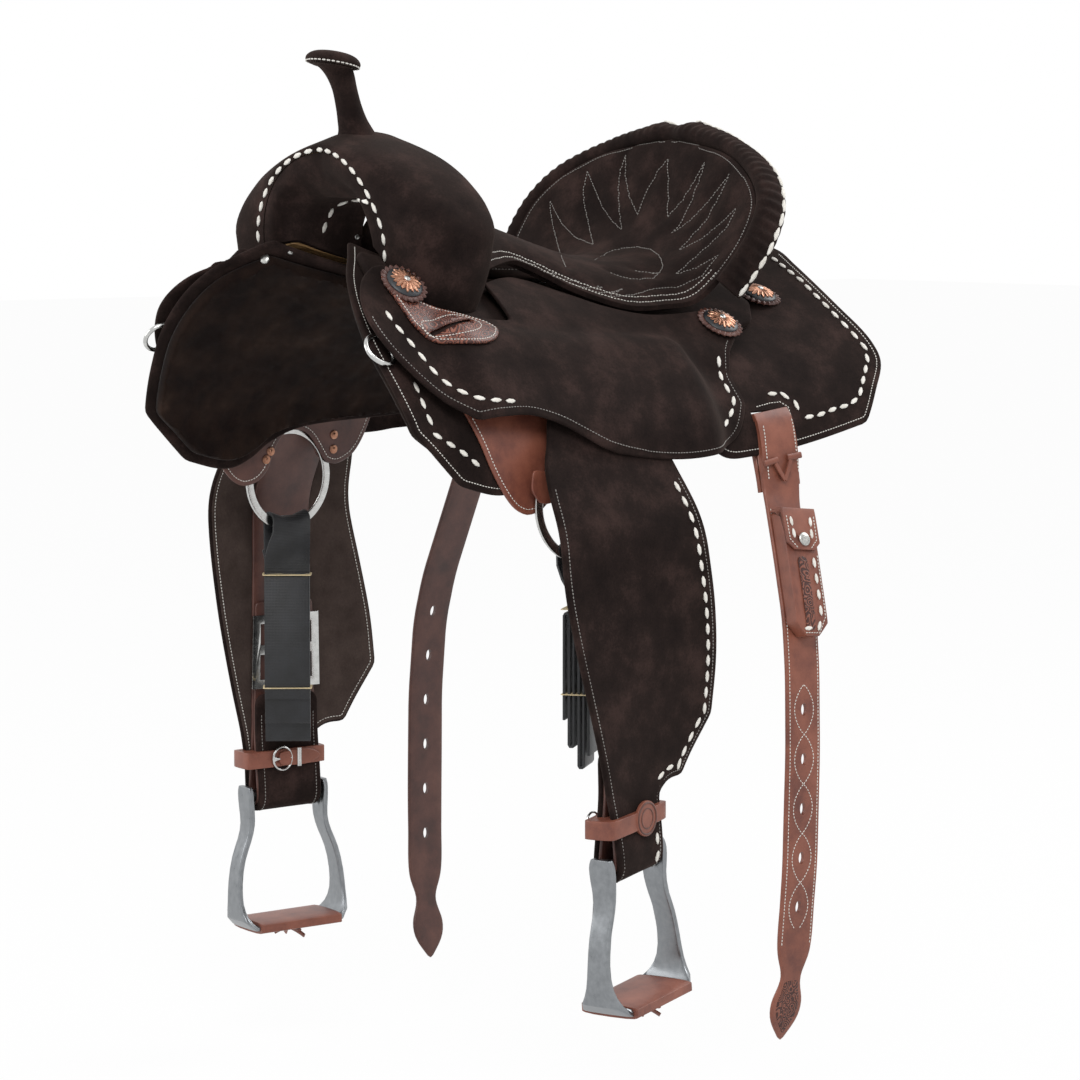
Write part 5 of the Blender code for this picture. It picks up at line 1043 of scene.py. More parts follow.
def top_tab(half):
    """The rounded end that turns on the bar, and the shoulders below it."""
    turns = [math.pi * k / 4 for k in range(5)]
    points = [(PIVOT.y - TAB_RADIUS * math.cos(turn), -TAB_RADIUS * math.sin(turn)) for turn in turns]
    drop, front, rear = math.tan(math.radians(26)), HANG_Y - half, HANG_Y + half
    return [(front, drop * (PIVOT.y - front))] + points + [(rear, drop * (rear - PIVOT.y))]


REAR_EDGE = [
    (-0.052, 0.040), (-0.046, 0.075), (-0.036, 0.118), (-0.026, 0.172), (-0.015, 0.222),
    (-0.006, 0.276), (-0.003, 0.328), (-0.028, 0.362), (-0.044, 0.388), (-0.066, 0.389), (-0.083, 0.399),
]
FRONT_EDGE = [
    (-0.158, 0.430), (-0.163, 0.400), (-0.177, 0.340), (-0.196, 0.250), (-0.206, 0.180),
    (-0.207, 0.118), (-0.200, 0.078), (-0.190, 0.058),
]
HALF = NECK_WIDTH / 2
FENDER_END = BAR_DROP + math.pi * FENDER_AT_BAR + 0.105
STRAP_END = BAR_DROP + math.pi * STRAP_AT_BAR + 0.200
FENDER_CUT = top_tab(0.060) + REAR_EDGE
FENDER_CUT += [(HANG_Y + HALF, FENDER_END - 0.006), (HANG_Y + HALF - 0.006, FENDER_END)]
FENDER_CUT += [(HANG_Y - HALF + 0.006, FENDER_END), (HANG_Y - HALF, FENDER_END - 0.006)] + FRONT_EDGE
STRAP_CUT = top_tab(HALF - 0.001) + [(HANG_Y + HALF - 0.001, STRAP_END), (HANG_Y - HALF + 0.001, STRAP_END)]

for word, side in SIDES:
    body = f"fender_{word}_body"
    cut_leather(
        f"fender_leather_{word}", FENDER_CUT, on_fender(word), FENDER_THICK, [suede, fender_back], body,
        [f"fender_{word}"], side=side, relief=uneven(0.0008, 18, 4.1),
    )
    cut_leather(
        f"strap_leather_{word}", STRAP_CUT, on_strap(word), STRAP_THICK, [brown], body,
        [f"stirrup_leather_{word}"], side,
    )
    inset = seam_line(FENDER_CUT, SEAM_INSET)
    edges = [
        [p for p in inset if (p.x - HANG_Y) * ahead > 0 and 0.10 < p.y < FENDER_END - 0.02] for ahead in (1, -1)
    ]
    rows = [laid(on_fender(word), FENDER_THICK, line) for line in edges]
    thread_row(f"fender_stitches_{word}", rows, body, side, dim_thread)
    rows = [laid_behind(on_fender(word), line) for line in edges]
    thread_row(f"fender_back_stitches_{word}", rows, body, side)
    lacing = seam_line(FENDER_CUT, LACE_INSET)
    upper = [p for p in lacing if p.x > HANG_Y and 0.10 < p.y < 0.402 and not (p.y > 0.39 and p.x < -0.09)]
    lower = [(HANG_Y + HALF - 0.011, q) for q in np.arange(0.432, BAR_DROP + 0.012, 0.004)]
    rows = [laid(on_fender(word), FENDER_THICK + LACE_LIFT, line) for line in (upper, lower)]
    lace_row(f"fender_lace_{word}", rows, body, side)
    print(word, "fender", round(1000 * FENDER_END), "mm of leather")

# %% [markdown]
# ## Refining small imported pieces
#
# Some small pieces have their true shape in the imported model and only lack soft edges. For these a copy is
# merged, its flat triangles are joined to larger faces, its edges are bevelled, and one level of
# subdivision rounds it off.


# %% Refined copies
def refined(name, source, mat, body, width, smooth=1, angle=32):
    """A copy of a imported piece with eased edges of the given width."""
    mesh = frame["nodes"][source].data.copy()
    bm = bmesh.new()
    bm.from_mesh(mesh)
    bmesh.ops.remove_doubles(bm, verts=bm.verts, dist=1e-5)
    bmesh.ops.dissolve_limit(bm, angle_limit=math.radians(4), verts=bm.verts, edges=bm.edges)
    bmesh.ops.recalc_face_normals(bm, faces=bm.faces)
    piece = new_piece(name, bm, mesh)
    mesh.materials.clear()
    mesh.materials.append(mat)
    if mesh.attributes.get("custom_normal"):
        mesh.attributes.remove(mesh.attributes["custom_normal"])
    if width:
        use(piece, "BEVEL", width=width, segments=2, limit_method="ANGLE", angle_limit=math.radians(angle))
    if smooth:
        use(piece, "SUBSURF", levels=smooth, render_levels=smooth)
    piece.data.shade_smooth()
    return register(piece, body, [source])


for word, side in SIDES:
    fender, hank, stirrup, dee = (f"{name}_{word}_body" for name in ("fender", "hank", "stirrup", "breast_dee"))
    folded = {"near": "latigo_near", "far": "off_billet_far"}[word]
    # On the far side strap is the darker copy of the oiled leather: painted shade on the billet loop.
    strap = STRAP_FINISH_FAR_SHADED[word]
    refined(f"hobble_leather_{word}", f"hobble_strap_{word}", chestnut, fender, 0.0006)
    refined(f"hobble_ring_{word}", f"hobble_buckle_{word}", steel, fender, 0)
    refined(f"slide_buckle_{word}", f"leather_buckle_{word}", steel, fender, 0.0005, 0)
    refined(f"folded_strap_{word}", folded, nylon, hank, 0.0005, 0, 40)
    for part in ("upper", "lower"):
        band = f"latigo_band_{part}_{word}"
        refined(f"strap_band_{part}_{word}", band, rubber, hank, 0, 2)
    refined(f"dee_ring_{word}", f"breast_dee_{word}", steel, dee, 0)
    refined(f"cast_stirrup_{word}", f"stirrup_{word}", cast, stirrup, 0.0012)
    refined(f"tread_leather_{word}", f"tread_cover_{word}", chestnut, stirrup, 0.0010)
    refined(f"billet_bend_{word}", f"billet_loop_{word}", strap, "saddle", 0.0010)

# %% Rigging rings
RING_CENTRE, RING_RADIUS = Vector((0.2286, -0.1435, -0.2035)), 0.049
RING_BAND, RING_DEPTH, RING_ROUND = 0.009, 0.0035, 0.55
RING_SPLAY, RING_LEAN = 0.02, -0.045


def ring_way(angle):
    """Outward way in the ring's plane at an angle from its top."""
    aside = RING_SPLAY * math.sin(angle) + RING_LEAN * math.cos(angle)
    return Vector((aside, math.sin(angle), math.cos(angle)))


def blunt(value, power):
    """A sine or cosine made fuller, for a rounded oblong instead of a circle."""
    return math.copysign(abs(value) ** power, value)


for word, side in SIDES:
    bm = bmesh.new()
    rings = []
    for angle in around(96):
        out = ring_way(angle)
        middle = RING_CENTRE + out * RING_RADIUS
        ring = []
        for a in around(24):
            across = blunt(math.cos(a), RING_ROUND) * RING_BAND / 2
            thick = blunt(math.sin(a), RING_ROUND) * RING_DEPTH / 2
            ring.append(bm.verts.new(middle + out * across + Vector((thick, 0, 0))))
        rings.append(ring)
    skin(bm, rings + rings[:1])
    mirror_out(bm, side)
    finish_mesh(f"plate_ring_{word}", bm, [steel], "saddle", [f"rigging_ring_{word}"])

# %% [markdown]
# ## Rear billets
#
# A billet is a doubled strap of skirting with a row of oval holes. Two lines of stitching cross between the
# holes and make a chain of pointed ovals. The tip is cut to a leaf, and on the near side it is carved.

# %% Billets
BILLET_WIDTH, BILLET_THICK = 0.044, 0.0042
BILLET_LINE = [Vector(p) for p in (
    (0.2375, 0.106, -0.2045), (0.2580, 0.100, -0.262), (0.2785, 0.093, -0.322), (0.2880, 0.088, -0.372),
    (0.2925, 0.085, -0.450), (0.2915, 0.083, -0.560), (0.2860, 0.079, -0.660), (0.2710, 0.075, -0.740),
)]
BILLET_CUT = (
    (-0.022, 0.0), (0.022, 0.0), (0.022, 0.200), (0.022, 0.400), (0.0205, 0.450), (0.0125, 0.474),
    (0.0135, 0.482), (0.0195, 0.500), (0.018, 0.515), (0.0, 0.541), (-0.018, 0.515), (-0.0195, 0.500),
    (-0.0135, 0.482), (-0.0125, 0.474), (-0.0205, 0.450), (-0.022, 0.400), (-0.022, 0.200),
)
HOLES, HOLE_PITCH, LAST_HOLE, HOLE_SIZE = {"near": 5, "far": 6}, 0.048, 0.405, (0.0072, 0.0122)


def billet_centre(q):
    left = q
    for a, b in zip(BILLET_LINE, BILLET_LINE[1:]):
        length = (b - a).length
        if left <= length or b is BILLET_LINE[-1]:
            return a + (b - a) * (left / length)
        left -= length


def billet_point(across, q, lift):
    here = sum((billet_centre(q + step) for step in (-0.012, 0.0, 0.012)), Vector()) / 3
    down = (billet_centre(q + 0.02) - billet_centre(q - 0.02)).normalized()
    back = square_to(down, Vector((0, 1, 0)))
    out = back.cross(down)
    out = -out if out.x < 0 else out
    return here + back * across + out * lift


def billet_axes(across, q, lift):
    here = billet_point(across, q, lift)
    along = (billet_point(across + 0.004, q, lift) - billet_point(across - 0.004, q, lift)).normalized()
    out = (billet_point(across, q, lift + 0.004) - here).normalized()
    down = out.cross(along).normalized()
    return axes_at(here, down.cross(out), down, out)


LOOP_END, STRAP_START = 0.3038, -0.024


def on_billet(p, q, lift):
    """Face of the strap: above the flex line it lies in its loop, below it hangs."""
    hung = billet_point(p, q, lift - BILLET_THICK / 2)
    if q > 0.012:
        return hung
    held = hide(BILLET_Y + p, LOOP_END + q, lift - 0.0013)
    return held.lerp(hung, ease((q + 0.008) / 0.020))


for word, side in SIDES:
    body = f"rear_billet_{word}_body"
    long_cut = [(p * 1.012, STRAP_START if q == 0.0 else q) for p, q in BILLET_CUT]
    # On the far side the billet takes the darker copy of the oiled leather: painted shade.
    strap = cut_leather(
        f"billet_strap_{word}", long_cut, on_billet, BILLET_THICK, [STRAP_FINISH_FAR_SHADED[word]], None,
        [f"rear_billet_{word}"], side, 0.0055,
    )
    drops = [LAST_HOLE - k * HOLE_PITCH for k in range(HOLES[word])]
    for q in drops:
        punch = fresh(bpy.ops.mesh.primitive_cylinder_add, vertices=28, radius=0.5, depth=0.02)
        place = to_side(billet_axes(0, q, 0), side)
        punch.data.transform(place @ Matrix.Diagonal((*HOLE_SIZE, 1.0, 1.0)))
        cut_away(strap, punch)
    flip = Vector((side, 1, 1))
    on_billet(0, -0.012, 0) * flip
    on_billet(0, 0.016, 0) * flip
    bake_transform(strap)
    rows, first = [], drops[-1] - HOLE_PITCH / 2
    for sign in (-1, 1):
        edge = [(sign * (BILLET_WIDTH / 2 - 0.0035), q) for q in np.arange(0.016, 0.445, 0.006)]
        chain = []
        for k in range(int((0.432 - first) / 0.003)):
            q = first + 0.003 * k
            chain.append((sign * 0.0125 * abs(math.sin(math.pi * (q - first) / HOLE_PITCH)) ** 0.8, q))
        rows += [laid(on_billet, BILLET_THICK, line) for line in (edge, chain)]
    thread_row(f"billet_stitches_{word}", rows, body, side)
    if side > 0:
        leaf = [(x * 0.80, 0.494 + (q - 0.494) * 0.86) for x, q in BILLET_CUT if q > 0.470]
        cut_leather(
            "billet_leaf_near", leaf, on_billet, BILLET_THICK + 0.0004, [carved], body, net=0.004
        )

# %% [markdown]
# ## Thong keepers
#
# The doubled end of a billet is held by a flat thong: it wraps the strap twice and crosses in a V on the
# front.


# %% Thongs
def thong(name, path, width, body, side=1, mat=chestnut, thick=0.0016):
    """A flat lace along (point, outward) pairs."""
    bm = bmesh.new()
    rows = []
    for k, (here, out) in enumerate(path):
        before, after = path[max(k - 1, 0)][0], path[min(k + 1, len(path) - 1)][0]
        along = (after - before).normalized()
        out = square_to(along, out)
        across = out.cross(along)
        row = []
        for a, b in ((-1, 0.0), (-0.8, 0.85), (0, 1.0), (0.8, 0.85), (1, 0.0), (0.8, -0.5), (-0.8, -0.5)):
            row.append(bm.verts.new(here + across * (a * width / 2) + out * (b * thick)))
        rows.append(row)
    capped(bm, rows)
    mirror_out(bm, side)
    return finish_mesh(name, bm, [mat], body)


def on_bend(y, s, lift):
    """The billet's doubled part below the slot, outside the skirt."""
    return hide(BILLET_Y + y, s, 2.5 * PLY_GAP + BILLET_THICK + lift)


WRAP_DROP = 0.276
for word, side in SIDES:
    # On the far side the thongs take the darker copy of the oiled leather: painted shade.
    mat, half, s = STRAP_FINISH_FAR_SHADED[word], BILLET_WIDTH / 2, WRAP_DROP
    wraps = (((-half - 0.001, s), (-0.006, s - 0.001)), ((0.006, s - 0.001), (half + 0.001, s)))
    for k, line in enumerate(wraps):
        thong(f"thong_wrap_{k}_{word}", laid(on_bend, 0.0007, line), 0.0062, "saddle", side, mat)
    for k, sign in enumerate((-1, 1)):
        cross = ((sign * 0.0095, s + 0.002), (sign * 0.005, s + 0.011), (0.0, s + 0.020))
        thong(f"thong_cross_{k}_{word}", laid(on_bend, 0.0006, cross), 0.0050, "saddle", side, mat)
    edges = [[(sign * (half - 0.0035), q) for q in np.arange(0.240, 0.296, 0.004)] for sign in (-1, 1)]
    thread_row(f"bend_stitches_{word}", [laid(on_bend, 0.0002, line) for line in edges], side=side)

# %% [markdown]
# ## Tool pouch
#
# A slim box of skirting stitched to the near billet, with a flap that snaps over its mouth. A carved band
# runs down its face beside a row of lace.

# %% Pouch
POUCH_WIDTH, POUCH_DEPTH, POUCH_TOP, FLAP_THICKNESS = 0.041, 0.0155, 0.022, 0.0022
POUCH_FACE = BILLET_THICK / 2 + PLY_GAP + POUCH_DEPTH
FLAP_FACE = POUCH_FACE + PLY_GAP + FLAP_THICKNESS
BILLET_BODY, FLAP_BODY = "rear_billet_near_body", "pouch_flap_body"
refined("pouch_leather", "pouch_body", chestnut, BILLET_BODY, 0.0016)
refined("pouch_flap_leather", "pouch_flap", chestnut, FLAP_BODY, 0.0006)


def on_pouch(p, q, lift):
    return billet_point(p, q, POUCH_FACE + lift)


def on_flap(p, q, lift):
    return billet_point(p, q, FLAP_FACE + lift)


half = POUCH_WIDTH / 2
band_cut = [(-0.0085, 0.068), (0.0035, 0.068), (0.0035, 0.139), (-0.0085, 0.139)]
cut_leather("pouch_band", band_cut, on_pouch, 0.0008, [carved], BILLET_BODY, net=0.004)
face_edge = ((half - 0.003, 0.066), (half - 0.003, 0.126), (half - 0.012, 0.1408), (-0.010, 0.1412))
face_lace = ((half - 0.0085, 0.066), (half - 0.0085, 0.126), (half - 0.013, 0.1365), (-0.014, 0.1375))
thread_row("pouch_stitches", [laid(on_pouch, 0.0001, face_edge)], BILLET_BODY)
lace_row("pouch_lace", [laid(on_pouch, LACE_LIFT, face_lace)], BILLET_BODY, size=0.9)
seams, laces = [], []
for sign in (-1, 1):
    edge = ((sign * (half - 0.003), 0.028), (sign * (half - 0.0035), 0.052), (sign * 0.0085, 0.0605))
    seams.append(laid(on_flap, 0.0001, edge))
    laces.append(laid(on_flap, LACE_LIFT, ((sign * (half - 0.0078), 0.028), (sign * (half - 0.0095), 0.052))))
thread_row("flap_stitches", seams, FLAP_BODY)
lace_row("flap_lace", laces, FLAP_BODY, size=0.85, pitch=0.0125)
snap = fresh(bpy.ops.mesh.primitive_uv_sphere_add, "flap_snap", segments=24, ring_count=12, radius=0.0068)
snap.data.transform(billet_axes(0, POUCH_TOP + 0.030, FLAP_FACE + 0.0018) @ Matrix.Diagonal((1, 1, 0.28, 1)))
dressed(snap, silver, FLAP_BODY)

# %% [markdown]
# ## Camera
#
# The camera stands where the photograph was taken from, a little above the saddle and off its near front
# quarter. The same numbers turn a place in the picture into a ray, so that a seam can be started where the
# photograph shows it and then laid on the leather that carries it.

# %% Camera and rays
EYE, TARGET = Vector((3.1658, -2.6565, 0.1184)), Vector((0.0, 0.0, -0.26))
LENS, SENSOR, PICTURE = 138.333, 36.0, 1080
camera = fresh(bpy.ops.object.camera_add, location=EYE)
camera.rotation_euler = (TARGET - EYE).to_track_quat("-Z", "Y").to_euler()
camera.data.lens, camera.data.sensor_width = LENS, SENSOR
bpy.context.scene.camera = camera
AHEAD = (TARGET - EYE).normalized()
RIGHT = AHEAD.cross(Vector((0, 0, 1))).normalized()
ABOVE = RIGHT.cross(AHEAD)


def picture_ray(x, y):
    reach = LENS / SENSOR * PICTURE
    return (AHEAD * reach + RIGHT * (x - PICTURE / 2) + ABOVE * (PICTURE / 2 - y)).normalized()


def tree_of(piece):
    bm = bmesh.new()
    bm.from_mesh(piece.data)
    made = BVHTree.FromBMesh(bm)
    bm.free()
    return made


def on_piece(tree, line, lift=0.0003, step=2.0):
    """A line of the picture laid on a piece, as (point, outward) pairs."""
    pairs = []
    for a, b in zip(line, line[1:]):
        a, b = Vector(a), Vector(b)
        pieces = max(1, round((b - a).length / step))
        for k in range(pieces + (tuple(b) == tuple(line[-1]))):
            at = a.lerp(b, k / pieces)
            place, normal, _, _ = tree.ray_cast(EYE, picture_ray(*at))
            if place:
                pairs.append((place + normal * lift, normal))
    return pairs


FLIP = Vector((-1, 1, 1))


def other_side(pairs):
    return [(point * FLIP, normal * FLIP) for point, normal in pairs]


REAR_SKIRT_LACE = (
    (771, 257), (800, 280), (830, 310), (853, 334), (864, 347), (867, 359), (865, 371), (862, 384), (859, 397),
    (849, 405), (834, 409), (819, 415), (803, 418),
)
SLOT_LACE = ((799, 412), (796, 405), (782, 394), (766, 394))
SLOT_STITCH = ((756, 407), (770, 403), (780, 402), (788, 407), (791, 416), (790, 428))
FRONT_SKIRT_LACE = (
    (413, 380), (421, 399), (428, 417), (437, 436), (451, 445), (462, 452), (472, 460), (481, 468),
)
near_tree = tree_of(SKIRTS["near"])
skirt_laces = [on_piece(near_tree, line) for line in (REAR_SKIRT_LACE, SLOT_LACE, FRONT_SKIRT_LACE)]
for word, side in SIDES:
    lace_row(f"skirt_lace_{word}", skirt_laces, side=side)
    thread_row(f"slot_stitches_{word}", [on_piece(near_tree, SLOT_STITCH, 0.0001)], side=side)

# %% [markdown]
# ## Swell and gullet
#
# The swell is a wet-moulded cover stretched over the fork. It is built as sections swung round the fork's
# centre, drawn smoothly through a few measured radii. The gullet's lining meets it at the lip, where the
# lace runs.

# %% Smooth sections round the fork
FORK_Z, LIP_RADIUS, SWELL_Y, SWELL_HALF, GULLET_LIP_Y = 0.035, 0.091, -0.222, 0.052, -0.246
SWELL_ANGLES = (-16, 0, 16, 32, 48, 62, 74, 83, 92, 118)
SWELL_RADII = (0.108, 0.111, 0.108, 0.112, 0.123, 0.139, 0.157, 0.166, 0.160, 0.150)
COVER_THICK, LINING_THICK = 0.0035, 0.003


def spline(points, t):
    """Smooth curve through the points, one unit of t from each to the next."""
    k = min(int(max(t, 0.0)), len(points) - 2)
    f = t - k
    a, b, c, d = [Vector(points[min(max(k + j, 0), len(points) - 1)]) for j in (-1, 0, 1, 2)]
    return bend(b, (c - a) / 2, c, (d - b) / 2, f)


def dense(line, per=5):
    return [spline(line, k / per) for k in range(per * (len(line) - 1) + 1)]


radius_points = dense(list(zip(SWELL_ANGLES, SWELL_RADII)), 12)


def swell_radius(angle):
    return float(np.interp(abs(angle), [p[0] for p in radius_points], [p[1] for p in radius_points]))


def swell_line(angle):
    """From the lip at the front, out over the swell and down its back, as (radius, y)."""
    top, low = 1 - ease(abs(angle) / 60), ease((abs(angle) - 90) / 30)
    reach = swell_radius(angle) - LIP_RADIUS
    half = SWELL_HALF - 0.015 * top - 0.006 * low
    lip = -0.272 - 0.006 * math.sin(math.radians(2 * min(abs(angle), 90))) + 0.006 * low
    end, rear = 0.0505 + 0.035 * ease(abs(angle) / 100), SWELL_Y + SWELL_HALF
    line = [(LIP_RADIUS, lip), (LIP_RADIUS + 0.35 * reach, lip + 0.0005)]
    for share, across in ((0.74, -0.86), (0.94, -0.50), (1.0, -0.05), (0.96, 0.45), (0.74, 0.82)):
        line.append((LIP_RADIUS + share * reach, SWELL_Y + across * half))
    line.append((LIP_RADIUS - 0.004, rear - 0.006 * top - 0.001))
    return line + [((LIP_RADIUS + end) / 2, rear - 0.002 * top), (end, rear)]


def gullet_line(angle):
    lip, inner = swell_line(angle)[0][1], 0.047 + 0.015 * ease(abs(angle) / 60)
    edge = LIP_RADIUS - PLY_GAP
    line = [(edge, lip + 0.0005), (edge - 0.4 * (edge - inner), lip + 0.002)]
    line += [(inner + 0.010, GULLET_LIP_Y - 0.016), (inner + 0.003, GULLET_LIP_Y - 0.008)]
    return line + [(inner, GULLET_LIP_Y + 0.006), (inner, SWELL_Y + SWELL_HALF - 0.006)]


def offset_line(points, distance):
    moved = []
    for k, (a, b) in enumerate(points):
        before, after = points[max(k - 1, 0)], points[min(k + 1, len(points) - 1)]
        along = (Vector(after) - Vector(before)).normalized()
        moved.append((a - along.y * distance, b + along.x * distance))
    return moved


def drawn_towards(points, middle, distance):
    """Each point moved towards a middle, so that the inner line never crosses itself."""
    return [Vector(p) + (middle - Vector(p)).normalized() * distance for p in points]


def at_fork(angle, radius, y):
    turn = math.radians(angle)
    return Vector((radius * math.sin(turn), y, FORK_Z + radius * math.cos(turn)))


def lofted(name, rows, mats, body, nodes=(), smooth_angle=60):
    """A closed form through rows of as many points each."""
    bm = bmesh.new()
    rings = [[bm.verts.new(point) for point in row] for row in rows]
    capped(bm, rings)
    bmesh.ops.remove_doubles(bm, verts=bm.verts, dist=1e-6)
    bmesh.ops.recalc_face_normals(bm, faces=bm.faces)
    return finish_mesh(name, bm, mats, body, nodes, smooth_angle)


def side_block(y_span, s_span, low, high, side):
    """A solid on the saddle's side, to cut with."""
    bm = bmesh.new()
    rows = []
    for y in np.arange(y_span[0], y_span[1] + 0.001, 0.015):
        drops = np.arange(s_span[0], s_span[1] + 0.001, 0.012)
        row = [hide(y, s, high) for s in drops] + [hide(y, s, low) for s in drops[::-1]]
        rows.append([bm.verts.new(point) for point in row])
    capped(bm, rows)
    mirror_out(bm, side)
    return new_piece("side_block", bm)


# %% Swell and gullet covers
TURNS = [2.5 * k for k in range(-47, 48)]


def dimple(angle, radius, y):
    """Slight unevenness of moulded leather."""
    return 0.0006 * noise.noise(Vector((angle * 0.05, radius * 30, y * 30)))


cover_rows, lining_rows = [], []
for angle in TURNS:
    outer = [(r + dimple(angle, r, y), y) for r, y in dense(swell_line(angle))]
    middle = Vector((0.55 * LIP_RADIUS + 0.45 * swell_radius(angle), SWELL_Y))
    cover_rows.append([at_fork(angle, *p) for p in outer + drawn_towards(outer, middle, COVER_THICK)[::-1]])
    inner = [tuple(p) for p in dense(gullet_line(angle))]
    lining_rows.append([at_fork(angle, *p) for p in inner + offset_line(inner, -LINING_THICK)[::-1]])
cover = lofted("swell_leather", cover_rows, [suede], "saddle", ["swell_cover"])
lining = lofted("gullet_leather", lining_rows, [suede], "saddle", ["gullet_cover"])
for piece in (cover, lining):
    for word, side in SIDES:
        cutter = side_block((-0.345, -0.120), (-0.020, 0.215), -0.034, BAR_THICK + PLY_GAP, side)
        cut_away(piece, cutter, solver="FAST")


def lip_pairs(turns, at, lift):
    """Along the swell's front, at a fixed place on its sections."""
    pairs = []
    for angle in turns:
        line = dense(swell_line(angle))
        here = at_fork(angle, *line[at])
        across = here - at_fork(angle, *line[at + 1])
        along = at_fork(angle + 1, *line[at]) - here
        out = across.cross(along).normalized()
        out = -out if out.y > 0 else out
        pairs.append((here + out * lift, out))
    return pairs


ARCH_LACE = (
    (322, 235), (325, 225), (331, 212), (340, 204), (350, 200), (362, 200), (372, 204), (380, 212),
)
lace_row("swell_lace", [lip_pairs(np.arange(-98, 99, 2), 2, LACE_LIFT)])
lace_row("arch_lace", [on_piece(tree_of(lining), ARCH_LACE, LACE_LIFT, 2.0)])
print("swell", len(cover.data.polygons), "faces")

# %% [markdown]
# ## Horn
#
# The neck is wrapped in suede and flares into the swell; the cap is a leather-covered disc, tipped back,
# with a row of thread just under its rim.

# %% Horn
HORN_WRAP = [
    (-0.2255, 0.127, 0.0400, 8), (-0.2270, 0.133, 0.0270, 8), (-0.2290, 0.140, 0.0200, 8),
    (-0.2310, 0.148, 0.0160, 10), (-0.2345, 0.157, 0.0138, 12), (-0.2385, 0.170, 0.0122, 14),
    (-0.2430, 0.186, 0.0118, 10), (-0.2475, 0.197, 0.0135, 0), (-0.2530, 0.2045, 0.0165, -8),
    (-0.2575, 0.2068, 0.0205, -11),
]
CAP_PLACE = Matrix.Translation((0.0, -0.2575, 0.2075)) @ Matrix.Rotation(math.radians(-11), 4, "X")
CAP_PROFILE = [
    (0.0, 0.0138), (0.008, 0.0134), (0.016, 0.0123), (0.0215, 0.0104), (0.0250, 0.0076), (0.0265, 0.0046),
    (0.0258, 0.0018), (0.0230, 0.0002), (0.0200, 0.0),
]


def circle(radius, count, z=0.0):
    return [Vector((radius * math.cos(a), radius * math.sin(a), z)) for a in around(count)]


neck_rows = []
for y, z, radius, lean in dense(HORN_WRAP, 4):
    place = Matrix.Translation((0, y, z)) @ Matrix.Rotation(math.radians(lean), 4, "X")
    neck_rows.append([place @ point for point in circle(radius, 40)])
lofted("horn_neck", neck_rows, [suede], "saddle", ["horn_wrap"])
cap_rows = [[CAP_PLACE @ point for point in circle(max(r, 1e-5), 56, z)] for r, z in dense(CAP_PROFILE, 4)]
lofted("horn_cap_leather", cap_rows, [suede], "saddle", ["horn_cap"])
rim, cap_turn = [], CAP_PLACE.to_3x3()
for a in np.linspace(0, 2 * math.pi, 90):
    out = Vector((math.cos(a), math.sin(a), -0.35)).normalized()
    rim.append((CAP_PLACE @ Vector((0.0256 * math.cos(a), 0.0256 * math.sin(a), 0.0014)), cap_turn @ out))
thread_row("horn_stitches", [rim], size=1.5, pitch=0.0046)

# %% [markdown]
# ## Seat
#
# The seat is one padded piece from the swell to the cantle. Its upholstery thread draws the suede down in a
# fan of pointed rays, so the leather stands up softly between the seams. The seams are laid on the seat by
# rays from the camera, and the surface is then lowered near each of them.

# %% Seat surface
SEAT_MIDDLE = [Vector((0, y, z)) for y, z in (
    (-0.1655, 0.088), (-0.125, 0.067), (-0.075, 0.048), (-0.035, 0.034), (0.010, 0.0215),
    (0.050, 0.0175), (0.090, 0.019), (0.120, 0.030), (0.140, 0.053), (0.155, 0.085),
    (0.165, 0.114), (0.170, 0.130), (0.173, 0.139),
)]
SEAT_EDGE = [Vector(p) for p in (
    (0.106, -0.163, 0.012), (0.083, -0.105, 0.022), (0.088, -0.078, 0.014), (0.112, -0.045, -0.006),
    (0.136, -0.002, -0.0215), (0.143, 0.040, -0.0215), (0.152, 0.072, -0.016), (0.167, 0.094, 0.012),
    (0.174, 0.116, 0.045), (0.167, 0.136, 0.078), (0.135, 0.152, 0.106), (0.083, 0.166, 0.127),
    (0.0, 0.173, 0.139),
)]
SEAT_END, SEAT_PAD, PAD_CROWN, CANTLE_FROM, BOARD, BACK = len(SEAT_EDGE) - 1, 0.009, 0.004, 7.2, 0.015, 0.003


def seat_base(t, u):
    middle, edge, curve = spline(SEAT_MIDDLE, t), spline(SEAT_EDGE, t), abs(u) ** 2.1
    return Vector((edge.x * u, middle.y + (edge.y - middle.y) * curve, middle.z + (edge.z - middle.z) * curve))


def seat_normal(t, u):
    t, u = min(t, SEAT_END - 0.35), max(min(u, 0.98), -0.98)
    across = seat_base(t, u + 0.01) - seat_base(t, u - 0.01)
    return across.cross(seat_base(t + 0.05, u) - seat_base(t - 0.05, u)).normalized()


def seat_point(t, u, depth):
    crown = PAD_CROWN * (1 - abs(u) ** 4) * (1 - abs(2 * t / SEAT_END - 1) ** 4) if depth <= 0 else 0.0
    return seat_base(t, u) + seat_normal(t, u) * (crown - depth)


ACROSS = [math.sin(math.pi / 2 * k / 34) for k in range(-34, 35)]
DOWN = [0.075 * k for k in range(int(SEAT_END / 0.075) + 1)]
plain_rows = [[seat_point(t, u, 0.0) for u in ACROSS] for t in DOWN]


def sheet_tree(rows):
    points = [p for row in rows for p in row]
    wide = len(rows[0])
    faces = [
        (j * wide + k, j * wide + k + 1, (j + 1) * wide + k + 1, (j + 1) * wide + k)
        for j in range(len(rows) - 1) for k in range(wide - 1)
    ]
    return BVHTree.FromPolygons(points, faces)


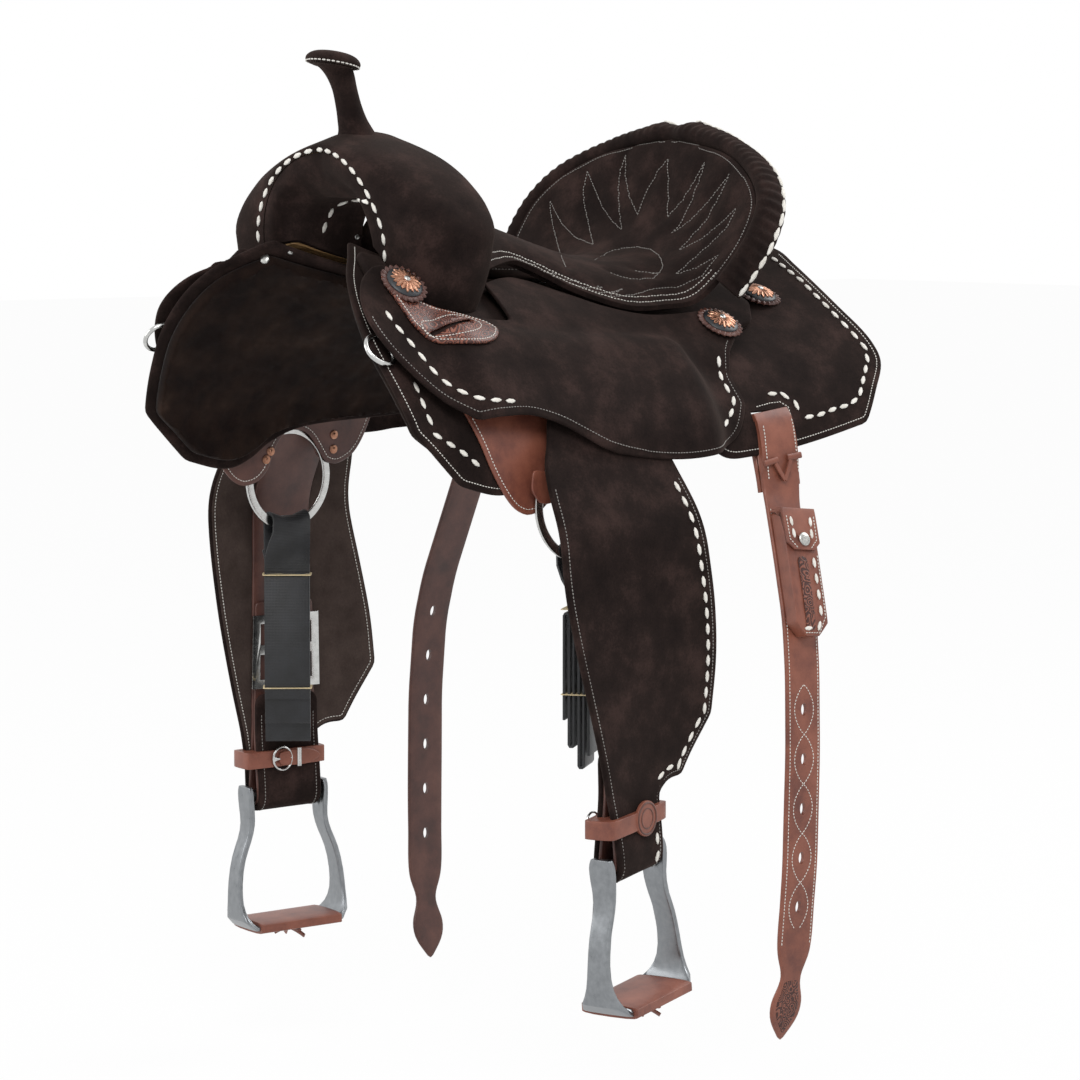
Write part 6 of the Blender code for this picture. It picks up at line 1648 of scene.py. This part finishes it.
seat_tree = sheet_tree(plain_rows)
RAYS = (
    (566, 266), (559, 250), (553, 227), (550, 210), (550, 201), (554, 210), (562, 224), (575, 237), (593, 244),
    (589, 227), (584, 205), (583, 190), (587, 171), (594, 188), (602, 207), (612, 221), (621, 229), (619, 210),
    (618, 186), (620, 170), (625, 156), (625, 176), (629, 196), (637, 214), (648, 189), (657, 171), (667, 159),
    (668, 187), (667, 216), (681, 201), (693, 182), (704, 162), (699, 179), (691, 200), (682, 221), (672, 232),
    (691, 219), (709, 200), (728, 175), (720, 194), (705, 221), (679, 249), (702, 238), (724, 219), (735, 208),
    (727, 226), (709, 244), (688, 262), (676, 273), (696, 267), (717, 255), (702, 275), (679, 286), (654, 288),
    (634, 294), (611, 296), (612, 292), (623, 288),
)
OVAL = (
    (595, 260), (607, 253), (621, 247.5), (637, 246), (650, 248.5), (659, 254.6), (663, 265), (660, 271),
    (654, 277), (640, 279), (625, 277), (610, 272),
)
FLAMES = (
    ((514, 258), (525, 262), (536, 264), (530, 262)), ((531, 267), (545, 272), (557, 273), (552, 271)),
    ((547, 275), (562, 278), (579, 281), (575, 279)), ((571, 283), (585, 287), (602, 287), (597, 285)),
    ((589, 289), (600, 292), (618, 291), (622, 288)),
)
rays = on_piece(seat_tree, RAYS, 0.0, 1.5)
oval = on_piece(seat_tree, OVAL, 0.0, 1.5)
flames = [on_piece(seat_tree, line, 0.0, 1.0) for line in FLAMES]
flames += [other_side(pairs) for pairs in flames]
edge_seams = [
    [(seat_point(t, u, 0.0), seat_normal(t, u)) for t in np.arange(0.35, 6.9, 0.1)]
    for u in (-0.955, -0.90, 0.955, 0.90)
]
seat_seams = [rays, oval] + flames
print("seat seams", [len(pairs) for pairs in seat_seams])

dents = [point for pairs in seat_seams + edge_seams for point, _ in pairs]
near_seam = KDTree(len(dents))
for index, point in enumerate(dents):
    near_seam.insert(point, index)
near_seam.balance()


def quilt(point, t, u):
    """How the pad rises between seams and is drawn down at them."""
    distance = near_seam.find(point)[2]
    puff = 0.0018 * (1 - math.exp(-(distance / 0.010) ** 2)) - 0.0017 * math.exp(-(distance / 0.0026) ** 2)
    return (puff + 0.0005 * noise.noise(point * 24)) * ease((1 - abs(u)) / 0.06) * ease((SEAT_END - t) / 0.9)


seat_rows = []
for t, row in zip(DOWN, plain_rows):
    upper = [p + seat_normal(t, u) * quilt(p, t, u) for p, u in zip(row, ACROSS)]
    lower = [seat_point(t, u, SEAT_PAD - 0.0035 * abs(u) ** 6) for u in ACROSS]
    seat_rows.append(upper + lower[::-1])
seat = lofted("seat_pad", seat_rows, [suede], "saddle", ["padded_seat"], smooth_angle=75)
quilted = tree_of(seat)


def settled(pairs, lift=0.00005):
    """Moves a seam down onto the quilted leather."""
    found = []
    for point, normal in pairs:
        place, _, _, _ = quilted.find_nearest(point)
        found.append((place + normal * lift, normal))
    return found


thread_row("seat_ray_stitches", [settled(pairs) for pairs in seat_seams if len(pairs) > 2], mat=dim_thread)
thread_row("seat_edge_stitches", [settled(pairs) for pairs in edge_seams])


# %% Ground seat and cantle back
BOARD_SHARE = 0.93


def slab(name, span, top, under, node):
    rows = []
    for t in np.linspace(*span, 60):
        across = [max(min(u, BOARD_SHARE), -BOARD_SHARE) for u in np.linspace(-1, 1, 41)]
        rows.append([seat_point(t, u, top) for u in across] + [seat_point(t, u, under) for u in across[::-1]])
    return lofted(name, rows, [suede], "saddle", [node])


ground = SEAT_PAD + PLY_GAP
behind = ground + BOARD + PLY_GAP
slab("ground_seat_leather", (0.6, CANTLE_FROM - 0.6), ground, ground + 0.003, "ground_seat")
slab("cantle_back_leather", (CANTLE_FROM, SEAT_END - 0.6), behind, behind + BACK, "cantle_back")

# %% [markdown]
# ## Cantle binding
#
# A stuffed roll of suede is folded over the cantle's rim and laced behind. Between the stitches it puckers,
# which gives the rim its small even scallops.

# %% Binding
ROLL_THICK, ROLL_WIDE, ROLL_PITCH, ROLL_LAP, ROLL_BLUNT = 0.0165, 0.0100, 0.0162, 0.0022, 0.9
PUCKER, PUCKER_SHARE, LACE_LEAN = 0.0008, 0.65, -0.60


def rim_frame(t):
    edge = SEAT_EDGE[-1] if t >= SEAT_END else spline(SEAT_EDGE, t)
    if t >= SEAT_END:
        out, up = seat_base(SEAT_END - 0.35, 0) - seat_base(SEAT_END - 1.35, 0), seat_normal(SEAT_END, 0.0)
        return edge, square_to(up, out), up
    along = (spline(SEAT_EDGE, t + 0.05) - spline(SEAT_EDGE, t - 0.05)).normalized()
    up = seat_normal(t, 0.97)
    out = along.cross(up).normalized()
    return edge, (-out if out.x < 0 and t < SEAT_END - 2 else out), up


stops = [6.7 + 0.2 * k for k in range(28)]
stops = [t for t in stops if SEAT_END - t > 0.15] + [SEAT_END]
roll_middle = (SEAT_PAD + BOARD + BACK) / 2
near_half = []
for t in stops:
    edge, out, up = rim_frame(t)
    near_half.append((edge + out * (ROLL_WIDE - ROLL_LAP) - up * roll_middle, out, up))
frames = near_half + [tuple(v * FLIP for v in entry) for entry in near_half[:-1][::-1]]
roll_rows, lace_pairs, run, last = [], [], 0.0, None
for k in range(12 * (len(frames) - 1) + 1):
    t = k / 12
    centre, out, up = [spline([entry[j] for entry in frames], t) for j in range(3)]
    out, up = out.normalized(), square_to(out, up)
    run += (centre - last).length if last else 0.0
    last = centre
    pucker = PUCKER * math.cos(2 * math.pi * run / (PUCKER_SHARE * ROLL_PITCH))
    ring = []
    for angle in around(28):
        c, s = math.cos(angle), math.sin(angle)
        wide, thick = ROLL_WIDE * blunt(c, ROLL_BLUNT), ROLL_THICK * blunt(s, ROLL_BLUNT)
        back = max(0.0, math.cos(angle - 0.1)) ** 1.2
        ring.append(centre + out * (wide + pucker * back * c) + up * (thick + pucker * back * s))
    roll_rows.append(ring)
    c, s = math.cos(LACE_LEAN), math.sin(LACE_LEAN)
    lace_out = (out * c * ROLL_THICK + up * s * ROLL_WIDE).normalized()
    lace_pairs.append((centre + out * (ROLL_WIDE * c) + up * (ROLL_THICK * s) + lace_out * 0.0002, lace_out))
roll = lofted("cantle_roll", roll_rows, [suede], "saddle", ["cantle_binding"], smooth_angle=180)
lace_row("cantle_lace", [lace_pairs[2:-2]], size=1.32, pitch=ROLL_PITCH)
print("cantle roll", round(run * 1000), "mm round the rim")
pairs = []
for t in np.arange(6.6, 11.95, 0.05):
    edge, out, up = rim_frame(t)
    pairs.append((quilted.find_nearest(edge - out * 0.0045)[0] + up * 0.0001, up))
inner_seams = [other_side(pairs), pairs]
thread_row("cantle_seam", inner_seams, mat=dim_thread)

# %% [markdown]
# ## Conchos
#
# Each concho is a scalloped leather rosette, a domed blackened disc, and a copper flower with a silver bead
# in the middle. One petal is modelled and turned sixteen times.

# %% Conchos
ROSETTE_RADIUS, DISC_RADIUS, PLEATS, PETALS = 0.0222, 0.0182, 22, 16
ROSETTE_LINE = (
    (0.0, 0.0), (0.96, 0.0), (1.0, 0.0010), (0.97, 0.0022), (0.86, 0.0030), (0.80, 0.0026), (0.0, 0.0026),
)
DOME_LINE = ((0.0, 0.0080), (0.3, 0.0077), (0.6, 0.0066), (0.85, 0.0050), (0.97, 0.0040), (1.0, 0.0034))
PETAL_SECTION = (
    (-1, 0.0), (-0.62, 0.9), (-0.16, 0.62), (0.16, 0.62), (0.62, 0.9), (1, 0.0), (0.6, -0.6), (-0.6, -0.6),
)
CONCHO_PLACES = {"front": (-0.286, 0.104), "seat": (0.091, 0.131), "skirt": (0.196, 0.080)}
CONCHO_BASE = {"front": JOCKEY_THICK + KEEPER_THICK + PLY_GAP, "seat": JOCKEY_THICK, "skirt": 0.0}


def rosette_ring(r, z):
    """One ring of the leather rosette, pleated towards its rim."""
    ring = []
    for angle in around(6 * PLEATS):
        pleat = math.cos(PLEATS * angle)
        radius = max(r, 0.002) * ROSETTE_RADIUS + 0.0013 * pleat * (r > 0.5) + 0.0006 * (r > 0.9)
        rise = 0.0006 * pleat * (r > 0.82) * (z > 0.0005)
        ring.append(Vector((radius * math.cos(angle), radius * math.sin(angle), z + rise)))
    return ring


def dome(radius):
    """Height of the blackened disc at a radius."""
    return float(np.interp(radius / DISC_RADIUS, *zip(*DOME_LINE)))


def petal_rows(turn, length, wide):
    """A grooved petal that lies on the dome."""
    rows, c, s = [], math.cos(turn), math.sin(turn)
    for t in (0.0, 0.15, 0.35, 0.55, 0.72, 0.86, 0.95, 1.0):
        x = 0.0030 + (length - 0.0030) * t
        full = 0.35 + 0.65 * math.sin(math.pi * min(t * 0.62 + 0.08, 1.0)) ** 1.2
        half = max(wide * full * (1 - max(0.0, t - 0.80) ** 1.3 * 8), 0.0002)
        lines = [(a * half, dome(x) + 0.0009 * up + 0.0003) for a, up in PETAL_SECTION]
        rows.append([Vector((x * c - y * s, x * s + y * c, z)) for y, z in lines])
    return rows


def bead_ring(up):
    """One ring of the beaded middle, as high on it as the angle says."""
    ring = []
    for a in around(32):
        radius = 0.0036 * math.cos(up) * (1 + 0.10 * math.cos(8 * a)) + 1e-5
        ring.append(Vector((radius * math.cos(a), radius * math.sin(a), 0.0078 + 0.0024 * math.sin(up))))
    return ring


disc_line = ((0.0, 0.0020), (1.0, 0.0020)) + DOME_LINE[::-1]
concho = [
    ([rosette_ring(r, z) for r, z in ROSETTE_LINE], 0),
    ([circle(max(r, 0.001) * DISC_RADIUS, 56, z) for r, z in disc_line], 1),
]
for k in range(PETALS):
    concho.append((petal_rows(2 * math.pi * k / PETALS, 0.0160 if k % 2 else 0.0150, 0.0021), 2))
    concho.append((petal_rows(2 * math.pi * (k + 0.5) / PETALS, 0.0098, 0.0014), 2))
concho.append(([bead_ring(up) for up in np.linspace(0, math.pi / 2, 9)], 3))
for part, (y, s) in CONCHO_PLACES.items():
    for word, side in SIDES:
        stand = CONCHO_BASE[part] + (0.0 if part == "skirt" else jockey_lift(y, s)) + 0.0014
        place = to_side(hide_axes(y, s, stand), side)
        bm = bmesh.new()
        for rows, mat_index in concho:
            first = len(bm.faces)
            rings = [[bm.verts.new(place @ point) for point in row] for row in rows]
            capped(bm, rings)
            bm.faces.ensure_lookup_table()
            for face in bm.faces[first:]:
                face.material_index = mat_index
        bmesh.ops.recalc_face_normals(bm, faces=bm.faces)
        made = finish_mesh(
            f"concho_dressed_{part}_{word}", bm, [brown, enamel, copper, silver], "saddle",
            [f"concho_{part}_{word}"], 50,
        )
print("concho", len(made.data.polygons), "faces")

# %% [markdown]
# ## Small trim
#
# Tacks hold the gullet's lining, a thong is knotted under each tread, and each hobble strap ends in a point
# that passes a keeper beside its buckle.

# %% Tacks, knots and strap ends
TACKS = ((265, 259, 0.0052), (290, 253, 0.0028), (308, 248, 0.0028), (357, 237, 0.0028))


def tack(name, place, out, radius):
    """The low domed head of a tack."""
    piece = fresh(bpy.ops.mesh.primitive_uv_sphere_add, name, segments=20, ring_count=10, radius=radius)
    turn = out.to_track_quat("Z", "Y").to_matrix().to_4x4()
    piece.data.transform(Matrix.Translation(place) @ turn @ Matrix.Diagonal((1, 1, 0.45, 1)))
    dressed(piece, silver, "saddle")


facing = [tree_of(piece) for piece in (SKIRTS["far"], lining)]
facing += [tree_of(bpy.data.objects[name]) for name in ("fleece_far", "bar_far")]
for k, (x, y, radius) in enumerate(TACKS):
    found = [tree.ray_cast(EYE, picture_ray(x, y)) for tree in facing]
    found = [hit for hit in found if hit[0]]
    if found:
        place, normal, _, _ = min(found, key=lambda hit: (hit[0] - EYE).length)
        tack(f"gullet_tack_{k}", place, normal, radius)
        tack(f"gullet_tack_near_{k}", place * FLIP, normal * FLIP, radius)


def stirrup_axes(word):
    centre = hang(HANG_Y, BAR_DROP, 0.0, word)
    along = (hang(HANG_Y + 0.03, BAR_DROP, 0.0, word) - hang(HANG_Y - 0.03, BAR_DROP, 0.0, word)).normalized()
    out = along.cross(Vector((0, 0, 1))).normalized()
    return axes_at(centre, out, along, out.cross(along))


TREAD_Z, TREAD_HALF = -0.1345, 0.056 / 2 + PLY_GAP + 0.0025
UNDER_TREAD = TREAD_Z - 0.003 - PLY_GAP - 0.0025
KNOT_TAILS = ((0.012, 0.007, -0.010), (-0.010, 0.009, -0.008), (0.004, -0.010, -0.006))
for word, side in SIDES:
    axes, body = stirrup_axes(word), f"stirrup_{word}_body"
    down, tail_out = [(axes.to_3x3() @ Vector(way)).normalized() for way in ((0, 0, -1), (0.3, 1, 0.2))]
    spread = np.linspace(-TREAD_HALF * 0.8, TREAD_HALF * 0.8, 9)
    wrap = [(axes @ Vector((x, 0.0, UNDER_TREAD - 0.0006)), down) for x in spread]
    thong(f"tread_thong_{word}", wrap, 0.0045, body, side)
    for k, (dx, dy, dz) in enumerate(KNOT_TAILS):
        tail = []
        for t in np.linspace(0, 1, 5):
            x = dx * t + math.copysign(0.008 * t, dx)
            tail.append((axes @ Vector((x, dy * t, UNDER_TREAD - 0.0015 + dz * t ** 1.5)), tail_out))
        thong(f"tread_knot_{k}_{word}", tail, 0.0050, body, side, thick=0.0013)

HOBBLE_DROP, HOBBLE_HEIGHT, HOBBLE_THICK = 0.416, 0.017, 0.0028


def neck_half(q):
    spread = FENDER_ABOVE + (FENDER_AT_BAR - FENDER_ABOVE) * ease((q - BAR_DROP + 0.075) / 0.075)
    return spread + FENDER_THICK / 2


HOBBLE_FACE = neck_half(HOBBLE_DROP + HOBBLE_HEIGHT / 2) + 0.0010 + HOBBLE_THICK
for word, side in SIDES:
    start, body = {"near": -0.150, "far": -0.131}[word], f"fender_{word}_body"
    corners = ((-0.004, -0.007), (0.034, -0.007), (0.046, 0.0), (0.034, 0.007), (-0.004, 0.007))
    end_cut = [(start + y, HOBBLE_DROP + q) for y, q in corners]
    inner_face = lambda p, q, lift: hang(p, q, -(HOBBLE_FACE + 0.0009 + lift), word)
    cut_leather(
        f"hobble_tip_{word}", end_cut, inner_face, 0.0022, [chestnut], body, side=side, net=0.005
    )
    keeper_line = [Vector((start + 0.019, HOBBLE_DROP + q)) for q in (-0.0095, -0.004, 0.004, 0.0095)]
    pairs = laid(inner_face, 0.0026, keeper_line)
    thong(f"hobble_keeper_{word}", pairs, 0.0045, body, side, steel, 0.0010)

MEDAL_LIFT = 0.0012
medal = hang_axes(-0.116, HOBBLE_DROP, HOBBLE_FACE + MEDAL_LIFT, "near")
for k, (radius, wire) in enumerate(((0.0148, 0.0009), (0.0095, 0.0006))):
    ring = fresh(
        bpy.ops.mesh.primitive_torus_add, f"hobble_medal_ring_{k}", major_radius=radius, minor_radius=wire,
        major_segments=56, minor_segments=10,
    )
    ring.data.transform(medal)
    dressed(ring, brown, "fender_near_body")

# %% [markdown]
# ## Floor and light
#
# The floor is pale and plain. To the camera it glows almost white, like the photographer's paper, but it
# still takes a soft shadow. Three broad lamps and a grey room light the leather without blowing out the
# lace.

# %% Floor
def seen_directly(tree):
    """1 on rays from the camera and on mirrored ones, 0 on all others."""
    path = add_node(tree, "ShaderNodeLightPath")
    return calculated(tree, "MAXIMUM", path.outputs["Is Camera Ray"], path.outputs["Is Glossy Ray"])


floor = fresh(bpy.ops.mesh.primitive_plane_add, "floor", size=40, location=(0, 0, -0.80))
paper, tree, shader, _ = new_finish("matt_paper", 0.9, Base_Color=(0.82, 0.82, 0.82, 1))
glow = add_node(tree, "ShaderNodeEmission", {"Color": (1, 1, 1, 1), "Strength": 1.0})
share = calculated(tree, "MULTIPLY", seen_directly(tree), 0.95)
both = add_node(tree, "ShaderNodeMixShader", links={0: share, 1: shader.outputs[0], 2: glow.outputs[0]})
tree.links.new(both.outputs[0], tree.nodes["Material Output"].inputs["Surface"])
floor.data.materials.append(paper)

# %% Light
world = bpy.data.worlds.new("studio")
bpy.context.scene.world = world
world.use_nodes = True
room = world.node_tree.nodes["Background"]
room.inputs["Color"].default_value = (1, 1, 1, 1)
seen = {"Value": seen_directly(world.node_tree)}
level = add_node(world.node_tree, "ShaderNodeMapRange", {"To Min": 0.55, "To Max": 1.0}, seen)
world.node_tree.links.new(level.outputs[0], room.inputs["Strength"])


def lamp(name, place, aim, size, watts):
    made = fresh(bpy.ops.object.light_add, name, type="AREA", location=place)
    made.data.size, made.data.energy = size, watts
    made.rotation_euler = (Vector(aim) - Vector(place)).to_track_quat("-Z", "Y").to_euler()


lamp("key_lamp", (2.6, -2.2, 2.6), (0, 0, -0.2), 1.8, 95)
lamp("fill_lamp", (-2.4, -3.0, 1.2), (0, 0, -0.3), 2.2, 45)
lamp("back_lamp", (0.6, 3.0, 2.4), (0, 0, -0.1), 2.0, 70)

bpy.context.scene.view_settings.view_transform = "Standard"
